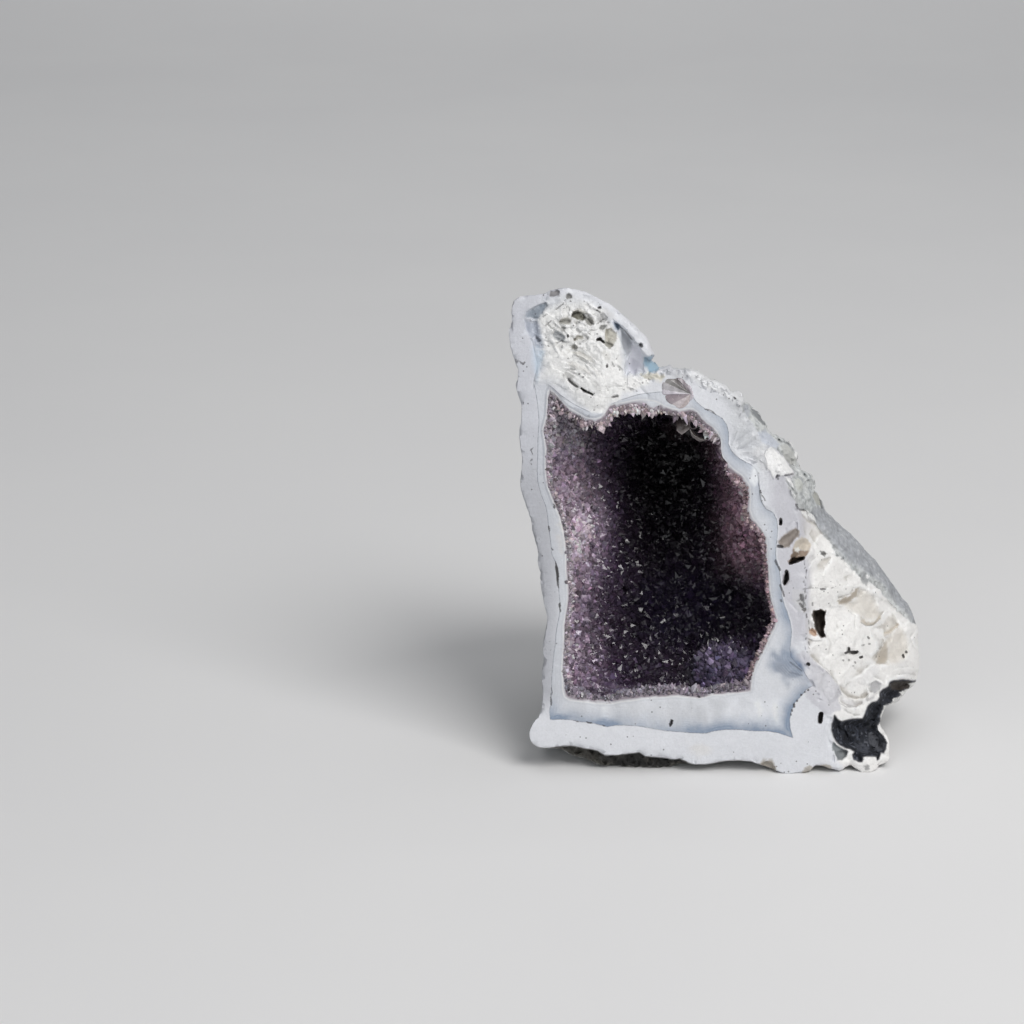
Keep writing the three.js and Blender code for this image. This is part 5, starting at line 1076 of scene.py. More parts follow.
PATCHES = (
    # the knob: cloudy blue-grey windows, little grey facets, and painted shadow in its small carved hollows
    ([(4.40, 155.60), (4.74, 157.63), (6.09, 158.64), (7.10, 158.98), (8.79, 159.99), (9.81, 160.33), (11.50, 161.00), (12.17, 159.65), (10.82, 158.30), (10.49, 156.95), (9.13, 155.60), (7.78, 154.93), (6.43, 155.60), (5.41, 155.27)], (131, 140, 151), 0.95, 0.8),
    ([(4.40, 154.93), (5.75, 155.27), (6.77, 154.25), (7.78, 154.59), (8.46, 154.93), (9.47, 152.90), (9.81, 150.54), (10.49, 147.84), (10.83, 145.47), (9.14, 144.79), (7.45, 146.15), (6.43, 148.17), (5.41, 150.54), (4.40, 152.56)], (158, 165, 178), 0.85, 1.1),
    ([(6.77, 146.15), (8.80, 146.15), (11.17, 144.46), (10.50, 141.41), (9.48, 137.35), (8.47, 133.29), (7.45, 137.35), (7.11, 142.43)], (180, 194, 208), 0.85, 1.6),
    ([(12.51, 163.36), (13.18, 164.71), (14.87, 165.05), (16.23, 164.71), (15.89, 163.36), (14.20, 162.69), (12.85, 162.69)], (120, 118, 120), 0.95, 0.3),
    ([(18.26, 162.35), (18.26, 163.70), (19.27, 164.04), (20.29, 163.36), (20.29, 162.35), (19.27, 162.01)], (130, 130, 128), 0.9, 0.3),
    ([(9.13, 160.66), (10.48, 162.01), (12.17, 162.69), (12.51, 161.34), (10.82, 160.66)], (168, 172, 178), 0.7, 0.4),
    # painted shadow in the little hollows near the top of the knob
    ([(19.96, 156.28), (20.63, 157.63), (21.98, 157.97), (23.34, 157.63), (24.35, 156.95), (25.03, 155.60), (24.02, 154.59), (22.33, 154.93), (20.97, 155.60)], (112, 110, 98), 0.95, 0.3),
    ([(20.63, 157.97), (22.32, 158.98), (24.35, 158.30), (25.71, 156.95), (24.35, 156.95), (22.66, 157.63)], (182, 180, 172), 0.7, 0.4),
    ([(24.36, 155.60), (25.71, 156.62), (27.40, 155.60), (28.08, 153.92), (26.73, 152.90), (25.37, 153.58)], (152, 151, 146), 0.9, 0.3),
    ([(15.56, 153.92), (16.91, 155.60), (18.94, 155.94), (20.30, 154.93), (19.62, 153.24), (17.26, 153.24)], (168, 166, 160), 0.9, 0.3),
    ([(15.90, 151.55), (16.58, 152.90), (18.27, 152.56), (18.27, 151.21), (16.92, 150.88)], (160, 160, 158), 0.8, 0.3),
    ([(13.54, 150.54), (14.89, 151.55), (16.58, 151.21), (18.27, 149.86), (17.60, 147.50), (15.57, 147.84), (14.21, 148.85)], (160, 163, 166), 0.9, 0.3),
    ([(20.65, 148.51), (22.00, 149.86), (24.03, 149.86), (24.37, 148.51), (22.34, 148.17), (20.99, 147.50)], (160, 157, 148), 0.9, 0.3),
    ([(19.63, 146.15), (20.99, 146.82), (22.34, 146.15), (22.01, 144.79), (20.31, 145.13)], (138, 136, 130), 0.9, 0.3),
    ([(28.42, 154.93), (28.75, 156.95), (31.12, 157.63), (32.81, 155.94), (31.80, 154.25), (29.77, 153.92)], (192, 192, 192), 0.85, 0.35),
    ([(29.44, 151.89), (29.77, 152.90), (31.13, 153.58), (32.14, 152.90), (31.13, 151.55)], (140, 140, 138), 0.9, 0.25),
    ([(31.47, 151.89), (33.50, 152.23), (35.19, 150.54), (35.54, 148.17), (34.19, 146.15), (32.50, 146.15), (31.48, 148.17)], (186, 183, 173), 0.95, 0.3),
    ([(30.80, 147.84), (32.83, 147.84), (34.53, 146.48), (33.51, 145.13), (31.82, 145.81)], (144, 142, 134), 0.9, 0.3),
    ([(19.97, 144.12), (23.02, 144.46), (26.41, 142.76), (28.45, 140.06), (25.74, 141.07), (22.35, 142.09)], (196, 194, 188), 0.7, 0.5),
    ([(18.29, 140.74), (21.33, 140.74), (25.06, 138.71), (27.10, 136.00), (23.71, 137.35), (20.32, 138.71)], (200, 198, 194), 0.6, 0.5),
    ([(16.26, 136.00), (18.29, 137.35), (20.66, 136.67), (22.02, 134.98), (19.99, 134.98), (18.29, 135.32)], (178, 178, 176), 0.8, 0.3),
    ([(26.42, 135.32), (28.80, 133.97), (30.84, 131.26), (29.14, 130.92), (27.11, 132.95)], (198, 198, 196), 0.6, 0.5),
    ([(29.79, 144.12), (31.82, 144.79), (33.52, 142.76), (33.19, 140.74), (31.49, 141.41)], (200, 199, 195), 0.6, 0.4),
    # the glassy recess
    ([(34.17, 154.25), (35.86, 153.92), (36.54, 152.90), (35.87, 151.55), (35.19, 151.55), (34.51, 152.90)], (134, 150, 166), 0.9, 0.5),
    ([(36.88, 151.89), (38.24, 150.88), (39.94, 148.85), (40.62, 147.16), (40.29, 144.12), (39.28, 143.10), (37.92, 144.46), (36.89, 148.17)], (160, 163, 169), 1.0, 0.25),
    ([(37.90, 150.54), (39.60, 148.51), (40.28, 146.48), (39.61, 144.79), (38.93, 147.16)], (138, 142, 150), 0.7, 0.4),
    ([(40.28, 147.16), (42.31, 146.15), (44.01, 144.12), (44.36, 140.74), (44.71, 137.35), (42.34, 138.03), (41.33, 136.67), (39.29, 137.69), (38.95, 139.38), (39.61, 142.76), (40.29, 144.12)], (206, 207, 214), 1.0, 0.5),
    ([(40.63, 142.76), (42.67, 141.41), (43.69, 137.35), (40.31, 137.01), (39.62, 139.38)], (160, 160, 171), 0.6, 0.5),
    ([(44.69, 142.76), (46.73, 141.41), (48.43, 140.74), (50.80, 139.04), (48.44, 137.35), (46.40, 137.35), (44.70, 140.06)], (150, 174, 190), 1.0, 0.25),
    ([(42.65, 146.82), (43.66, 147.16), (44.34, 146.82), (43.67, 145.13)], (120, 126, 134), 0.9, 0.25),
    ([(45.03, 142.43), (46.39, 142.76), (48.08, 143.44), (47.41, 141.75), (46.05, 141.07)], (165, 180, 192), 0.9, 0.25),
    ([(43.36, 136.34), (46.07, 137.01), (49.12, 136.67), (51.83, 136.00), (50.82, 134.31), (47.43, 134.98), (45.06, 134.98)], (208, 203, 186), 0.75, 0.3),
    # upper right
    ([(81.02, 125.16), (83.06, 124.14), (85.11, 121.43), (86.83, 118.38), (85.12, 119.39), (83.08, 121.43), (81.37, 123.46)], (130, 133, 135), 1.0, 0.25),
    ([(77.97, 126.18), (80.00, 126.51), (80.69, 124.14), (80.70, 122.11), (79.34, 122.45), (78.65, 124.14)], (172, 175, 182), 0.8, 0.3),
    ([(83.10, 117.02), (85.47, 117.70), (88.20, 115.66), (90.93, 112.94), (89.92, 111.25), (86.86, 112.26), (84.14, 114.30)], (188, 193, 203), 0.9, 0.5),
    ([(90.94, 112.26), (92.96, 113.28), (95.01, 111.25), (96.73, 108.53), (96.75, 105.81), (94.37, 105.81), (92.32, 108.53)], (182, 183, 180), 0.8, 0.5),
    ([(96.10, 101.05), (97.45, 101.73), (98.83, 99.35), (98.51, 96.63), (96.81, 96.97), (95.77, 99.01)], (196, 198, 192), 0.7, 0.5),
    ([(92.70, 101.39), (94.74, 101.39), (96.12, 98.67), (97.84, 94.58), (99.90, 91.18), (97.87, 91.18), (95.81, 93.90), (93.74, 97.99)], (176, 178, 178), 0.8, 0.4),
    ([(102.58, 96.97), (103.61, 96.29), (104.64, 94.24), (105.00, 91.86), (103.64, 92.20), (102.26, 94.92)], (164, 164, 157), 0.8, 0.3),
    # the flank, with painted shade under the lips of the scoops
    ([(91.15, 78.22), (90.46, 79.93), (91.81, 81.63), (94.18, 83.00), (96.21, 84.70), (97.92, 83.68), (97.59, 81.29), (95.90, 79.93), (94.55, 78.22), (92.86, 77.54)], (143, 135, 129), 1.0, 0.4),
    ([(96.24, 79.93), (98.61, 81.29), (100.66, 80.61), (101.69, 78.56), (101.37, 76.52), (99.33, 76.52), (96.94, 77.20), (95.58, 77.20)], (196, 188, 176), 1.0, 0.4),
    ([(95.58, 77.20), (97.62, 76.86), (99.33, 76.52), (101.36, 76.86), (100.36, 75.15), (99.01, 73.79), (96.97, 73.44), (94.59, 72.42), (93.91, 72.76), (94.92, 74.81)], (138, 122, 108), 1.0, 0.4),
    ([(96.26, 77.54), (97.28, 77.88), (97.96, 76.86), (97.29, 76.18), (96.26, 76.52)], (236, 232, 225), 0.9, 0.3),
    ([(93.59, 70.03), (94.61, 69.35), (94.63, 66.27), (93.28, 64.56), (91.91, 65.59), (92.24, 67.98)], (120, 112, 112), 0.6, 0.5),
    ([(104.77, 76.52), (106.13, 76.52), (107.16, 75.49), (106.14, 74.47), (105.12, 75.49)], (135, 135, 133), 0.9, 0.25),
    ([(96.72, 59.09), (97.74, 60.12), (97.73, 61.83), (99.43, 62.17), (99.79, 59.43), (99.80, 57.04), (98.44, 56.69), (97.75, 58.41)], (140, 140, 138), 0.9, 0.3),
    ([(98.44, 56.69), (100.14, 57.38), (100.83, 56.69), (99.47, 55.32)], (150, 148, 144), 0.9, 0.3),
    ([(95.33, 63.19), (98.05, 63.88), (100.10, 62.51), (100.14, 57.72), (98.79, 54.98), (96.74, 56.35), (95.36, 59.77)], (196, 196, 198), 0.6, 0.6),
    # painted shade under the upper lip of the first scoop
    ([(110.68, 59.43), (112.72, 60.46), (115.10, 61.14), (116.11, 62.51), (116.78, 63.88), (117.80, 63.88), (117.48, 61.14), (115.45, 59.43), (113.08, 58.41), (111.38, 58.06)], (164, 153, 138), 0.9, 0.6),
    ([(112.73, 58.41), (115.79, 59.09), (117.82, 61.48), (119.17, 63.19), (121.21, 62.51), (122.93, 61.14), (124.66, 57.72), (125.37, 54.98), (123.34, 52.59), (120.62, 52.59), (117.19, 54.98), (114.45, 56.35)], (216, 212, 205), 0.85, 1.6),
    # painted shadow cast by the lower lip of the first scoop
    ([(118.90, 53.96), (120.62, 52.59), (123.01, 52.24), (125.37, 54.64), (125.72, 53.27), (123.35, 51.22), (120.63, 50.87), (118.58, 52.24)], (196, 188, 176), 0.8, 0.5),
    # painted shade on the shaded left side of the second scoop
    ([(124.15, 37.85), (124.47, 40.93), (125.81, 43.68), (127.15, 45.73), (128.17, 46.08), (128.20, 42.65), (127.90, 37.85)], (178, 169, 156), 0.9, 0.9),
    ([(126.81, 45.73), (129.51, 48.48), (131.88, 50.87), (133.59, 49.50), (134.99, 46.08), (135.37, 41.96), (133.69, 38.87), (130.63, 37.85), (128.24, 37.85), (128.20, 42.65)], (212, 207, 199), 0.8, 1.6),
    # painted shadow under the upper lip of the second scoop
    ([(126.45, 48.48), (128.14, 49.85), (130.17, 50.87), (131.86, 52.24), (131.88, 50.87), (130.19, 49.16), (128.16, 47.79), (126.80, 47.10)], (206, 198, 186), 0.7, 0.5),
    ([(102.53, 56.01), (104.91, 56.69), (106.96, 56.01), (106.64, 53.61), (106.99, 51.90), (106.33, 49.50), (107.03, 47.10), (105.33, 46.76), (103.95, 48.48), (103.26, 50.19), (102.90, 52.24), (102.21, 54.30)], (96, 88, 82), 1.0, 0.25),
    ([(103.22, 55.67), (104.24, 55.67), (104.26, 52.24), (104.63, 49.16), (105.66, 47.45), (104.29, 48.48), (103.25, 51.22)], (54, 48, 46), 0.9, 0.3),
    ([(101.22, 49.50), (102.23, 50.19), (103.60, 49.50), (104.30, 47.79), (102.94, 47.10), (101.57, 48.13)], (190, 164, 144), 0.95, 0.35),
    ([(99.56, 42.65), (102.31, 39.90), (105.05, 37.50), (107.80, 35.44), (110.56, 31.67), (111.94, 29.61), (112.64, 27.54), (111.28, 26.17), (112.68, 22.39), (109.95, 21.01), (107.23, 19.98), (104.48, 22.73), (101.05, 25.48), (98.28, 30.29), (97.22, 35.79), (96.84, 40.93)], (190, 190, 196), 0.85, 0.6),
    ([(111.27, 27.54), (114.01, 25.83), (118.12, 25.14), (121.86, 26.51), (124.23, 28.23), (123.57, 25.83), (120.17, 24.11), (115.40, 22.73), (111.97, 24.79)], (206, 205, 206), 0.6, 0.7),
    ([(121.82, 30.98), (123.86, 32.35), (126.26, 31.32), (125.59, 28.92), (123.55, 27.89), (121.84, 29.26)], (160, 160, 163), 0.8, 0.5),
    ([(112.83, 46.08), (115.91, 44.71), (118.65, 42.65), (119.37, 39.22), (115.97, 37.85), (112.53, 40.59)], (226, 224, 222), 0.5, 0.8),
    ([(97.22, 36.47), (100.28, 37.85), (102.34, 35.10), (100.31, 33.04), (97.92, 33.73)], (222, 222, 224), 0.4, 0.5),
    # chalky crust along the upper edge
    ([(60.28, 139.38), (63.00, 138.03), (65.72, 136.00), (68.77, 134.98), (72.17, 133.29), (74.55, 131.60), (76.24, 131.60), (78.28, 130.24), (79.31, 127.53), (77.97, 126.18), (75.93, 127.19), (73.55, 128.21), (71.17, 129.56), (68.45, 130.92), (65.06, 132.61), (62.34, 134.31), (60.30, 135.32)], (216, 217, 219), 0.9, 0.35),
    ([(80.49, 100.03), (80.80, 103.77), (82.15, 106.15), (83.84, 106.49), (84.54, 104.11), (83.88, 101.05), (82.53, 98.67)], (222, 225, 228), 0.85, 0.4),
    ([(81.45, 110.23), (83.13, 112.26), (85.16, 113.28), (86.19, 111.59), (85.87, 108.87), (86.91, 104.79), (85.56, 102.75), (83.51, 105.47), (81.80, 107.51)], (206, 207, 209), 0.8, 0.8),
    # the grey slope
    ([(118.44, 69.00), (120.47, 69.69), (121.51, 67.30), (120.86, 64.56), (118.81, 65.59)], (150, 152, 154), 0.8, 0.5),
    ([(120.14, 68.32), (121.16, 68.66), (121.85, 67.64), (120.84, 66.95)], (235, 235, 234), 1.0, 0.25),
    ([(98.21, 90.16), (100.59, 90.16), (102.30, 88.79), (103.33, 87.09), (103.34, 86.07), (101.98, 86.41), (99.93, 87.77), (98.56, 89.13)], (228, 228, 227), 0.9, 0.35),
    ([(93.04, 101.73), (94.40, 101.39), (95.43, 99.69), (95.78, 97.65), (94.76, 98.33), (93.73, 100.03)], (230, 231, 231), 0.9, 0.3),
    ([(94.43, 97.31), (95.79, 96.29), (96.83, 94.24), (95.81, 94.24), (94.78, 95.95)], (224, 225, 225), 0.9, 0.3),
    ([(92.28, 114.64), (93.98, 114.30), (95.69, 112.26), (97.06, 109.89), (96.73, 107.85), (96.05, 108.87), (95.69, 111.25), (93.98, 113.28)], (228, 228, 228), 0.9, 0.3),
    ([(85.86, 110.57), (86.87, 111.59), (87.88, 111.93), (89.25, 110.91), (90.95, 109.55), (92.32, 108.19), (93.35, 106.49), (94.38, 105.13), (95.40, 103.77), (95.41, 103.09), (94.05, 102.75), (92.36, 102.41), (91.34, 102.07), (90.32, 102.75), (89.64, 102.07), (88.97, 100.71), (88.29, 101.73), (87.59, 103.77), (86.57, 104.79), (86.22, 107.17), (85.53, 108.87)], (236, 237, 238), 1.0, 0.2),
    # the hollow
    ([(109.68, 11.72), (110.72, 10.00), (112.78, 8.96), (114.84, 7.93), (114.17, 5.86), (112.81, 4.83), (111.45, 4.83), (110.06, 7.24), (109.36, 9.31)], (122, 127, 130), 0.95, 0.35),
    ([(128.65, 30.98), (131.37, 32.01), (135.12, 32.01), (137.18, 30.98), (135.15, 29.26), (132.08, 28.57), (129.69, 28.92)], (62, 56, 51), 0.94, 0.5),
    ([(135.47, 30.98), (137.17, 31.67), (138.19, 32.01), (137.53, 29.95), (136.17, 29.26)], (225, 225, 223), 1.0, 0.25),
    ([(132.43, 28.23), (134.13, 28.92), (135.49, 29.26), (134.82, 27.54), (133.12, 26.51)], (214, 214, 212), 1.0, 0.25),
    ([(129.72, 25.83), (131.42, 26.51), (133.12, 26.51), (132.11, 25.14), (130.42, 24.11)], (214, 214, 212), 1.0, 0.25),
    ([(127.69, 23.76), (129.05, 24.11), (128.72, 22.73), (127.70, 22.39)], (200, 200, 200), 1.0, 0.25),
    ([(127.01, 23.42), (128.03, 23.42), (127.37, 21.01), (127.06, 17.92), (126.05, 16.19), (125.36, 16.54), (126.02, 19.29), (126.34, 21.70)], (214, 214, 212), 1.0, 0.2),
    ([(121.62, 14.13), (124.35, 14.82), (127.79, 11.72), (127.82, 8.62), (125.44, 7.59), (123.03, 8.96), (121.65, 11.37)], (84, 86, 92), 0.8, 0.5),
    ([(116.87, 10.34), (119.60, 11.03), (122.01, 9.31), (121.68, 6.90), (118.26, 7.59)], (74, 77, 86), 0.7, 0.5),
    ([(120.35, 2.76), (122.06, 3.10), (122.75, 1.72), (121.05, 1.38)], (150, 150, 150), 0.9, 0.3),
    # low edge
    ([(84.80, 1.03), (85.13, 3.79), (86.83, 4.83), (88.89, 4.48), (90.26, 2.76), (90.28, 0.69)], (150, 142, 130), 0.9, 0.3),
    ([(99.17, 0.34), (99.84, 2.41), (101.89, 3.10), (103.94, 2.07), (103.62, -0.00)], (160, 154, 144), 0.85, 0.3),
    ([(104.64, 1.03), (104.97, 2.76), (107.35, 3.45), (109.75, 2.41), (108.74, 0.69)], (160, 154, 144), 0.85, 0.3),
    # warm and cool tinges in the outer layer
    ([(16.32, 85.73), (18.36, 86.41), (19.72, 85.04), (18.70, 83.00), (16.66, 83.34)], (206, 200, 186), 0.6, 0.4),
    ([(14.96, 81.98), (17.00, 82.32), (18.03, 78.22), (17.35, 74.81), (15.65, 76.18)], (196, 188, 178), 0.45, 0.5),
)

# dark flecks, cracks and dashes, and painted shade in the deepest little holes and slots: ends, half width, darkness
MARKS = (
    (12.58, 85.39, 12.75, 83.00, 0.37, 0.85), (13.60, 78.56, 13.78, 76.86, 0.34, 0.80), (14.63, 73.10, 14.77, 72.08, 0.37, 0.80),
    (15.14, 71.05, 15.49, 68.32, 0.51, 0.95), (15.49, 67.98, 15.66, 65.59, 0.44, 0.95), (15.66, 64.90, 15.76, 63.88, 0.34, 0.75),
    (16.11, 59.09, 16.35, 57.04, 0.41, 0.85), (16.69, 56.35, 16.69, 55.32, 0.34, 0.75), (13.65, 29.61, 13.48, 26.86, 0.37, 0.75),
    (13.31, 25.83, 13.49, 23.76, 0.34, 0.70), (14.44, 92.03, 14.44, 91.18, 0.44, 0.85), (16.49, 86.07, 16.49, 85.73, 0.34, 0.70),
    (2.03, 158.98, 2.03, 158.64, 0.31, 0.60), (0.68, 152.23, 0.68, 151.89, 0.27, 0.60), (3.05, 147.84, 4.40, 146.48, 0.19, 0.50),
    (4.40, 143.78, 4.40, 143.44, 0.27, 0.60), (5.42, 127.19, 5.42, 126.85, 0.27, 0.50), (6.10, 122.11, 6.10, 121.09, 0.27, 0.55),
    (5.43, 117.02, 5.43, 116.68, 0.27, 0.60), (6.45, 111.25, 6.45, 110.57, 0.27, 0.65), (6.45, 106.15, 6.45, 105.47, 0.27, 0.65),
    (6.45, 97.99, 6.45, 96.97, 0.34, 0.70), (7.99, 83.68, 7.99, 83.34, 0.31, 0.60), (10.71, 79.59, 10.71, 79.25, 0.27, 0.60),
    (11.22, 76.86, 11.23, 76.52, 0.27, 0.60), (12.59, 66.61, 12.59, 66.27, 0.27, 0.60), (13.29, 56.01, 13.29, 55.67, 0.27, 0.60),
    (19.81, 18.16, 21.52, 18.05, 0.37, 0.80), (22.20, 18.05, 23.91, 17.92, 0.31, 0.70), (24.59, 17.81, 27.32, 17.67, 0.37, 0.80),
    (28.18, 17.23, 29.38, 16.71, 0.34, 0.75), (30.40, 16.71, 31.94, 16.33, 0.34, 0.75), (54.65, 18.60, 54.65, 17.57, 0.48, 0.95),
    (54.14, 16.37, 53.73, 17.23, 0.31, 0.80), (61.63, 23.08, 61.63, 22.73, 0.31, 0.55), (12.30, 13.79, 12.30, 13.44, 0.31, 0.35),
    (18.45, 13.79, 18.45, 13.58, 0.31, 0.35), (25.97, 13.79, 25.97, 13.58, 0.31, 0.30), (101.02, 28.92, 101.16, 28.92, 0.37, 0.80),
    (100.00, 28.23, 100.10, 28.23, 0.34, 0.75), (98.64, 27.20, 98.81, 27.34, 0.37, 0.80), (97.29, 25.14, 97.36, 25.28, 0.37, 0.80),
    (96.28, 24.11, 96.28, 23.08, 0.37, 0.85), (95.61, 22.04, 95.61, 21.70, 0.34, 0.75), (95.27, 20.67, 95.28, 20.32, 0.31, 0.70),
    (94.81, 38.53, 98.93, 35.44, 0.27, 0.45), (89.48, 73.44, 90.17, 71.74, 0.37, 0.75), (90.69, 71.05, 91.20, 70.03, 0.37, 0.75),
    (91.24, 64.90, 91.93, 63.19, 0.34, 0.75), (92.27, 62.51, 92.62, 61.14, 0.34, 0.70), (65.43, 124.82, 67.47, 124.14, 0.31, 0.70),
    (68.32, 123.63, 69.85, 122.79, 0.34, 0.75), (70.53, 122.45, 71.55, 121.60, 0.31, 0.65), (84.24, 97.31, 84.93, 95.60, 0.37, 0.80),
    (85.27, 94.92, 85.79, 93.90, 0.34, 0.75), (86.30, 93.22, 87.16, 91.86, 0.37, 0.80), (87.67, 91.18, 88.36, 89.99, 0.34, 0.75),
    (91.61, 59.77, 91.71, 59.43, 0.41, 0.60), (14.54, 158.30, 17.58, 160.66, 0.24, 0.60), (11.50, 153.24, 13.19, 154.59, 0.24, 0.60),
    (10.49, 155.94, 11.84, 156.95, 0.27, 0.50), (25.71, 155.27, 27.07, 153.58, 0.24, 0.65), (28.76, 153.58, 31.12, 155.27, 0.20, 0.50),
    (15.23, 147.16, 16.58, 147.84, 0.24, 0.60), (16.93, 146.48, 16.93, 145.47, 0.20, 0.50), (18.95, 149.69, 18.95, 149.36, 0.41, 0.90),
    (29.43, 157.80, 29.76, 157.63, 0.31, 0.65), (22.99, 163.53, 23.16, 163.36, 0.31, 0.65), (24.35, 161.34, 24.52, 161.24, 0.27, 0.50),
    (32.17, 139.55, 32.17, 139.21, 0.44, 0.90), (33.86, 140.74, 34.54, 139.38, 0.24, 0.55), (35.22, 141.75, 35.35, 141.75, 0.27, 0.60),
    (31.83, 143.10, 31.96, 143.10, 0.27, 0.60), (22.70, 136.67, 22.83, 136.67, 0.34, 0.75), (24.05, 135.66, 24.19, 135.66, 0.34, 0.70),
    (27.80, 124.48, 27.97, 124.48, 0.27, 0.60), (33.89, 128.78, 35.92, 129.06, 0.31, 0.65), (37.96, 129.56, 38.13, 129.56, 0.27, 0.55),
    (42.02, 130.92, 42.36, 130.85, 0.24, 0.50), (69.49, 127.19, 69.83, 127.02, 0.31, 0.60), (75.62, 121.43, 75.79, 121.09, 0.31, 0.60),
    (75.41, 128.72, 75.58, 128.34, 0.44, 0.90), (104.64, 94.24, 105.34, 91.18, 0.31, 0.60), (99.08, 63.54, 102.82, 63.88, 0.20, 0.45),
    (105.20, 63.47, 106.57, 63.54, 0.37, 0.75), (94.59, 72.22, 96.97, 73.00, 0.51, 1.00), (96.97, 73.00, 99.17, 74.13, 0.61, 1.00),
    (93.42, 69.52, 93.71, 66.95, 0.65, 1.00), (93.61, 66.95, 92.77, 65.25, 0.54, 1.00), (91.33, 87.26, 91.34, 85.73, 0.58, 0.95),
    (90.47, 78.05, 91.83, 78.05, 0.51, 0.70), (105.29, 75.49, 106.48, 75.66, 0.37, 0.60), (98.24, 61.48, 98.59, 59.77, 0.41, 0.60),
    (98.09, 58.58, 98.95, 57.38, 0.41, 0.65), (98.95, 56.42, 99.97, 56.83, 0.34, 0.55), (102.28, 58.75, 102.38, 57.89, 0.27, 0.50),
    (113.72, 41.62, 114.91, 42.13, 0.41, 0.90), (114.83, 43.33, 114.91, 42.13, 0.41, 0.90), (115.25, 42.03, 117.81, 42.13, 0.37, 0.90),
    (115.94, 41.62, 117.47, 41.62, 0.37, 0.85), (118.68, 40.08, 119.36, 40.32, 0.44, 0.90), (121.28, 47.10, 121.69, 46.59, 0.31, 0.70),
    (121.64, 44.77, 122.05, 44.77, 0.31, 0.60), (119.32, 44.26, 120.17, 44.36, 0.27, 0.40), (112.89, 39.22, 113.09, 39.08, 0.31, 0.55),
    (114.93, 39.22, 115.14, 39.08, 0.31, 0.55), (116.98, 38.53, 117.12, 38.19, 0.31, 0.50), (116.31, 37.16, 116.45, 37.16, 0.31, 0.45),
    (133.33, 40.93, 133.54, 40.25, 0.41, 0.90), (134.34, 42.03, 134.55, 41.83, 0.41, 0.85), (100.82, 37.85, 101.23, 37.71, 0.58, 0.95),
    (105.52, 20.74, 105.33, 18.09, 0.75, 1.00), (19.14, 134.71, 20.50, 133.46, 0.37, 0.60), (20.60, 133.29, 22.02, 132.41, 0.34, 0.55),
    (23.55, 131.77, 25.08, 130.92, 0.34, 0.90), (25.59, 130.58, 27.28, 129.80, 0.27, 0.75), (28.94, 148.31, 29.95, 148.58, 0.54, 0.95),
    (29.95, 148.44, 31.00, 147.43, 0.41, 0.90), (29.25, 159.11, 29.96, 159.25, 0.37, 0.75), (20.46, 156.62, 21.31, 157.09, 0.34, 0.55),
    (8.29, 149.19, 9.48, 147.97, 0.44, 0.45), (43.50, 146.65, 44.01, 145.98, 0.51, 0.70), (36.54, 152.56, 38.58, 150.71, 0.27, 0.60),
    (38.58, 150.71, 40.61, 148.34, 0.27, 0.60), (89.98, 102.24, 90.33, 101.05, 0.37, 0.60), (92.70, 102.21, 95.41, 102.78, 0.31, 0.55),
    (96.50, 92.37, 97.02, 91.01, 0.37, 0.60), (97.70, 90.57, 99.06, 90.50, 0.31, 0.55), (53.56, 126.68, 55.93, 125.73, 0.20, 0.35),
    (12.03, 131.26, 14.57, 129.46, 0.17, 0.32), (14.57, 129.46, 16.95, 126.85, 0.17, 0.32), (16.95, 126.85, 19.66, 124.48, 0.17, 0.35),
    (19.66, 124.48, 23.06, 122.79, 0.17, 0.35), (23.06, 122.79, 26.45, 121.77, 0.17, 0.32), (12.20, 132.78, 15.25, 130.92, 0.15, 0.22),
    (15.25, 130.92, 17.62, 128.38, 0.15, 0.22), (17.62, 128.38, 20.34, 126.01, 0.15, 0.25), (20.34, 126.01, 23.73, 124.31, 0.15, 0.25),
    (23.73, 124.31, 26.45, 123.29, 0.15, 0.22), (79.09, 106.83, 80.12, 104.11, 0.17, 0.35), (74.99, 111.93, 77.71, 110.23, 0.17, 0.35),
    (73.28, 113.96, 74.99, 111.93, 0.17, 0.30), (94.50, 35.10, 98.94, 33.90, 0.27, 0.25), (111.26, 29.26, 112.47, 27.20, 0.20, 0.30),
    (107.12, 35.44, 109.87, 32.70, 0.17, 0.25), (111.63, 24.62, 114.04, 23.08, 0.20, 0.30), (114.04, 23.08, 117.79, 23.08, 0.20, 0.28),
    (118.92, 52.07, 120.63, 50.94, 0.20, 0.35), (120.63, 50.94, 123.01, 51.15, 0.20, 0.35), (123.01, 51.15, 125.38, 53.34, 0.20, 0.30),
    (126.81, 45.39, 125.47, 42.99, 0.20, 0.30), (99.39, 72.42, 99.52, 71.79, 0.15, 0.66), (99.89, 70.97, 99.51, 70.63, 0.20, 0.48),
    (100.33, 70.12, 100.02, 69.38, 0.17, 0.70), (99.76, 67.91, 100.15, 67.00, 0.14, 0.79), (99.39, 66.27, 99.23, 65.83, 0.26, 0.52),
    (99.74, 64.77, 99.79, 63.80, 0.15, 0.47), (99.83, 63.15, 99.69, 62.13, 0.23, 0.63), (100.21, 61.39, 100.01, 60.24, 0.22, 0.66),
    (99.67, 58.84, 100.07, 57.77, 0.15, 0.62), (99.96, 56.51, 99.59, 56.07, 0.24, 0.76), (100.24, 55.01, 100.41, 53.77, 0.23, 0.68),
    (101.12, 52.85, 101.11, 51.65, 0.24, 0.47), (101.20, 50.45, 101.47, 49.47, 0.18, 0.60), (100.49, 48.30, 100.22, 48.00, 0.15, 0.47),
    (100.21, 46.72, 100.12, 46.30, 0.27, 0.48), (101.09, 45.38, 101.35, 44.51, 0.27, 0.56), (101.10, 43.63, 101.48, 42.96, 0.16, 0.52),
    (100.57, 42.28, 100.64, 41.75, 0.18, 0.45), (100.10, 63.71, 102.14, 64.15, 0.17, 0.45), (103.16, 64.01, 104.52, 63.67, 0.17, 0.45),
    (105.89, 63.47, 106.90, 63.81, 0.17, 0.45), (108.61, 63.74, 110.30, 64.36, 0.17, 0.45), (3.80, 140.05, 4.18, 140.55, 0.40, 0.71),
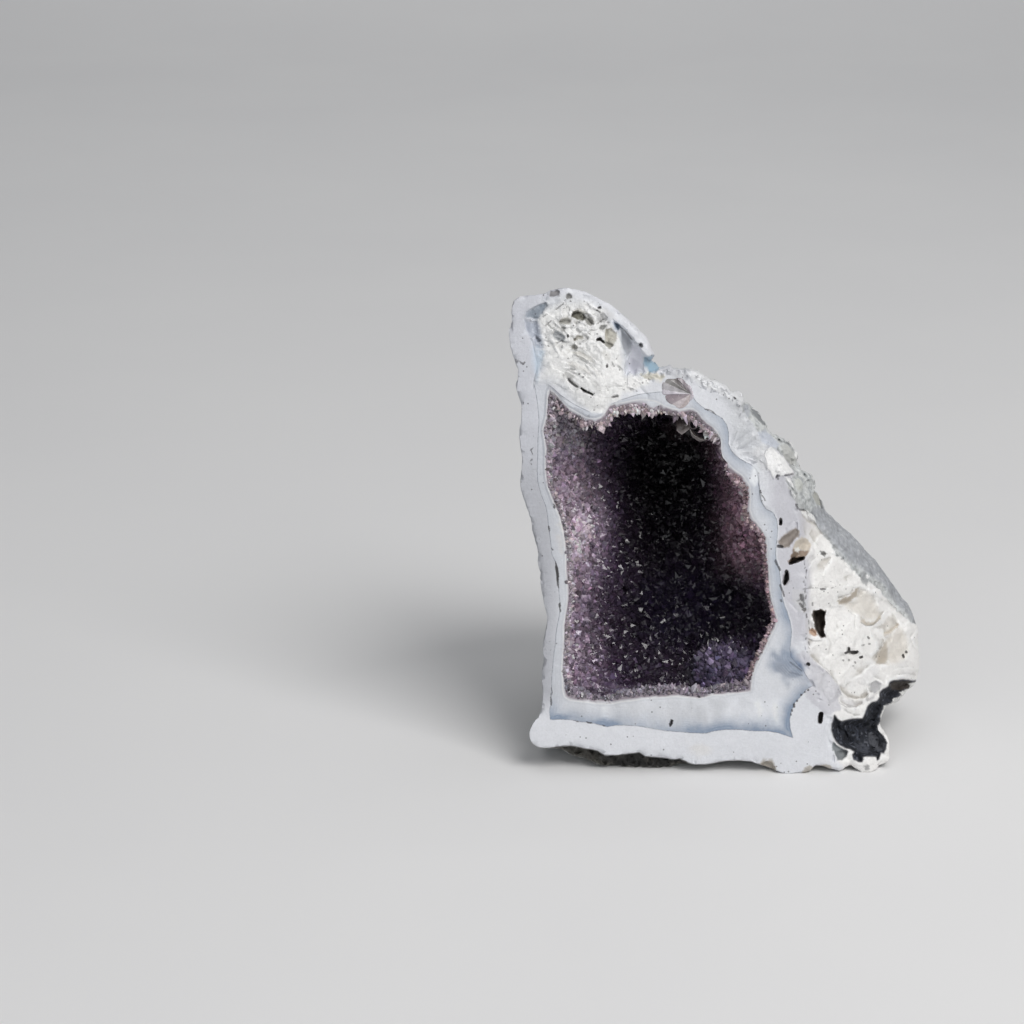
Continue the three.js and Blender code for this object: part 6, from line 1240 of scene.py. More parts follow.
    (5.51, 125.92, 5.66, 126.12, 0.18, 0.81), (7.15, 111.27, 7.22, 111.38, 0.22, 0.54), (3.21, 124.97, 3.26, 125.04, 0.18, 0.56),
    (1.25, 141.71, 1.36, 141.86, 0.17, 0.54), (1.34, 140.37, 1.44, 140.51, 0.39, 0.56), (2.02, 146.69, 2.06, 146.74, 0.21, 0.84),
    (5.62, 104.50, 5.66, 104.55, 0.23, 0.54), (2.26, 141.56, 2.38, 141.72, 0.27, 0.51), (5.90, 106.91, 5.99, 107.04, 0.19, 0.51),
    (6.06, 131.01, 6.18, 131.17, 0.39, 0.60), (2.00, 140.19, 2.09, 140.32, 0.26, 0.81), (1.96, 142.30, 2.48, 142.99, 0.27, 0.84),
    (7.19, 115.18, 7.24, 115.25, 0.26, 0.71), (1.28, 140.83, 1.34, 140.91, 0.17, 0.60), (7.08, 121.65, 7.23, 121.86, 0.34, 0.90),
    (5.17, 106.68, 5.32, 106.88, 0.20, 0.58), (3.46, 149.41, 3.60, 149.60, 0.28, 0.69), (6.19, 123.90, 6.30, 124.06, 0.18, 0.86),
    (6.73, 116.53, 6.78, 116.59, 0.23, 0.82), (4.71, 142.13, 4.94, 142.45, 0.40, 0.66), (6.77, 107.15, 6.81, 107.20, 0.19, 0.56),
    (7.17, 109.54, 7.31, 109.73, 0.19, 0.89), (4.42, 123.66, 4.46, 123.71, 0.24, 0.51), (6.43, 105.77, 6.93, 106.44, 0.23, 0.67),
    (7.28, 111.43, 7.34, 111.51, 0.31, 0.62), (3.22, 147.36, 3.30, 147.46, 0.20, 0.55), (5.10, 109.25, 5.21, 109.39, 0.22, 0.86),
    (5.52, 137.13, 5.82, 137.53, 0.23, 0.71), (2.97, 159.94, 2.99, 159.97, 0.19, 0.82), (2.73, 151.23, 2.83, 151.36, 0.38, 0.63),
    (4.56, 131.57, 4.60, 131.62, 0.26, 0.72), (1.62, 146.91, 1.91, 147.29, 0.26, 0.72), (7.33, 117.81, 7.44, 117.95, 0.22, 0.70),
    (5.01, 131.92, 5.10, 132.05, 0.22, 0.69), (6.66, 107.45, 6.82, 107.66, 0.39, 0.60), (6.14, 129.23, 6.25, 129.37, 0.27, 0.55),
    (2.24, 135.90, 2.27, 135.95, 0.20, 0.77), (15.00, 45.23, 15.13, 45.40, 0.19, 0.76), (8.35, 93.41, 8.40, 93.48, 0.28, 0.88),
    (11.06, 74.26, 11.50, 74.86, 0.41, 0.56), (11.54, 71.76, 11.59, 71.82, 0.21, 0.63), (12.09, 49.89, 12.17, 50.00, 0.24, 0.51),
    (10.85, 79.27, 10.88, 79.31, 0.23, 0.89), (15.24, 44.90, 15.41, 45.13, 0.18, 0.52), (13.05, 45.60, 13.14, 45.71, 0.30, 0.86),
    (13.14, 42.59, 13.29, 42.79, 0.19, 0.73), (12.24, 51.53, 12.36, 51.69, 0.18, 0.67), (7.58, 98.69, 8.02, 99.27, 0.25, 0.53),
    (12.68, 39.78, 12.76, 39.89, 0.27, 0.64), (14.35, 62.62, 14.39, 62.67, 0.32, 0.71), (7.05, 86.25, 7.08, 86.29, 0.19, 0.58),
    (9.29, 80.73, 9.47, 80.98, 0.26, 0.70), (6.84, 90.79, 6.90, 90.87, 0.17, 0.51), (38.57, 143.00, 38.23, 143.01, 0.27, 0.49),
    (41.72, 147.18, 41.72, 147.00, 0.21, 0.65), (36.93, 127.81, 36.76, 127.63, 0.24, 0.70), (26.43, 150.15, 25.95, 150.35, 0.18, 0.75),
    (20.92, 156.62, 20.48, 156.44, 0.26, 0.72), (21.90, 153.85, 21.68, 153.87, 0.19, 0.63), (47.41, 143.14, 47.13, 142.89, 0.20, 0.59),
    (11.55, 148.95, 11.52, 148.95, 0.19, 0.65), (11.69, 153.08, 11.24, 153.13, 0.17, 0.46), (22.72, 154.18, 22.82, 154.17, 0.25, 0.71),
    (37.97, 131.45, 37.85, 131.55, 0.27, 0.51), (38.25, 139.76, 37.75, 139.57, 0.26, 0.70), (38.62, 133.81, 38.23, 133.79, 0.22, 0.78),
    (41.24, 133.31, 41.33, 133.09, 0.24, 0.73), (19.97, 161.26, 19.58, 161.33, 0.18, 0.78), (32.13, 140.30, 32.27, 140.20, 0.22, 0.45),
    (40.97, 136.06, 40.97, 136.04, 0.24, 0.48), (38.67, 153.50, 38.21, 153.63, 0.24, 0.53), (38.86, 128.05, 38.85, 128.11, 0.22, 0.72),
    (39.82, 140.68, 39.98, 140.91, 0.18, 0.55), (38.92, 151.67, 38.99, 151.93, 0.18, 0.56), (36.33, 138.03, 36.52, 138.15, 0.22, 0.64),
    (28.69, 158.19, 29.12, 158.36, 0.27, 0.82), (12.16, 146.24, 12.50, 145.98, 0.22, 0.56), (19.29, 141.93, 18.90, 141.92, 0.27, 0.50),
    (41.78, 144.49, 42.20, 144.38, 0.19, 0.81), (29.41, 161.48, 28.88, 161.48, 0.22, 0.57), (16.70, 150.28, 16.50, 150.09, 0.17, 0.75),
    (45.72, 137.30, 46.15, 137.41, 0.21, 0.61), (48.38, 141.66, 48.23, 141.70, 0.20, 0.47), (20.70, 153.03, 20.71, 153.19, 0.21, 0.83),
    (44.17, 133.82, 44.32, 133.59, 0.27, 0.67), (38.53, 146.52, 38.80, 146.44, 0.20, 0.47), (28.92, 150.29, 28.70, 150.16, 0.27, 0.55),
    (35.70, 151.79, 35.76, 151.85, 0.19, 0.51), (29.83, 154.63, 30.27, 154.36, 0.22, 0.51), (18.59, 159.17, 18.42, 159.39, 0.19, 0.55),
    (32.56, 131.16, 32.83, 131.21, 0.21, 0.66),
)


def patched(rgb, a, b, shape, colour, amount, soft, rag):
    p = np.asarray(shape, float)
    lo, hi = p.min(0) - 1.5, p.max(0) + 1.5
    at = np.nonzero((a > lo[0]) & (a < hi[0]) & (b > lo[1]) & (b < hi[1]))[0]
    d = polygon_distance(shape, a[at], b[at]) + 0.22 * rag[at]
    m = (amount * smooth(-d, -soft * 0.5, soft * 0.8))[:, None]
    rgb[at] = rgb[at] * (1 - m) + shown(*colour) * m
    return rgb


def D_face_near(a, b):
    return smooth(look(D_FACE, a, b), -2.0, -0.3)


def surface_colour(a, b, kind, u, v, w):
    """Linear colour of the rock at points that show at (a, b)."""
    n = len(a)
    fine = noise(u, v, w, 0.9, 11.0); mid = noise(u, v, w, 3.2, 12.0); wide = noise(u, v, w, 12.0, 13.0); tiny_ = noise(u, v, w, 0.5, 15.0)
    rgb = np.repeat(C_WHITE[None], n, 0)
    left = smooth(-a, -21.4, -11.2) * smooth(b, 18.6, 28.9)
    dull = smooth(-b, -121.1, -93.9) * left
    rgb = stain(rgb, left, C_STRIP)
    # painted shade: the left strip darker towards its lower part, where less light falls
    rgb = rgb * (1 - 0.24 * dull[:, None])
    # a faint cloudiness
    rgb = rgb * (1 + 0.025 * wide + 0.015 * mid)[:, None]
    knob = look(M_KNOB, a, b)
    rgb = stain(rgb, knob, C_KNOB * 1.09)
    # bluish rim of the knob
    halo = smooth(look(D_KNOB, a, b), -6.0, -0.5) * knob * smooth(-a, -29.9, -16.3)
    rgb = stain(rgb, halo * (0.50 + 0.2 * mid), tint(190, 196, 208))
    rug = smooth(blob(a, b, (23.3, 151.6), (13.59, 9.51), 12) + 0.15 * mid, 0.0, 0.4)
    rgb = stain(rgb, rug * smooth(fine + 0.6 * mid, 0.35, 0.9) * 0.55, shown(196, 194, 188))
    # streaks along the blades
    rr, th = np.hypot(a - fx, b - fy), np.arctan2(b - fy, a - fx)
    streak = noise(th * 13.0 / 4.0, rr / 0.55, rr * 0, 1.0, 61.0)
    bl = smooth(blob(a, b, (23.4, 140.1), (8.83, 6.12), -28), 0.0, 0.4)
    rgb = stain(rgb, bl * smooth(streak, 0.15, 0.7) * 0.6, shown(188, 187, 184))
    # the recess
    rec = look(M_RECESS, a, b)
    rgb = stain(rgb, rec, shown(204, 207, 212))
    # right flank
    outside = look(M_OUTSIDE, a, b); chunk = look(M_CHUNK, a, b); slope = look(M_SLOPE, a, b); even = look(M_SMOOTH, a, b)
    outer = smooth(look(D_BAND, a, b), 0.1, 0.8) * smooth(a, 85.0, 90.5) * smooth(b, 42.6, 49.5) * smooth(-b, -114.3, -107.5)
    rgb = stain(rgb, outer, shown(192, 192, 198))
    upper = smooth(look(D_BAND, a, b), 0.5, 1.5) * smooth(a, 69.4, 79.3) * smooth(b, 104.1, 114.3) * (1 - knob)
    rgb = stain(rgb, upper * 0.8, shown(202, 204, 207))
    # painted shade in the valleys between the ribs
    ribs = smooth(blob(a, b, (80.1, 115.0), (9.17, 7.13), 25), 0.0, 0.4) * (look(D_BAND, a, b) > 0.2)
    rgb = stain(rgb, ribs * smooth(look(RIB_SHADE, a, b), 0.45, 0.95) * 0.28, shown(178, 181, 187))
    rgb = stain(rgb, outside * (1 - slope), shown(200, 199, 203))
    rgb = stain(rgb, chunk * smooth(a + 1.2 * mid, 98.0, 104.1), C_BRIGHT)
    rgb = stain(rgb, chunk * smooth(wide + 0.5 * mid, 0.15, 0.9) * 0.30, shown(205, 206, 209))
    # painted shade in the hollows of the white chunk
    hollow_shade = smooth(look(blurred_relief, a, b), 0.25, 1.1) * chunk
    rgb = stain(rgb, hollow_shade * 0.55, shown(206, 200, 190))
    rgb = stain(rgb, slope, C_RIND)
    rgb = stain(rgb, slope * smooth(mid + 0.6 * fine, 0.0, 0.8) * 0.7, tint(224, 226, 225))
    rgb = stain(rgb, slope * smooth(-mid + 0.7 * fine, 0.1, 0.8) * 0.7, tint(160, 164, 167))
    rgb = stain(rgb, even * slope, C_SLOPE)
    rgb = stain(rgb, even * slope * smooth(fine + 0.5 * mid, 0.25, 0.8) * 0.55, tint(198, 200, 202))
    rgb = stain(rgb, even * slope * smooth(-fine - 0.6 * mid, 0.35, 0.9) * 0.5, tint(140, 142, 146))
    sand = noise(u, v, w, 0.75, 17.0) + 0.7 * noise(u, v, w, 1.7, 18.0)
    rgb = rgb * (1 + slope * 0.20 * np.clip(sand, -1.5, 1.5))[:, None]
    hollow = look(M_HOLLOW, a, b)
    rgb = stain(rgb, hollow, C_HOLLOW)
    rgb = stain(rgb, hollow * smooth(mid + 0.7 * fine, 0.2, 0.9) * 0.6, tint(88, 94, 110))
    rgb = stain(rgb, hollow * smooth(fine, 0.45, 0.8) * 0.8, tint(120, 123, 132))
    # grey-brown strip under the broken edge, darkened as painted shade because it faces down
    under = look(M_UNDER, a, b)
    rgb = stain(rgb, under, C_UNDER_SHADED)
    rgb = stain(rgb, under * smooth(-a, -34.0, -28.6) * 0.8, tint(104, 101, 92))
    rgb = stain(rgb, under * smooth(a, 32.0, 37.4) * smooth(-a, -60.5, -51.7) * 0.8, tint(44, 42, 41))
    rgb = stain(rgb, under * smooth(mid + 0.6 * fine, 0.35, 0.8) * 0.6, tint(128, 122, 112))
    rgb = stain(rgb, under * smooth(look(D_OUT, a, b), -1.5, -0.4) * smooth(fine + 0.4 * mid, 0.0, 0.6) * 0.8, tint(186, 182, 172))
    low_in = smooth(-look(D_BAND, a, b), 0.0, 0.4) * smooth(-b, -27.2, -24.8) * smooth(a, 16.3, 23.1)
    rise = noise(a * 1.0, b * 0.22, a * 0, 3.2, 91.0) + 0.5 * noise(a * 1.0, b * 0.3, a * 0, 1.3, 92.0)
    rgb = rgb * (1 + low_in * 0.24 * np.clip(rise, -1.2, 1.4))[:, None]
    crust = smooth(look(D_BAND, a, b), 0.6, 1.6) * smooth(a, 45.2, 60.5) * smooth(b, 119.4, 126.2) * (1 - knob) * smooth(look(D_FACE, a, b), -4.6, -1.6)
    # painted shade in the creases and painted highlight on the crests
    tight, loose = look(CREASE, a, b), look(DIP, a, b)
    relief_shading = np.clip(0.9 * knob + 1.3 * chunk + 0.35 * upper + 0.6 * slope + 0.5 * outer + 0.3 * (D_face_near(a, b)) + 1.0 * crust, 0, 1)
    rgb = rgb * (1 - relief_shading * ((0.15 - 0.03 * chunk) * smooth(tight, 0.04, 0.25) + (0.10 + 0.04 * chunk) * smooth(loose, 0.08, 0.6)) + relief_shading * 0.06 * smooth(-tight, 0.03, 0.2))[:, None]
    rgb = rgb * (1 - crust * (0.13 + 0.20 * smooth(fine + tiny_, 0.1, 0.8)))[:, None]
    # painted shade: the underside strip and the deep hollow darkened further, over their own grey-brown and blue-grey
    rgb = rgb * (1 - 0.64 * under - 0.36 * hollow * (1 + 0.9 * np.clip(tiny_ - fine, -1, 1)))[:, None]
    rag = 1.3 * fine + 0.9 * tiny_
    for shape, colour, amount, soft in PATCHES:
        rgb = patched(rgb, a, b, shape, colour, amount, soft, rag)
    # white flecks over the cloudy window
    cloudy = smooth(blob(a, b, (7.8, 149.5), (3.40, 8.15), 8), 0.0, 0.3)
    rgb = stain(rgb, cloudy * smooth(tiny_ + 0.7 * fine, 0.15, 0.7) * 0.7, tint(214, 219, 228))
    # mottled blue where the band turns at the lower right
    drift = 0.30 * mid + 0.22 * noise(u, v, w, 1.7, 97.0)
    near_it = smooth(blob(a, b, (93.8, 37.8), (12.23, 10.19), -30), 0.0, 0.35)
    corner = smooth(blob(a, b, (93.5, 37.8), (8.49, 7.13), -30) + 0.40 * drift, 0.02, 0.50)
    rgb = stain(rgb, near_it * corner * np.clip(0.88 + drift, 0, 1), tint(104, 123, 150))
    deep_blue = smooth(blob(a, b, (94.8, 35.4), (6.12, 3.06), -18) + 0.6 * drift, 0.02, 0.5)
    rgb = stain(rgb, near_it * deep_blue * 0.9, tint(76, 94, 122))
    vein = smooth(blob(a, b, (91.1, 39.6), (4.08, 1.53), -38) + 0.5 * drift, 0.05, 0.6)
    rgb = stain(rgb, near_it * vein * 0.75, tint(88, 108, 138))
    lines = noise(0.5 * a + 0.5 * b, 1.8 * (a - b), a * 0, 2.4, 95.0) + 0.6 * fine
    rgb = stain(rgb, near_it * corner * smooth(lines, 0.35, 0.9) * 0.30, tint(170, 181, 198))
    # soft warm patch low on the outer layer
    rgb = stain(rgb, smooth(blob(a, b, (64.3, 8.3), (5.44, 2.72), 0), 0, 0.6) * 0.22, tint(232, 224, 208))
    # the rind at the back and sides
    behind = w - look(FRONT_W, a, b)
    wavy = 1.5 * noise(u, v, w, 6.0, 14.0) + 0.9 * mid + 0.5 * fine
    rind = np.where(kind == 1, np.maximum(smooth(w + wavy, 0.5, 3.5) * smooth(behind, -0.5, 1.0), smooth(behind + wavy, 0.8, 2.8)), smooth(behind + 0.6 * wavy, 0.9, 2.2))
    low = noise(u, v, w, 6.0, 14.0)
    grey = tint(176, 177, 175) * (1 + 0.16 * low[:, None]) * (1 + 0.12 * fine[:, None])
    grey = stain(grey, smooth(mid + low, 0.3, 1.2) * 0.6, tint(210, 209, 204))
    grey = stain(grey, smooth(-mid + 0.6 * low, 0.5, 1.3) * 0.6, tint(130, 126, 119))
    grey = stain(grey, smooth(wide + 0.4 * mid, 0.25, 0.8) * 0.5, tint(158, 148, 134))
    grey = stain(grey, smooth(-wide + 0.4 * mid, 0.3, 0.9) * 0.45, tint(198, 202, 206))
    m = rind[:, None]
    rgb = rgb * (1 - m) + grey * m
    base = (kind == 2)[:, None]
    stone = tint(178, 176, 172) * (1 + 0.14 * low[:, None]) * (1 + 0.10 * fine[:, None])
    rgb = np.where(base, stone, rgb)
    return np.clip(rgb * (1 + 0.02 * fine[:, None]), 0.0, 0.95)


def druse_colour(u, v, w, a, b):
    """Linear colour of the amethyst at a place on the pocket's wall."""
    rim = np.maximum(look(-D_POCKET, a, b), 0)                       # how far in from the rim it shows
    n1 = noise(u, v, w, 9.0, 21.0); n2 = noise(u, v, w, 3.0, 22.0)
    t = 0.5 * n1 + 0.3 * n2
    rgb = np.repeat(tint(52, 43, 56)[None], len(u), 0)
    # lilac haze on the left wall, fading over the turn of the wall
    far = -a + 3.2 * n1 + 1.6 * n2
    rgb = stain(rgb, smooth(far, -47.6, -26.5), tint(92, 76, 98))
    rgb = stain(rgb, smooth(far, -37.4, -18.4), tint(150, 134, 150) * 1.15, 0.9)
    rgb = stain(rgb, smooth(blob(a, b, (18.4, 83.0), (17.67, 28.54), -6) + 0.12 * t, 0.0, 0.85), tint(188, 171, 184), 0.92)
    rgb = stain(rgb, smooth(blob(a, b, (22.8, 82.7), (5.10, 10.19), -6) + 0.12 * t, 0.0, 0.6), tint(224, 208, 219), 0.85)
    rgb = stain(rgb, smooth(blob(a, b, (18.4, 40.9), (15.63, 22.42), 6) + 0.12 * t, 0.0, 0.9), tint(176, 158, 176), 0.75)
    rgb = stain(rgb, smooth(far, -29.9, -18.4) * smooth(b, 99.0, 121.1), tint(134, 127, 136), 0.8)
    rgb = stain(rgb, smooth(blob(a, b, (18.3, 119.7), (10.19, 12.91), 0), 0, 0.6), tint(196, 188, 196), 0.88)
    right = smooth(a + 1.6 * n1, 63.9, 78.2) * smooth(b, 59.8, 80.3)
    rgb = stain(rgb, right, tint(154, 125, 132), 0.92)
    rgb = stain(rgb, smooth(blob(a, b, (78.8, 97.3), (10.19, 16.31), 0) + 0.2 * t, 0, 0.7) * smooth(4.8 - rim + n2, 0, 4.0), tint(206, 182, 188), 0.9)
    rgb = stain(rgb, smooth(blob(a, b, (69.2, 114.3), (10.19, 11.55), 0) + 0.2 * t, 0, 0.7), tint(112, 90, 94), 0.7)
    # painted shade: the heart of the pocket and the cave under its roof darkened nearly to black, over the amethyst's
    # own deep purple
    heart = smooth(blob(a, b, (54.4, 93.9), (25.14, 43.49), -12) + 0.10 * t, 0.0, 0.8)
    rgb = stain(rgb, heart, tint(20, 16, 23), 0.96)
    cave = smooth(blob(a, b, (49.6, 106.8), (22.42, 23.78), 0) + 0.08 * t, 0.05, 0.7)
    rgb = stain(rgb, cave, tint(8, 6, 7), 0.97)
    low = smooth(blob(a, b, (60.6, 56.4), (28.54, 20.38), 0) + 0.1 * t, 0.0, 0.6)
    rgb = stain(rgb, low, tint(31, 27, 43), 0.8)
    rgb = stain(rgb, smooth(blob(a, b, (57.7, 117.4), (9.51, 5.10), -12) + 0.1 * t, 0, 0.6), tint(60, 51, 51), 0.65)
    rgb = stain(rgb, smooth(blob(a, b, (72.3, 35.1), (14.95, 10.19), 0) + 0.1 * t, 0.05, 0.4), tint(119, 111, 127), 0.92)
    rgb = stain(rgb, smooth(4.2 - (b - 26.2) + 0.6 * n2, 0, 3.0), tint(119, 111, 124), 0.75)
    rgb = stain(rgb, smooth(1.5 - rim + 0.6 * n2, 0, 1.4), tint(170, 156, 165), 0.6)
    return rgb


front, back, base, pocket = parts_of_field(verts[:, 0], verts[:, 1], verts[:, 2])
kind = np.argmax(np.stack([front, back, base, pocket]), 0)
VA, VB = seen(verts[:, 0], verts[:, 1], verts[:, 2])
colour = surface_colour(VA, VB, kind, verts[:, 0], verts[:, 1], verts[:, 2])
in_pocket = np.clip((pocket - np.maximum(front, np.maximum(back, base))) / 0.35 + 0.5, 0, 1)
wall = druse_colour(verts[:, 0], verts[:, 1], verts[:, 2], VA, VB) * (0.62 + 0.40 * smooth(-VA, -36.7, -21.4))[:, None]
lin_t, lin_top, lin_bottom, lin_right, lin_left = lining(VA, VB)
cut_face = (verts[:, 2] < 4.0) * smooth(lin_t + 0.6 - look(-D_POCKET, VA, VB), 0, 0.6)
wall = stain(wall, cut_face * 0.9, tint(150, 140, 148))
colour = colour * (1 - in_pocket[:, None]) + wall * in_pocket[:, None]

mesh = make_mesh("geode_rock", rows, tris)
rock = bpy.data.objects.new("geode_rock", mesh)
bpy.context.scene.collection.objects.link(rock)
add_attribute(mesh, "Tint", colour, "FLOAT_COLOR")
mesh.set_sharp_from_angle(angle=math.radians(36))
facing = np.where((kind == 0), 1.0, 0.0) * (1 - in_pocket) * look(M_FACE, VA, VB)
add_attribute(mesh, "band_mm", look(D_BAND, VA, VB) + 0.12 * noise(VA, VB, verts[:, 2] * 0, 1.4, 31.0))
add_attribute(mesh, "pocket_mm", look(D_POCKET, VA, VB))
ring = facing * (1 - smooth(look(M_KNOB, VA, VB), 0.0, 0.6)) * (1 - look(M_RECESS, VA, VB))
ring = ring * (1 - smooth(-polygon_distance([(80.49, 100.03), (80.80, 103.77), (82.15, 106.15), (83.84, 106.49), (84.54, 104.11), (83.88, 101.05), (82.53, 98.67)], VA, VB), -0.1, 0.2))
add_attribute(mesh, "ring", ring)
add_attribute(mesh, "front", facing)

# how blue the band is, round the ring
blue = 0.40 * np.ones(len(VA))
blue += 0.30 * smooth(-VB, -28.9, -21.4)
for centre, radii in (((16.7, 19.3), (4.76, 2.38)), ((32.8, 17.6), (5.44, 2.72)), ((72.1, 16.2), (6.79, 3.06)), ((64.2, 15.5), (6.12, 2.72))):
    blue += 0.45 * smooth(blob(VA, VB, centre, radii, 0), 0, 0.6)
blue += 0.45 * smooth(blob(VA, VB, (89.8, 23.8), (20.38, 20.38), 0), 0, 0.6)
blue += 0.35 * smooth(blob(VA, VB, (92.9, 63.2), (10.19, 25.48), 0), 0, 0.6)
blue += 0.15 * smooth(blob(VA, VB, (68.9, 114.3), (13.59, 16.99), 0), 0, 0.6)
blue *= 1 + 0.30 * noise(VA, VB, VA * 0, 7.0, 33.0)
blue *= 1 - 0.80 * smooth(-VA, -24.8, -18.4) * smooth(VB, 21.4, 28.9)
blue *= 1 - 0.55 * smooth(VB, 121.1, 127.9) * smooth(-VA, -63.9, -57.1)
add_attribute(mesh, "blue", np.clip(blue, 0, 1.2))
broken = (kind == 0) * np.clip(look(M_KNOB, VA, VB) * (0.45 + 0.55 * look(rugged.astype(np.float32), VA, VB)) + 0.32 * look(UPPER.astype(np.float32), VA, VB)
                               + 0.28 * look(M_CHUNK.astype(np.float32), VA, VB) + 0.5 * look(M_HOLLOW.astype(np.float32), VA, VB) + 0.6 * look(M_UNDER.astype(np.float32), VA, VB) + 0.10, 0, 1)
side = np.where(kind == 1, 1.0, smooth(verts[:, 2] - look(FRONT_W, VA, VB), 0.9, 2.2))
broken = np.maximum(broken * (1 - side), side * 0.7) * (1 - in_pocket) * (1 - look(M_RECESS, VA, VB))
add_attribute(mesh, "broken", broken)

# the nearest dark mark, and how dark it is
mark_mm = np.full(len(VA), 2.0, np.float32); mark_dark = np.zeros(len(VA), np.float32)
for x1, y1, x2, y2, r, dark in MARKS:
    near = np.nonzero((kind == 0) & (VA > min(x1, x2) - 3) & (VA < max(x1, x2) + 3) & (VB > min(y1, y2) - 3) & (VB < max(y1, y2) + 3))[0]
    ex, ey = x2 - x1, y2 - y1
    t = np.clip(((VA[near] - x1) * ex + (VB[near] - y1) * ey) / (ex * ex + ey * ey + 1e-9), 0, 1)
    d = np.hypot(VA[near] - x1 - t * ex, VB[near] - y1 - t * ey) - r
    hit = d < mark_mm[near]
    mark_mm[near[hit]] = d[hit]; mark_dark[near[hit]] = dark
add_attribute(mesh, "mark_mm", mark_mm)
add_attribute(mesh, "mark_dark", mark_dark * (1 - in_pocket))
skin = ring * (0.25 + 0.6 * smooth(blob(VA, VB, (11.9, 109.2), (4.08, 27.18), 0), 0, 0.3) + 0.6 * smooth(blob(VA, VB, (21.4, 126.2), (11.55, 8.83), 0), 0, 0.3))
skin_knob = facing * smooth(blob(VA, VB, (20.3, 126.2), (11.55, 8.15), -25), 0, 0.3) * 0.8
add_attribute(mesh, "skin", np.clip(np.maximum(skin, skin_knob), 0, 1))
shiny = 0.25 * ring + 0.35 * look(M_RECESS, VA, VB) * (kind == 0) + 0.1 * look(M_CHUNK, VA, VB) * (kind == 0)
add_attribute(mesh, "shiny", shiny)
roughness = side * smooth(verts[:, 2], 0.5, 3) + (kind == 0) * look(M_SLOPE, VA, VB) * (1 - 0.6 * look(M_SMOOTH, VA, VB)) + (kind == 2) * 1.0
add_attribute(mesh, "coarse", np.clip(roughness + 0.8 * (kind == 0) * look(M_HOLLOW, VA, VB), 0, 1))
print("rock", round(time.time() - T0, 1))

# ------------------------------------------------------------------ druse
def frames(axis, roll):
    """Two directions square to each axis, turned by roll."""
    ref = np.where(np.abs(axis[:, 2:3]) < 0.9, np.array([[0, 0, 1.0]]), np.array([[1.0, 0, 0]]))
    x = np.cross(ref, axis); x /= np.linalg.norm(x, axis=1, keepdims=True)
    y = np.cross(axis, x)
    c, s = np.cos(roll)[:, None], np.sin(roll)[:, None]
    return x * c + y * s, -x * s + y * c


def points_of_quartz(centre, axis, radius, body, tip, sink, g, lean=0.28):
    """Closed six-sided points: a ring, a tip that leans a little, and a buried end. Metres."""
    n = len(centre)
    x, y = frames(axis, g.uniform(0, math.tau, n))
    verts = np.zeros((n, 8, 3))
    for k in range(6):
        t = k * math.pi / 3 + g.normal(0, 0.10, n)
        r = radius * (1 + g.normal(0, 0.10, n))
        h = body + radius * g.normal(0, 0.14, n)
        verts[:, k] = centre + x * (r * np.cos(t))[:, None] + y * (r * np.sin(t))[:, None] + axis * h[:, None]
    off = g.normal(0, lean, (n, 2)) * radius[:, None]
    verts[:, 6] = centre + axis * (body + tip)[:, None] + x * off[:, :1] + y * off[:, 1:]
    verts[:, 7] = centre - axis * sink[:, None]
    f = []
    for k in range(6):
        j = (k + 1) % 6
        f += [(k, j, 6), (j, k, 7)]
    faces = (np.array(f)[None] + (np.arange(n) * 8)[:, None, None]).reshape(-1, 3)
    return verts.reshape(-1, 3), faces


def prisms_of_quartz(centre, axis, radius, body, tip, sink, g, lean=0.25):
    """Closed six-sided prisms with a pointed end. Metres."""
    n = len(centre)
    x, y = frames(axis, g.uniform(0, math.tau, n))
    verts = np.zeros((n, 14, 3))
    for k in range(6):
        t = k * math.pi / 3 + g.normal(0, 0.08, n)
        r = radius * (1 + g.normal(0, 0.10, n))
        side = x * (r * np.cos(t))[:, None] + y * (r * np.sin(t))[:, None]
        verts[:, k] = centre + side + axis * (body + radius * g.normal(0, 0.16, n))[:, None]
        verts[:, 6 + k] = centre + side * 0.85 - axis * sink[:, None]
    off = g.normal(0, lean, (n, 2)) * radius[:, None]
    verts[:, 12] = centre + axis * (body + tip)[:, None] + x * off[:, :1] + y * off[:, 1:]
    verts[:, 13] = centre - axis * (sink + radius * 0.4)[:, None]
    f = []
    for k in range(6):
        j = (k + 1) % 6
        f += [(k, j, 12), (6 + k, 6 + j, j), (6 + k, j, k), (6 + j, 6 + k, 13)]
    faces = (np.array(f)[None] + (np.arange(n) * 14)[:, None, None]).reshape(-1, 3)
    return verts.reshape(-1, 3), faces


def face_from_row(p):
    u = (p[:, 0] - X0) * 1e3
    y = (p[:, 1] - Y0) * 1e3
    z = p[:, 2] * 1e3
    return u, y * SL + z * CL, y * CL - z * SL


def druse_object(name, v, f, per, rgb, g, glow=0.0):
    mesh = make_mesh(name, v, f, smooth_shade=False)
    n = len(v) // per
    value = 1 + g.normal(0, 0.16, n)
    c = np.clip(rgb * np.clip(value, 0.45, 1.9)[:, None], 0, 0.95)
    c = c * (1 + g.normal(0, 0.04, (n, 3)))
    add_attribute(mesh, "Tint", np.repeat(np.clip(c, 0, 0.95), per, 0), "FLOAT_COLOR")
    obj = bpy.data.objects.new(name, mesh)
    bpy.context.scene.collection.objects.link(obj)
    return obj


pocket_tri = (in_pocket[tris] > 0.5).sum(1) >= 2
PT = tris[pocket_tri]
pa, pb, pc = rows[PT[:, 0]], rows[PT[:, 1]], rows[PT[:, 2]]
cr = np.cross(pb - pa, pc - pa)
area = np.linalg.norm(cr, axis=1) / 2
tri_n = cr / (2 * area[:, None] + 1e-20)
vn = np.zeros_like(rows)
full = np.cross(rows[tris[:, 1]] - rows[tris[:, 0]], rows[tris[:, 2]] - rows[tris[:, 0]])
for q in range(3):
    np.add.at(vn, tris[:, q], full)
vn /= np.linalg.norm(vn, axis=1, keepdims=True) + 1e-20
print("pocket area mm2", round(area.sum() * 1e6))

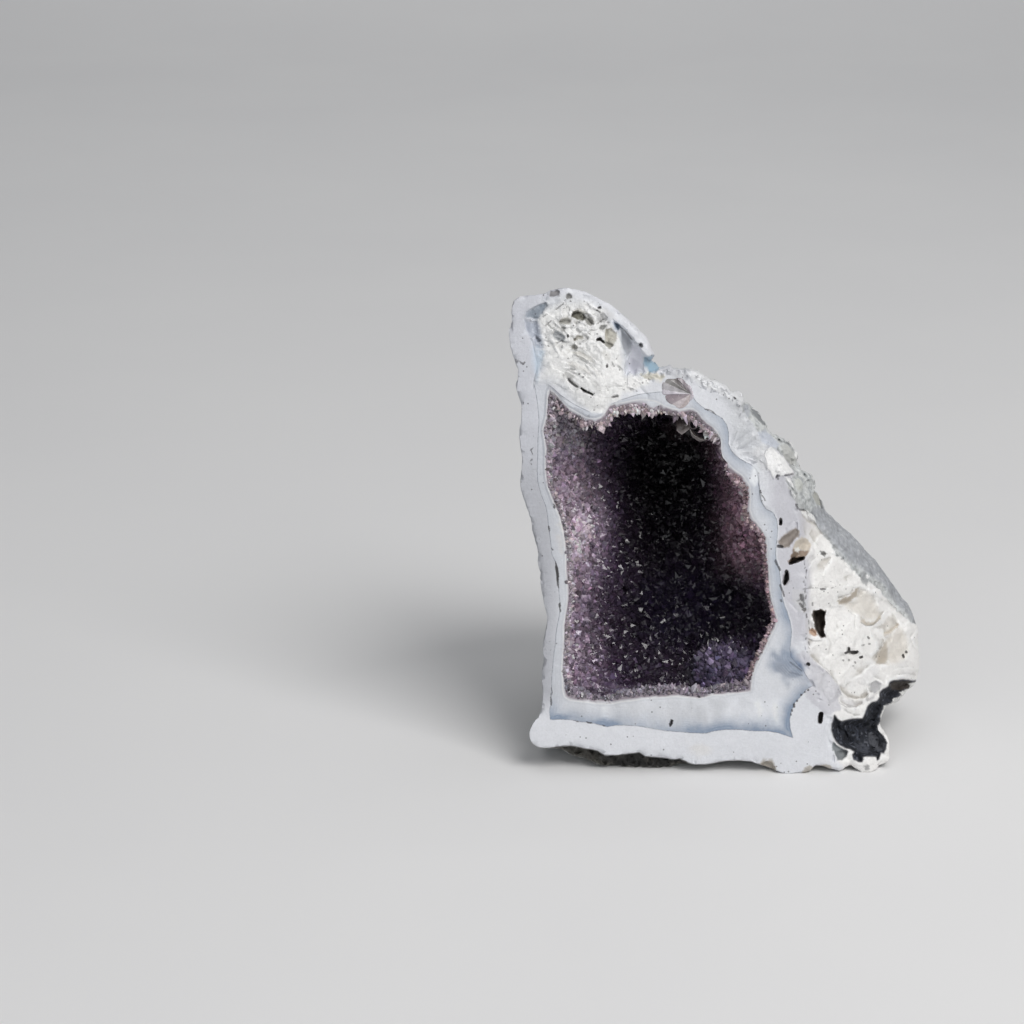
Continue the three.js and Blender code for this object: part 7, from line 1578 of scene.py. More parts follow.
COUNT = 110000
g = np.random.default_rng(77)
pick = g.choice(len(PT), COUNT, p=area / area.sum())
s1, s2 = np.sqrt(g.random(COUNT)), g.random(COUNT)
bary = np.stack([1 - s1, s1 * (1 - s2), s1 * s2], 1)
seat = pa[pick] * bary[:, :1] + pb[pick] * bary[:, 1:2] + pc[pick] * bary[:, 2:]
norm = vn[PT[pick]]
norm = (norm * bary[:, :, None]).sum(1)
norm /= np.linalg.norm(norm, axis=1, keepdims=True)
fu, fv, fw = face_from_row(seat)
sa, sb = seen(fu, fv, fw)


def spaced(points, spacing):
    """Indices of points left when those sharing a small cube with an earlier one are dropped."""
    key = np.floor(points / spacing[:, None]).astype(np.int64)
    key = (key[:, 0] * 73856093) ^ (key[:, 1] * 19349663) ^ (key[:, 2] * 83492791)
    _, first = np.unique(key, return_index=True)
    return np.sort(first)


shelf_t = lining(sa, sb)[0]
in_from_rim = look(-D_POCKET, sa, sb)
room = fw - look(FRONT_W, sa, sb)
CUT = (fw < 3.6) & (in_from_rim < shelf_t + 0.8)                      # the cut edge of the lining
LILAC = smooth(-sa + 1.6 * noise(fu, fv, fw, 9.0, 21.0), -36.1, -20.4)
RIGHT = smooth(sa, 68.0, 78.2) * smooth(sb, 59.8, 76.9)
FINE = np.clip(np.maximum(LILAC, 0.55 * RIGHT), 0, 1)
FINE = np.maximum(FINE, 0.8 * (1 - smooth(in_from_rim, 2.5, 6.0)))
spacing = np.where(CUT, 0.40, 0.98 * (1 - FINE) + 0.78 * FINE) * 1e-3
order = g.permutation(COUNT)
at = order[spaced(seat[order], spacing[order])]
extra = g.choice(COUNT, 9000, replace=False)                          # small ones in between
extra = extra[~CUT[extra] & (FINE[extra] < 0.6)]
small = np.concatenate([np.zeros(len(at), bool), np.ones(len(extra), bool)])
at = np.concatenate([at, extra])
ok = (room[at] > 0.28) | (in_from_rim[at] < -0.6)
ok &= ~((in_from_rim[at] < -1.5) & (fw[at] < 30))                     # never seen behind the rim
at, small = at[ok], small[ok]
seat, norm, fu, fv, fw, sa, sb, CUT, LILAC, RIGHT, FINE, in_from_rim, shelf_t, room = (x[at] for x in (seat, norm, fu, fv, fw, sa, sb, CUT, LILAC, RIGHT, FINE, in_from_rim, shelf_t, room))
n = len(seat)
print("seats", n, "cut", int(CUT.sum()), "small", int(small.sum()))

rgb = druse_colour(fu, fv, fw, sa, sb)
rgb *= np.exp(g.normal(0, 0.26, n))[:, None] * (np.array([1.0, 0.955, 1.07]) * (1 - LILAC)[:, None] + np.array([1.0, 0.985, 1.02]) * LILAC[:, None])
rgb *= (1 + 0.10 * smooth(blob(sa, sb, (16.3, 115.0), (10.19, 12.23), 0), 0, 0.6))[:, None]
rgb *= (1 - 0.44 * smooth(blob(sa, sb, (35.4, 53.6), (13.59, 22.42), 0), 0, 0.6))[:, None]
rgb *= (1 - 0.22 * smooth(blob(sa, sb, (40.1, 81.0), (11.55, 12.91), 0), 0, 0.6))[:, None]
rgb *= (1 - 0.34 * smooth(blob(sa, sb, (27.2, 97.3), (8.83, 11.55), 0), 0, 0.6))[:, None]
rgb *= (1 + 0.12 * RIGHT)[:, None] * np.exp(RIGHT * 0.55 * noise(fu, fv, fw, 3.4, 33.0))[:, None]
rgb *= np.exp(LILAC * 0.22 * noise(fu, fv, fw, 2.6, 34.0))[:, None]
# painted shadow on the floor round the mound and on the cave beside the right wall's edge, painted light along the
# inside of that edge, and the mound's crystals made paler
mound_at = polygon_distance([(62.76, 36.47), (65.81, 40.93), (69.21, 43.33), (72.95, 45.73), (76.69, 47.10), (80.43, 48.48), (85.20, 48.82), (88.62, 47.45), (87.97, 42.65), (85.28, 36.47), (83.27, 29.61), (77.81, 28.92), (69.28, 28.92), (64.16, 29.61)], sa, sb)
mound_at = mound_at + 0.7 * noise(fu, fv, fw, 2.4, 81.0)
wall_at = polygon_distance([(66.43, 127.87), (65.82, 114.30), (66.19, 106.15), (67.92, 100.03), (69.66, 92.20), (71.39, 84.36), (73.46, 78.56), (75.54, 72.76), (78.97, 67.30), (84.44, 63.19), (96.35, 63.19), (95.92, 127.87)], sa, sb)
wall_at = wall_at + 0.8 * noise(fu, fv, fw, 2.6, 83.0)
rgb *= 1 + np.array([0.15, 0.15, 0.24]) * smooth(-mound_at, -0.3, 0.7)[:, None]
rgb *= (1 - 0.38 * smooth(mound_at, 0.0, 0.8) * smooth(mound_at, 9.0, 3.0))[:, None]
rgb *= (1 + 0.18 * smooth(-wall_at, -0.2, 0.8) * smooth(-wall_at, 9.0, 3.5))[:, None]
rgb *= (1 - 0.38 * smooth(wall_at, 0.0, 0.9) * smooth(wall_at, 12.0, 4.0))[:, None]
size = np.exp(g.normal(math.log(0.84), 0.40, n)) * (1 - FINE) + np.exp(g.normal(math.log(0.68), 0.36, n)) * FINE
size = np.clip(size, 0.25, 1.8)
gloom = np.clip(blob(sa, sb, (50.9, 104.8), (19.71, 22.42), 0) * 2.2, 0, 1)
size[small] = g.uniform(0.22, 0.42, small.sum())
body = size * g.uniform(0.05, 0.45, n) * (1 - 0.4 * FINE)
tip = size * g.uniform(0.75, 1.15, n)
tilt = g.normal(0, 0.36, (n, 3)) * (1 - 0.40 * LILAC)[:, None]
body[small] = g.uniform(0.35, 0.8, small.sum())
tilt[small] *= 1.5
giant = (~CUT) & (FINE < 0.75) & (size > 0.70) | small
# here and there on the pale wall a larger one
stand = (~CUT) & (FINE > 0.5) & (g.random(n) < np.where(RIGHT > 0.3, 0.24, 0.13)) & (in_from_rim > 1.2)
size[stand] = g.uniform(0.75, 1.40, stand.sum()); body[stand] = size[stand] * g.uniform(0.3, 0.8, stand.sum()); tip[stand] = size[stand] * g.uniform(0.9, 1.2, stand.sum())
tilt[stand] = g.normal(0, 0.5, (stand.sum(), 3))
rgb[stand] *= np.exp(g.normal(0.05, 0.42, stand.sum()))[:, None]
giant |= stand
floor_zone = smooth(blob(sa, sb, (48.7, 53.6), (21.06, 24.46), 0), 0, 0.5)
giant &= g.random(n) > np.maximum(0.85 * gloom, 0.42 * floor_zone)                                 # few that catch the light deep in the cave
# the low mound carries upright crystals
mound = smooth(blob(sa, sb, (73.7, 36.5), (12.23, 10.19), 0), 0, 0.3) * (~CUT)
up = mound * (g.random(n) < 0.7) * (~small)
size = np.where(up > 0.3, g.uniform(0.60, 1.35, n), size)
body = np.where(up > 0.3, size * g.uniform(0.7, 1.7, n), body); tip = np.where(up > 0.3, size * g.uniform(1.2, 1.6, n), tip)
rgb *= np.where(up > 0.3, g.choice([0.55, 0.8, 1.0, 1.5], n, p=[0.3, 0.3, 0.25, 0.15]), 1.0)[:, None]
lift = np.array([[0.0, -0.25, 0.85]])
axis = norm + tilt + lift * up[:, None]
# the cut edge: sugary broken grains lying every way
m = CUT
across = np.stack([-(sa - 50.3), -(sb - 75.2) * 0.8, np.zeros(n)], 1); across /= np.linalg.norm(across, axis=1, keepdims=True)
inward = np.stack([across[:, 0], across[:, 1] * SL, across[:, 1] * CL], 1)
shard = norm * 0.35 + inward * 0.75 + g.normal(0, 0.55, (n, 3))
axis[m] = shard[m]
size[m] = np.clip(np.exp(g.normal(math.log(0.36), 0.32, m.sum())), 0.18, 0.8)
lip = m & (in_from_rim > shelf_t - 1.2) & (g.random(n) < 0.55)
size[lip] *= 1.45
body[m] = size[m] * g.uniform(0.1, 0.9, m.sum()); tip[m] = size[m] * g.uniform(0.7, 1.4, m.sum())
body[lip] += 0.25; tip[lip] *= 1.3
hang = lip & (sb > 110.2) & (g.random(n) < 0.42)
size[hang] *= 1.30; body[hang] += 0.45; tip[hang] *= 1.75
axis[hang] = (norm * 0.2 + inward * 1.0 + g.normal(0, 0.30, (n, 3)))[hang]
_, top, bottom, right, left = lining(sa, sb)
root = (tint(150, 142, 150) * 1.1 * top[:, None] + tint(108, 103, 114) * bottom[:, None] + tint(132, 112, 118) * right[:, None] + tint(150, 142, 150) * left[:, None]) / (top + bottom + right + left)[:, None]
end = (tint(226, 208, 212) * 1.15 * top[:, None] + tint(164, 156, 168) * bottom[:, None] + tint(216, 192, 198) * right[:, None] + tint(186, 176, 184) * left[:, None]) / (top + bottom + right + left)[:, None]
reach = smooth(in_from_rim / (shelf_t + 0.1) + 0.25 * noise(fu, fv, fw, 2.0, 71.0), 0.15, 0.95)[:, None]
cutc = (root * (1 - reach) + end * reach) * np.exp(g.normal(-0.05, 0.40, n))[:, None]
rgb[m] = cutc[m]
axis /= np.linalg.norm(axis, axis=1, keepdims=True)
size = np.clip(size, 0.18, 1.9)
# keep everything behind the flat face and inside the edge of the pocket
room = np.where(in_from_rim > -0.6, np.clip(room - 0.08, 0.12, None), 50.0)
reach_out = np.maximum(-(axis[:, 1] * CL - axis[:, 2] * SL) * (body + tip), 0) + 0.35 * size
fit = np.clip(room / np.maximum(reach_out, 1e-3), 0.25, 1.0)
edge_on = (fw < 5) & (in_from_rim > -0.6)
fit = np.where(edge_on, np.minimum(fit, np.clip((np.maximum(in_from_rim, 0) + 0.25) / size, 0.3, 1.0)), fit)
size, body, tip = size * fit, body * fit, tip * fit

DRUSE_OBJS, BIG_OBJS = [], []
big = giant & ~CUT
proud = np.nonzero(big)[0]
proud = proud[np.argsort(fv[proud], kind="stable")]
for i, part in enumerate(np.array_split(proud, max(1, int(math.ceil(len(proud) / 10500))))):
    v, f = points_of_quartz(seat[part], axis[part], size[part] * 1e-3, body[part] * 1e-3, tip[part] * 1e-3, size[part] * 0.9e-3, g)
    BIG_OBJS.append(druse_object("amethyst_points_%d" % (i + 1), v, f, 8, rgb[part], g))
ground = np.nonzero(~big)[0]
ground = ground[np.argsort(fv[ground], kind="stable")]
print("big", int(big.sum()))
PARTS = max(1, int(math.ceil(len(ground) / 15500)))
for i, part in enumerate(np.array_split(ground, PARTS)):
    v, f = points_of_quartz(seat[part], axis[part], size[part] * 1e-3, body[part] * 1e-3, tip[part] * 1e-3, size[part] * 0.9e-3, g)
    DRUSE_OBJS.append(druse_object("amethyst_druse_%d" % (i + 1), v, f, 8, rgb[part], g))
print("druse", n, PARTS, "triangles", n * 12, round(time.time() - T0, 1))

# larger pale points along the inner lip of the lining
def along(poly, step):
    p = np.asarray(poly, float); q = np.roll(p, -1, 0)
    out, nrm = [], []
    for (x1, y1), (x2, y2) in zip(p, q):
        L = math.hypot(x2 - x1, y2 - y1)
        k = max(1, int(round(L / step)))
        for i in range(k):
            t = (i + 0.5) / k
            out.append((x1 + (x2 - x1) * t, y1 + (y2 - y1) * t))
            nrm.append(((y2 - y1) / L, -(x2 - x1) / L))
    return np.array(out), np.array(nrm)


rim_pts, rim_n = along(POCKET, 0.62)
probe = look(D_POCKET, *(rim_pts + rim_n * 0.5).T)
rim_n[probe > 0] *= -1                                      # pointing into the pocket
k = 4
rim_n = sum(np.roll(rim_n, d, 0) for d in range(-k, k + 1)); rim_n /= np.linalg.norm(rim_n, axis=1, keepdims=True)
g = np.random.default_rng(99)
P, Wd, Dr, Sz = [], [], [], []
for depth in (0.75, 1.5, 2.4):
    thick, top, bottom, right, left = lining(rim_pts[:, 0], rim_pts[:, 1])
    back_off = thick * g.uniform(0.45, 0.92, len(rim_pts)) - 0.35
    p = rim_pts + rim_n * np.maximum(back_off, 0.25)[:, None] + g.normal(0, 0.2, rim_pts.shape)
    ok = (g.random(len(p)) < 0.50 * np.clip(top + 0.8 * bottom + 0.5 * right, 0, 1) + 0.05 * left)
    d = np.stack([rim_n[:, 0], rim_n[:, 1], np.full(len(p), 0.05 + 0.08 * depth)], 1) + g.normal(0, 0.62, (len(p), 3)) * np.array([1, 1, 0.7])
    P.append(p[ok]); Wd.append(depth + g.normal(0, 0.15, ok.sum())); Dr.append(d[ok])
    Sz.append(np.clip(np.exp(g.normal(math.log(0.50), 0.30, ok.sum())), 0.28, 1.0))
P, Wd, Dr, Sz = (np.concatenate(q) for q in (P, Wd, Dr, Sz))
# a few that stand out: place, how thick, how long
for (x, y), r, tall, lean, w in (((20.8, 26.2), 1.15, 1.8, 0.1, 1.6), ((18.8, 26.9), 0.9, 1.6, -0.3, 1.5), ((27.0, 25.8), 1.05, 1.7, 0.05, 1.5), ((39.3, 25.8), 0.95, 1.5, -0.1, 1.4),
                                 ((43.7, 26.2), 0.8, 1.3, 0.25, 1.5), ((34.1, 25.5), 0.75, 1.2, 0.2, 1.4), ((48.8, 27.2), 0.8, 1.4, -0.2, 1.5), ((30.0, 25.8), 0.7, 1.5, -0.3, 1.4),
                                 ((60.8, 27.2), 0.7, 1.2, 0.2, 1.6), ((68.3, 27.5), 0.75, 1.3, -0.2, 1.6), ((77.8, 28.6), 0.8, 1.3, 0.15, 1.7)):
    P = np.append(P, [[x, y]], 0); Wd = np.append(Wd, w); Dr = np.append(Dr, [[lean, 1.0, 0.15]], 0); Sz = np.append(Sz, -r - 0.001 * tall)
authored = Sz < 0
Sz = np.abs(Sz)
seat2 = to_row(P[:, 0], P[:, 1], Wd)
axis2 = np.stack([Dr[:, 0], Dr[:, 1] * SL + Dr[:, 2] * CL, Dr[:, 1] * CL - Dr[:, 2] * SL], 1)
axis2 /= np.linalg.norm(axis2, axis=1, keepdims=True)
rad = Sz * 1e-3
_, top, bottom, right, left = lining(P[:, 0], P[:, 1])
tone = (tint(226, 210, 214) * 1.15 * top[:, None] + tint(182, 174, 186) * bottom[:, None] + tint(214, 190, 196) * right[:, None] + tint(180, 170, 178) * left[:, None]) / (top + bottom + right + left)[:, None]
tone[authored] = tint(196, 190, 200)
bodyl = rad * g.uniform(0.1, 0.9, len(P)); tipl = rad * g.uniform(0.9, 1.5, len(P))
tone = tone * np.exp(g.normal(-0.05, 0.30, len(P)))[:, None]
v, f = prisms_of_quartz(seat2, axis2, rad, bodyl, tipl, rad * 1.2, g)
RIM = druse_object("rim_crystals", v, f, 14, tone, g)
print("rim", len(P), len(f), round(time.time() - T0, 1))

# ------------------------------------------------------------------ the small glassy fluted nodule on the rim
NODULE_LINE = [(50.15, 131.26), (50.48, 133.63), (51.83, 135.15), (54.20, 135.32), (55.89, 135.66), (57.59, 135.32), (59.29, 133.63), (61.00, 131.26), (61.34, 129.90), (60.33, 127.53), (58.31, 125.16), (56.62, 124.82), (54.58, 125.67), (52.54, 127.02), (51.52, 128.55), (50.50, 129.56)]
FLUTES = (       # where each flat begins, going round from the right over the top: place on the line, colour, tilt
    (1.216, (195, 187, 195), 0.35),
    (1.911, (145, 137, 143), -0.50),
    (2.310, (116, 111, 111), -0.25),
    (2.525, (151, 149, 147), 0.45),
    (2.731, (193, 190, 193), 0.25),
    (2.979, (217, 212, 220), -0.25),
    (3.175, (165, 154, 160), -0.45),
    (3.373, (176, 165, 170), 0.30),
    (3.656, (215, 205, 207), -0.35),
    (4.020, (202, 190, 189), 0.45),
    (4.551, (209, 202, 209), -0.20),
)


def nodule():
    """A small lobe of clear quartz whose flats fan out from one corner."""
    fx, fy = (60.5, 129.9)
    line = np.asarray(NODULE_LINE, float)
    ang = np.arctan2(line[:, 1] - fy, line[:, 0] - fx) % math.tau
    dist = np.hypot(line[:, 0] - fx, line[:, 1] - fy)
    order = np.argsort(ang); ang, dist = ang[order], dist[order]
    start = np.array([f[0] for f in FLUTES]); order = np.argsort(start)
    start = start[order]; flats = [FLUTES[i] for i in order]
    n_ang, n_rad = 144, 18
    verts, cols = [(fx, fy, -0.10)], [tint(205, 202, 206)]
    grid = np.linspace(0, math.tau, n_ang, endpoint=False)
    for i in range(1, n_rad + 1):
        s = i / n_rad
        for t in grid:
            R = float(np.interp(t, ang, dist, period=math.tau))
            x, y = fx + R * s * math.cos(t), fy + R * s * math.sin(t)
            k = int(np.searchsorted(start, t, side="right")) - 1
            flat = flats[k]; lo = start[k] if k >= 0 else start[-1] - math.tau; hi = start[(k + 1) % len(start)]
            if hi <= lo:
                hi += math.tau
            q = ((t - lo) % math.tau) / max(hi - lo, 1e-6)
            far = min(1.0, R * s / 4.0)
            h = -0.15 - 0.75 * math.sin(math.pi * min(1.0, s)) * 0.5 + far * (flat[2] * (q - 0.5) * 1.1 + 0.30 * abs(flat[2]) + 0.12 * math.sin(9 * t + 5 * s))
            if s > 0.90:
                h += ((s - 0.90) / 0.10) ** 2 * 0.9
            c = tint(*flat[1]) * 1.12 * (0.93 + 0.12 * s) * (1 + 0.05 * math.sin(23 * s + 3 * t))
            verts.append((x, y, h)); cols.append(c)
    faces = [(0, 1 + j, 1 + (j + 1) % n_ang) for j in range(n_ang)]
    for i in range(n_rad - 1):
        for j in range(n_ang):
            a, b = 1 + i * n_ang + j, 1 + i * n_ang + (j + 1) % n_ang
            faces += [(a, a + n_ang, b + n_ang), (a, b + n_ang, b)]
    last = 1 + (n_rad - 1) * n_ang
    low = len(verts)
    cx, cy = line.mean(0)
    for j in range(n_ang):
        x, y, h = verts[last + j]
        verts.append((cx + (x - cx) * 0.8, cy + (y - cy) * 0.8, 3.0)); cols.append(tint(110, 104, 106))
    for j in range(n_ang):
        a, b = last + j, last + (j + 1) % n_ang
        faces += [(a, low + j, low + (j + 1) % n_ang), (a, low + (j + 1) % n_ang, b)]
    verts.append((cx, cy, 3.4)); cols.append(tint(110, 104, 106)); end = len(verts) - 1
    for j in range(n_ang):
        faces.append((low + j, end, low + (j + 1) % n_ang))
    verts = np.array(verts); faces = np.array(faces)
    r = to_row(verts[:, 0], verts[:, 1], verts[:, 2])
    if signed_volume(r, faces) < 0:
        faces = faces[:, ::-1].copy()
    m = make_mesh("glassy_nodule", r, faces, smooth_shade=False)
    add_attribute(m, "Tint", np.clip(np.array(cols), 0, 1), "FLOAT_COLOR")
    o = bpy.data.objects.new("glassy_nodule", m)
    bpy.context.scene.collection.objects.link(o)
    return o


NODULE = nodule()


def curls():
    """Two thin curled lobes of grey chalcedony and a little ring, hanging from the lip of the lining."""
    verts, cols, faces, starts = [], [], [], []

    def resample(line, n):
        p = np.asarray(line, float)
        s = np.concatenate([[0], np.cumsum(np.hypot(*(p[1:] - p[:-1]).T))]); s /= s[-1]
        t = np.linspace(0, 1, n)
        q = np.stack([np.interp(t, s, p[:, 0]), np.interp(t, s, p[:, 1])], 1)
        for _ in range(3):
            q[1:-1] = (q[:-2] + 2 * q[1:-1] + q[2:]) / 4
        return q

    def loft(inner, outer, w0, w1, thick, dark, pale, n=28, k=16):
        """Lens-shaped sections from the inner to the outer margin; w0 and w1 are the depths of the margins."""
        I, O = resample(inner, n), resample(outer, n)
        base = len(verts); starts.append(len(faces))
        for i in range(n):
            ease = math.sin(math.pi * min(1.0, max(0.0, (i + 0.6) / (n + 0.2)))) ** 0.5
            for j in range(k):
                q = j / k * math.tau
                x = 0.5 - 0.5 * math.cos(q)
                p = I[i] * (1 - x) + O[i] * x
                h = w0 * (1 - x) + w1 * x - 0.9 * math.sin(math.pi * x) * ease + thick * ease * math.sin(q)
                verts.append((p[0], p[1], h))
                e = min(1.0, max(0.0, (x - 0.80) / 0.15))
                c = tint(*dark) * (1 - e) + tint(*pale) * e
                cols.append(c * (1 + 0.10 * math.sin(9 * x + 0.7 * i)))
        for i in range(n - 1):
            for j in range(k):
                a, b = base + i * k + j, base + i * k + (j + 1) % k
                faces.extend([(a, b, b + k), (a, b + k, a + k)])
        for i, turn in ((0, 1), (n - 1, -1)):
            c = len(verts)
            ring = [base + i * k + j for j in range(k)]
            verts.append(tuple(np.mean([verts[r] for r in ring], 0))); cols.append(tint(*dark))
            for j in range(k):
                a, b = ring[j], ring[(j + 1) % k]
                faces.append((c, b, a) if turn > 0 else (c, a, b))

    loft([(60.71, 118.54), (61.39, 117.70), (62.93, 116.17), (64.63, 115.32), (66.49, 115.32), (68.18, 116.17)], [(60.31, 118.04), (61.06, 115.32), (63.79, 113.49), (66.16, 114.13), (67.51, 114.98), (68.52, 115.83)], 4.6, 3.0, 0.30, (92, 85, 83), (158, 150, 150))
    loft([(55.95, 121.09), (57.31, 121.77), (59.00, 122.11), (60.36, 122.11)], [(55.97, 117.36), (57.67, 115.80), (59.02, 116.68), (60.54, 117.97)], 4.8, 3.2, 0.30, (84, 77, 76), (150, 142, 142))
    # the ring: a round cord
    cx, cy = (61.7, 119.5)
    base = len(verts); n, k = 30, 8; starts.append(len(faces))
    for i in range(n):
        t = i / n * math.tau
        rx, ry = 1.33 * (1 + 0.08 * math.sin(3 * t)), 1.60 * (1 + 0.06 * math.cos(2 * t))
        for j in range(k):
            q = j / k * math.tau
            d = 0.22 * math.cos(q)
            verts.append((cx + (rx + d) * math.cos(t), cy + (ry + d) * math.sin(t), 3.3 + 0.22 * math.sin(q) - 0.3 * math.sin(t)))
            cols.append(tint(140, 130, 132) * (1 + 0.25 * math.sin(t + 0.6)))
    for i in range(n):
        for j in range(k):
            a, b = base + i * k + j, base + i * k + (j + 1) % k
            c, d = base + (i + 1) % n * k + j, base + (i + 1) % n * k + (j + 1) % k
            faces.extend([(a, b, d), (a, d, c)])
    verts = np.array(verts); faces = np.array(faces)
    r = to_row(verts[:, 0], verts[:, 1], verts[:, 2])
    for lo, hi in zip(starts, starts[1:] + [len(faces)]):
        if signed_volume(r, faces[lo:hi]) < 0:
            faces[lo:hi] = faces[lo:hi, ::-1].copy()
    m = make_mesh("grey_curls", r, faces, smooth_shade=True)
    add_attribute(m, "Tint", np.clip(np.array(cols), 0, 1), "FLOAT_COLOR")
    o = bpy.data.objects.new("grey_curls", m)
    bpy.context.scene.collection.objects.link(o)
    return o


CURLS = curls()

# ------------------------------------------------------------------ materials
def new_material(name):
    m = bpy.data.materials.new(name); m.use_nodes = True
    nt = m.node_tree
    for node in list(nt.nodes):
        nt.nodes.remove(node)
    out = nt.nodes.new("ShaderNodeOutputMaterial")
    bsdf = nt.nodes.new("ShaderNodeBsdfPrincipled")
    nt.links.new(bsdf.outputs[0], out.inputs["Surface"])
    return m, nt, bsdf


class Graph:
    def __init__(self, nt):
        self.nt = nt
        self.coord = nt.nodes.new("ShaderNodeTexCoord").outputs["Object"]

    def node(self, kind, **settings):
        n = self.nt.nodes.new(kind)
        for k, v in settings.items():
            setattr(n, k, v)
        return n

    def put(self, socket, value):
        if hasattr(value, "is_output"):
            self.nt.links.new(value, socket)
        else:
            socket.default_value = value

    def attr(self, name, out="Fac"):
        n = self.node("ShaderNodeAttribute", attribute_name=name)
        return n.outputs[out]

    def math(self, op, a, b=0.0, c=None, clamp=False):
        n = self.node("ShaderNodeMath", operation=op, use_clamp=clamp)
        self.put(n.inputs[0], a); self.put(n.inputs[1], b)
        if c is not None:
            self.put(n.inputs[2], c)
        return n.outputs[0]

    def band(self, x, lo, hi, a=0.0, b=1.0, kind="SMOOTHSTEP"):
        n = self.node("ShaderNodeMapRange", interpolation_type=kind, clamp=True) if kind == "LINEAR" else self.node("ShaderNodeMapRange", interpolation_type=kind)
        self.put(n.inputs[0], x)
        for i, v in enumerate((lo, hi, a, b)):
            self.put(n.inputs[1 + i], v)
        return n.outputs[0]

    def mix(self, f, a, b, kind="MIX"):
        n = self.node("ShaderNodeMix", data_type="RGBA", blend_type=kind)
        self.put(n.inputs[0], f); self.put(n.inputs[6], a); self.put(n.inputs[7], b)
        return n.outputs[2]

    def noise(self, scale, detail=3.0, rough=0.55, stretch=None, out="Fac", distort=0.0):
        n = self.node("ShaderNodeTexNoise")
        v = self.coord
        if stretch:
            m = self.node("ShaderNodeMapping"); self.put(m.inputs[0], v); m.inputs["Scale"].default_value = stretch; v = m.outputs[0]
        self.put(n.inputs["Vector"], v)
        n.inputs["Scale"].default_value = scale; n.inputs["Detail"].default_value = detail; n.inputs["Roughness"].default_value = rough
        n.inputs["Distortion"].default_value = distort
        return n.outputs[out]

    def voronoi(self, scale, feature="F1", out="Distance"):
        n = self.node("ShaderNodeTexVoronoi", feature=feature)
        self.put(n.inputs["Vector"], self.coord); n.inputs["Scale"].default_value = scale
        return n.outputs[out]


def rgb4(r, g, b):
    return tuple(tint(r, g, b)) + (1.0,)


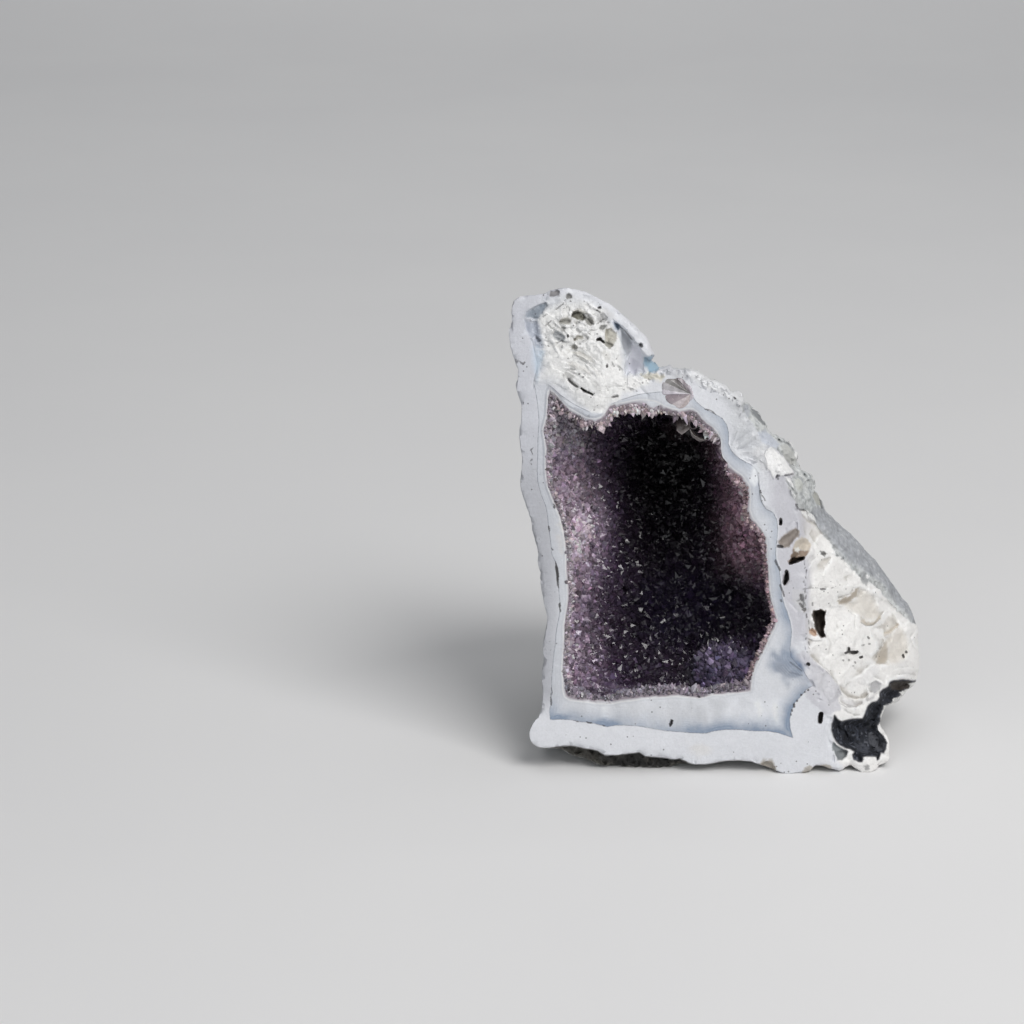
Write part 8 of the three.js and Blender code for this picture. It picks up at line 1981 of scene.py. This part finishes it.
def stone_material():
    m, nt, bsdf = new_material("geode_stone")
    G = Graph(nt)
    base = G.attr("Tint", "Color")
    d, p = G.attr("band_mm"), G.attr("pocket_mm")
    ring, blue = G.attr("ring"), G.attr("blue")
    coarse, shiny, broken = G.attr("coarse"), G.attr("shiny"), G.attr("broken")
    cloud = G.noise(260, 4, 0.6)
    fine = G.noise(1400, 3, 0.6)
    grain = G.noise(4200, 2, 0.6)
    # inner layer: cool pale chalcedony between the pocket and the band
    inner = G.math("MULTIPLY", G.band(d, 0.10, -0.20), ring)
    col = G.mix(G.math("MULTIPLY", inner, 0.40), base, rgb4(214, 217, 222))
    # blue grey of the band, deepening outward and ending sharply
    wander = G.math("ADD", G.math("MULTIPLY", G.math("SUBTRACT", cloud, 0.5), 3.6), G.math("MULTIPLY", G.math("SUBTRACT", G.noise(95, 3, 0.6), 0.5), 4.0))
    dn = G.math("ADD", d, wander)
    grow = G.math("POWER", G.band(dn, -6.6, -0.5, 0.0, 1.0, "LINEAR"), 1.7)
    soft = G.math("MULTIPLY", G.math("MULTIPLY", grow, inner), blue, clamp=True)
    col = G.mix(soft, col, rgb4(138, 153, 174))
    # faint growth lines in the band
    line = G.node("ShaderNodeMath", operation="SINE"); G.put(line.inputs[0], G.math("MULTIPLY", G.math("ADD", d, G.math("MULTIPLY", wander, 0.35)), 7.5))
    lines = G.math("MULTIPLY", G.math("MULTIPLY", G.band(line.outputs[0], 0.3, 1.0), inner), G.band(cloud, 0.45, 0.65, 0.0, 0.20, "LINEAR"))
    col = G.mix(lines, col, rgb4(228, 232, 238))
    # thin light edge at the pocket and a grey skin just outside it
    skin = G.attr("skin")
    greyline = G.math("MULTIPLY", G.math("MULTIPLY", G.band(p, 0.30, 0.48), G.band(p, 1.25, 0.85)), skin)
    col = G.mix(G.math("MULTIPLY", greyline, 0.70), col, rgb4(160, 163, 172))
    edge = G.math("MULTIPLY", G.math("MULTIPLY", G.band(p, -0.20, 0.02), G.band(p, 0.42, 0.26)), G.attr("front"))
    col = G.mix(G.math("MULTIPLY", edge, 0.40), col, rgb4(232, 230, 226))
    # dark hair line along the contact of the two layers
    near = G.band(G.math("ABSOLUTE", G.math("ADD", d, 0.02)), 0.20, 0.06)
    hair = G.math("MULTIPLY", G.math("MULTIPLY", near, ring), G.band(fine, 0.32, 0.60, 0.18, 0.80, "LINEAR"))
    col = G.mix(hair, col, rgb4(112, 118, 130))
    # marks: dark flecks, cracks and dashes, and painted shade in little deep pits and slots, with ragged edges
    mm = G.math("ADD", G.attr("mark_mm"), G.math("MULTIPLY", G.math("SUBTRACT", G.noise(2600, 2, 0.6), 0.5), 0.55))
    pit = G.math("MULTIPLY", G.band(mm, 0.12, -0.10), G.attr("mark_dark"), clamp=True)
    # small black specks here and there in the pale stone
    spot = G.math("MULTIPLY", G.band(G.voronoi(400), 0.135, 0.085), G.band(G.noise(120, 2, 0.5), 0.53, 0.58))
    col = G.mix(G.math("MULTIPLY", spot, G.math("SUBTRACT", 0.70, G.math("MULTIPLY", coarse, 0.55))), col, rgb4(70, 68, 70))
    col = G.mix(pit, col, rgb4(46, 43, 43))
    # hairline cracks where the stone is broken up
    warp = G.node("ShaderNodeVectorMath", operation="MULTIPLY_ADD"); G.put(warp.inputs[0], G.noise(700, 2, 0.5, out="Color"))
    warp.inputs[1].default_value = (0.0011, 0.0011, 0.0011); G.put(warp.inputs[2], G.coord)
    cr = G.node("ShaderNodeTexVoronoi", feature="DISTANCE_TO_EDGE"); G.put(cr.inputs["Vector"], warp.outputs[0]); cr.inputs["Scale"].default_value = 430.0
    crack = G.math("MULTIPLY", G.band(cr.outputs["Distance"], 0.045, 0.012), G.band(G.noise(330, 2, 0.5), 0.58, 0.66))
    col = G.mix(G.math("MULTIPLY", G.math("MULTIPLY", crack, broken), 0.34), col, rgb4(104, 102, 100))
    # cloudiness and grain
    shade = G.math("ADD", 0.955, G.math("MULTIPLY", cloud, 0.09))
    grey = G.math("ADD", 0.90, G.math("MULTIPLY", fine, 0.20))
    speck = G.math("ADD", G.math("SUBTRACT", 1.0, G.math("MULTIPLY", coarse, 0.22)), G.math("MULTIPLY", grain, G.math("MULTIPLY", coarse, 0.44)))
    k = G.math("MULTIPLY", G.math("MULTIPLY", shade, grey), speck)
    comb = G.node("ShaderNodeCombineColor")
    for s in comb.inputs:
        G.put(s, k)
    col = G.mix(1.0, col, comb.outputs[0], "MULTIPLY")
    nt.links.new(col, bsdf.inputs["Base Color"])
    rough = G.math("SUBTRACT", G.math("ADD", 0.58, G.math("MULTIPLY", coarse, 0.30)), G.math("MULTIPLY", shiny, 0.55))
    rough = G.math("ADD", rough, G.math("MULTIPLY", G.math("SUBTRACT", fine, 0.5), 0.22), clamp=True)
    nt.links.new(rough, bsdf.inputs["Roughness"])
    bsdf.inputs["IOR"].default_value = 1.53
    # bump: little broken facets, fine grain everywhere, pitted where coarse
    def facet(scale):
        up = G.node("ShaderNodeVectorMath", operation="SCALE"); G.put(up.inputs[0], G.coord); up.inputs["Scale"].default_value = scale
        v = G.node("ShaderNodeTexVoronoi", feature="F1"); G.put(v.inputs["Vector"], up.outputs[0]); v.inputs["Scale"].default_value = 1.0
        off = G.node("ShaderNodeVectorMath", operation="SUBTRACT"); G.put(off.inputs[0], up.outputs[0]); G.put(off.inputs[1], v.outputs["Position"])
        lean = G.node("ShaderNodeVectorMath", operation="SUBTRACT"); G.put(lean.inputs[0], v.outputs["Color"]); lean.inputs[1].default_value = (0.5, 0.5, 0.5)
        dot = G.node("ShaderNodeVectorMath", operation="DOT_PRODUCT"); G.put(dot.inputs[0], off.outputs[0]); G.put(dot.inputs[1], lean.outputs[0])
        return dot.outputs["Value"]
    h = G.math("ADD", G.math("MULTIPLY", G.noise(900, 4, 0.6), 0.35), G.math("MULTIPLY", grain, 0.10))
    h = G.math("ADD", h, G.math("MULTIPLY", G.math("MULTIPLY", G.noise(1500, 4, 0.7), coarse), 1.1))
    h = G.math("SUBTRACT", h, G.math("MULTIPLY", G.band(G.voronoi(900), 0.30, 0.05), G.math("MULTIPLY", coarse, 0.35)))
    h = G.math("ADD", h, G.math("MULTIPLY", G.math("MULTIPLY", facet(620.0), broken), 3.4))
    h = G.math("ADD", h, G.math("MULTIPLY", G.math("MULTIPLY", facet(1350.0), broken), 1.5))
    bump = G.node("ShaderNodeBump"); bump.inputs["Strength"].default_value = 0.75; bump.inputs["Distance"].default_value = 0.00045
    nt.links.new(h, bump.inputs["Height"])
    nt.links.new(bump.outputs[0], bsdf.inputs["Normal"])
    return m


def crystal_material(name, clear, rough, density=0.0):
    m, nt, bsdf = new_material(name)
    G = Graph(nt)
    base = G.attr("Tint", "Color")
    zone = G.noise(700, 2, 0.5)
    tone = G.band(zone, 0.3, 0.7, 0.88, 1.12, "LINEAR")
    comb = G.node("ShaderNodeCombineColor")
    for s in comb.inputs:
        G.put(s, tone)
    col = G.mix(1.0, base, comb.outputs[0], "MULTIPLY")
    nt.links.new(col, bsdf.inputs["Base Color"])
    r = G.band(G.noise(1600, 2, 0.5), 0.35, 0.7, rough * 0.6, rough * 1.8, "LINEAR")
    nt.links.new(r, bsdf.inputs["Roughness"])
    bsdf.inputs["IOR"].default_value = 1.55
    bsdf.inputs["Transmission Weight"].default_value = clear
    bump = G.node("ShaderNodeBump"); bump.inputs["Strength"].default_value = 0.25; bump.inputs["Distance"].default_value = 0.00008
    nt.links.new(G.noise(3000, 2, 0.5, stretch=(1, 1, 2.5)), bump.inputs["Height"])
    nt.links.new(bump.outputs[0], bsdf.inputs["Normal"])
    return m


STONE = stone_material()
rock.data.materials.append(STONE)
AMETHYST = crystal_material("amethyst", 0.35, 0.11)
for o in BIG_OBJS:
    o.data.materials.append(AMETHYST)
FINE_DRUSE = crystal_material("amethyst_fine", 0.20, 0.26)
for node in FINE_DRUSE.node_tree.nodes:
    if node.type == "BSDF_PRINCIPLED":
        node.inputs["Specular IOR Level"].default_value = 0.30
for o in DRUSE_OBJS:
    o.data.materials.append(FINE_DRUSE)
DRUSE_OBJS += BIG_OBJS
PALE = crystal_material("pale_quartz", 0.45, 0.14)
RIM.data.materials.append(PALE)
GLASSY = crystal_material("glassy_quartz", 0.30, 0.16)
NODULE.data.materials.append(GLASSY)
CURLS.data.materials.append(GLASSY)

for o in [rock, RIM, NODULE, CURLS] + DRUSE_OBJS:
    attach(o, "root")
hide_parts("amethyst_geode")

# ------------------------------------------------------------------ floor, light
def stage_floor():
    m = bpy.data.meshes.new("floor")
    pts, faces = [], []
    n = 40
    for j in range(n + 1):
        # flat, then a wide sweep up well behind the object
        t = j / n
        y = -2.5 + 5.5 * t
        z = 0.0 if y < 1.4 else (y - 1.4) ** 2 * 0.55
        pts += [(-4, y, z), (4, y, z)]
    for j in range(n):
        faces.append((2 * j, 2 * j + 1, 2 * j + 3, 2 * j + 2))
    m.from_pydata(pts, [], faces)
    for p in m.polygons:
        p.use_smooth = True
    o = bpy.data.objects.new("floor", m)
    bpy.context.scene.collection.objects.link(o)
    mat, nt, bsdf = new_material("floor_paper")
    G = Graph(nt)
    c = G.mix(G.noise(6, 3, 0.5), rgb4(230, 230, 231), rgb4(236, 236, 236))
    nt.links.new(c, bsdf.inputs["Base Color"])
    bsdf.inputs["Roughness"].default_value = 0.9
    m.materials.append(mat)
    return o


stage_floor()


def lamp(name, loc, size, power, color=(1, 1, 1), aim=(0, 0, 0.075), spread=180):
    d = bpy.data.lights.new(name, "AREA"); d.shape = "RECTANGLE"; d.size, d.size_y = size; d.energy = power; d.color = color
    d.spread = math.radians(spread)
    o = bpy.data.objects.new(name, d); o.location = loc
    o.rotation_euler = (Vector(aim) - Vector(loc)).to_track_quat("-Z", "Y").to_euler()
    bpy.context.scene.collection.objects.link(o)
    return o


lamp("key", (0.62, -0.85, 1.25), (0.95, 0.95), 18.3, (1.0, 0.985, 0.97))
lamp("fill", (-0.60, -1.1, 0.45), (0.9, 0.9), 2.2, (0.95, 0.97, 1.0))
lamp("top", (0.0, 0.15, 1.15), (0.9, 0.7), 2.2, (1, 1, 1))
lamp("backdrop", (0.0, 1.0, 1.7), (2.0, 0.6), 12.0, (1, 1, 1), aim=(0.0, 2.6, 0.3))
world = bpy.data.worlds.new("studio"); bpy.context.scene.world = world; world.use_nodes = True
bg = world.node_tree.nodes["Background"]
bg.inputs[0].default_value = (0.80, 0.83, 0.88, 1); bg.inputs[1].default_value = 0.13
bpy.context.scene.view_settings.view_transform = "Standard"

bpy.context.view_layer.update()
print("built in", round(time.time() - T0, 1))
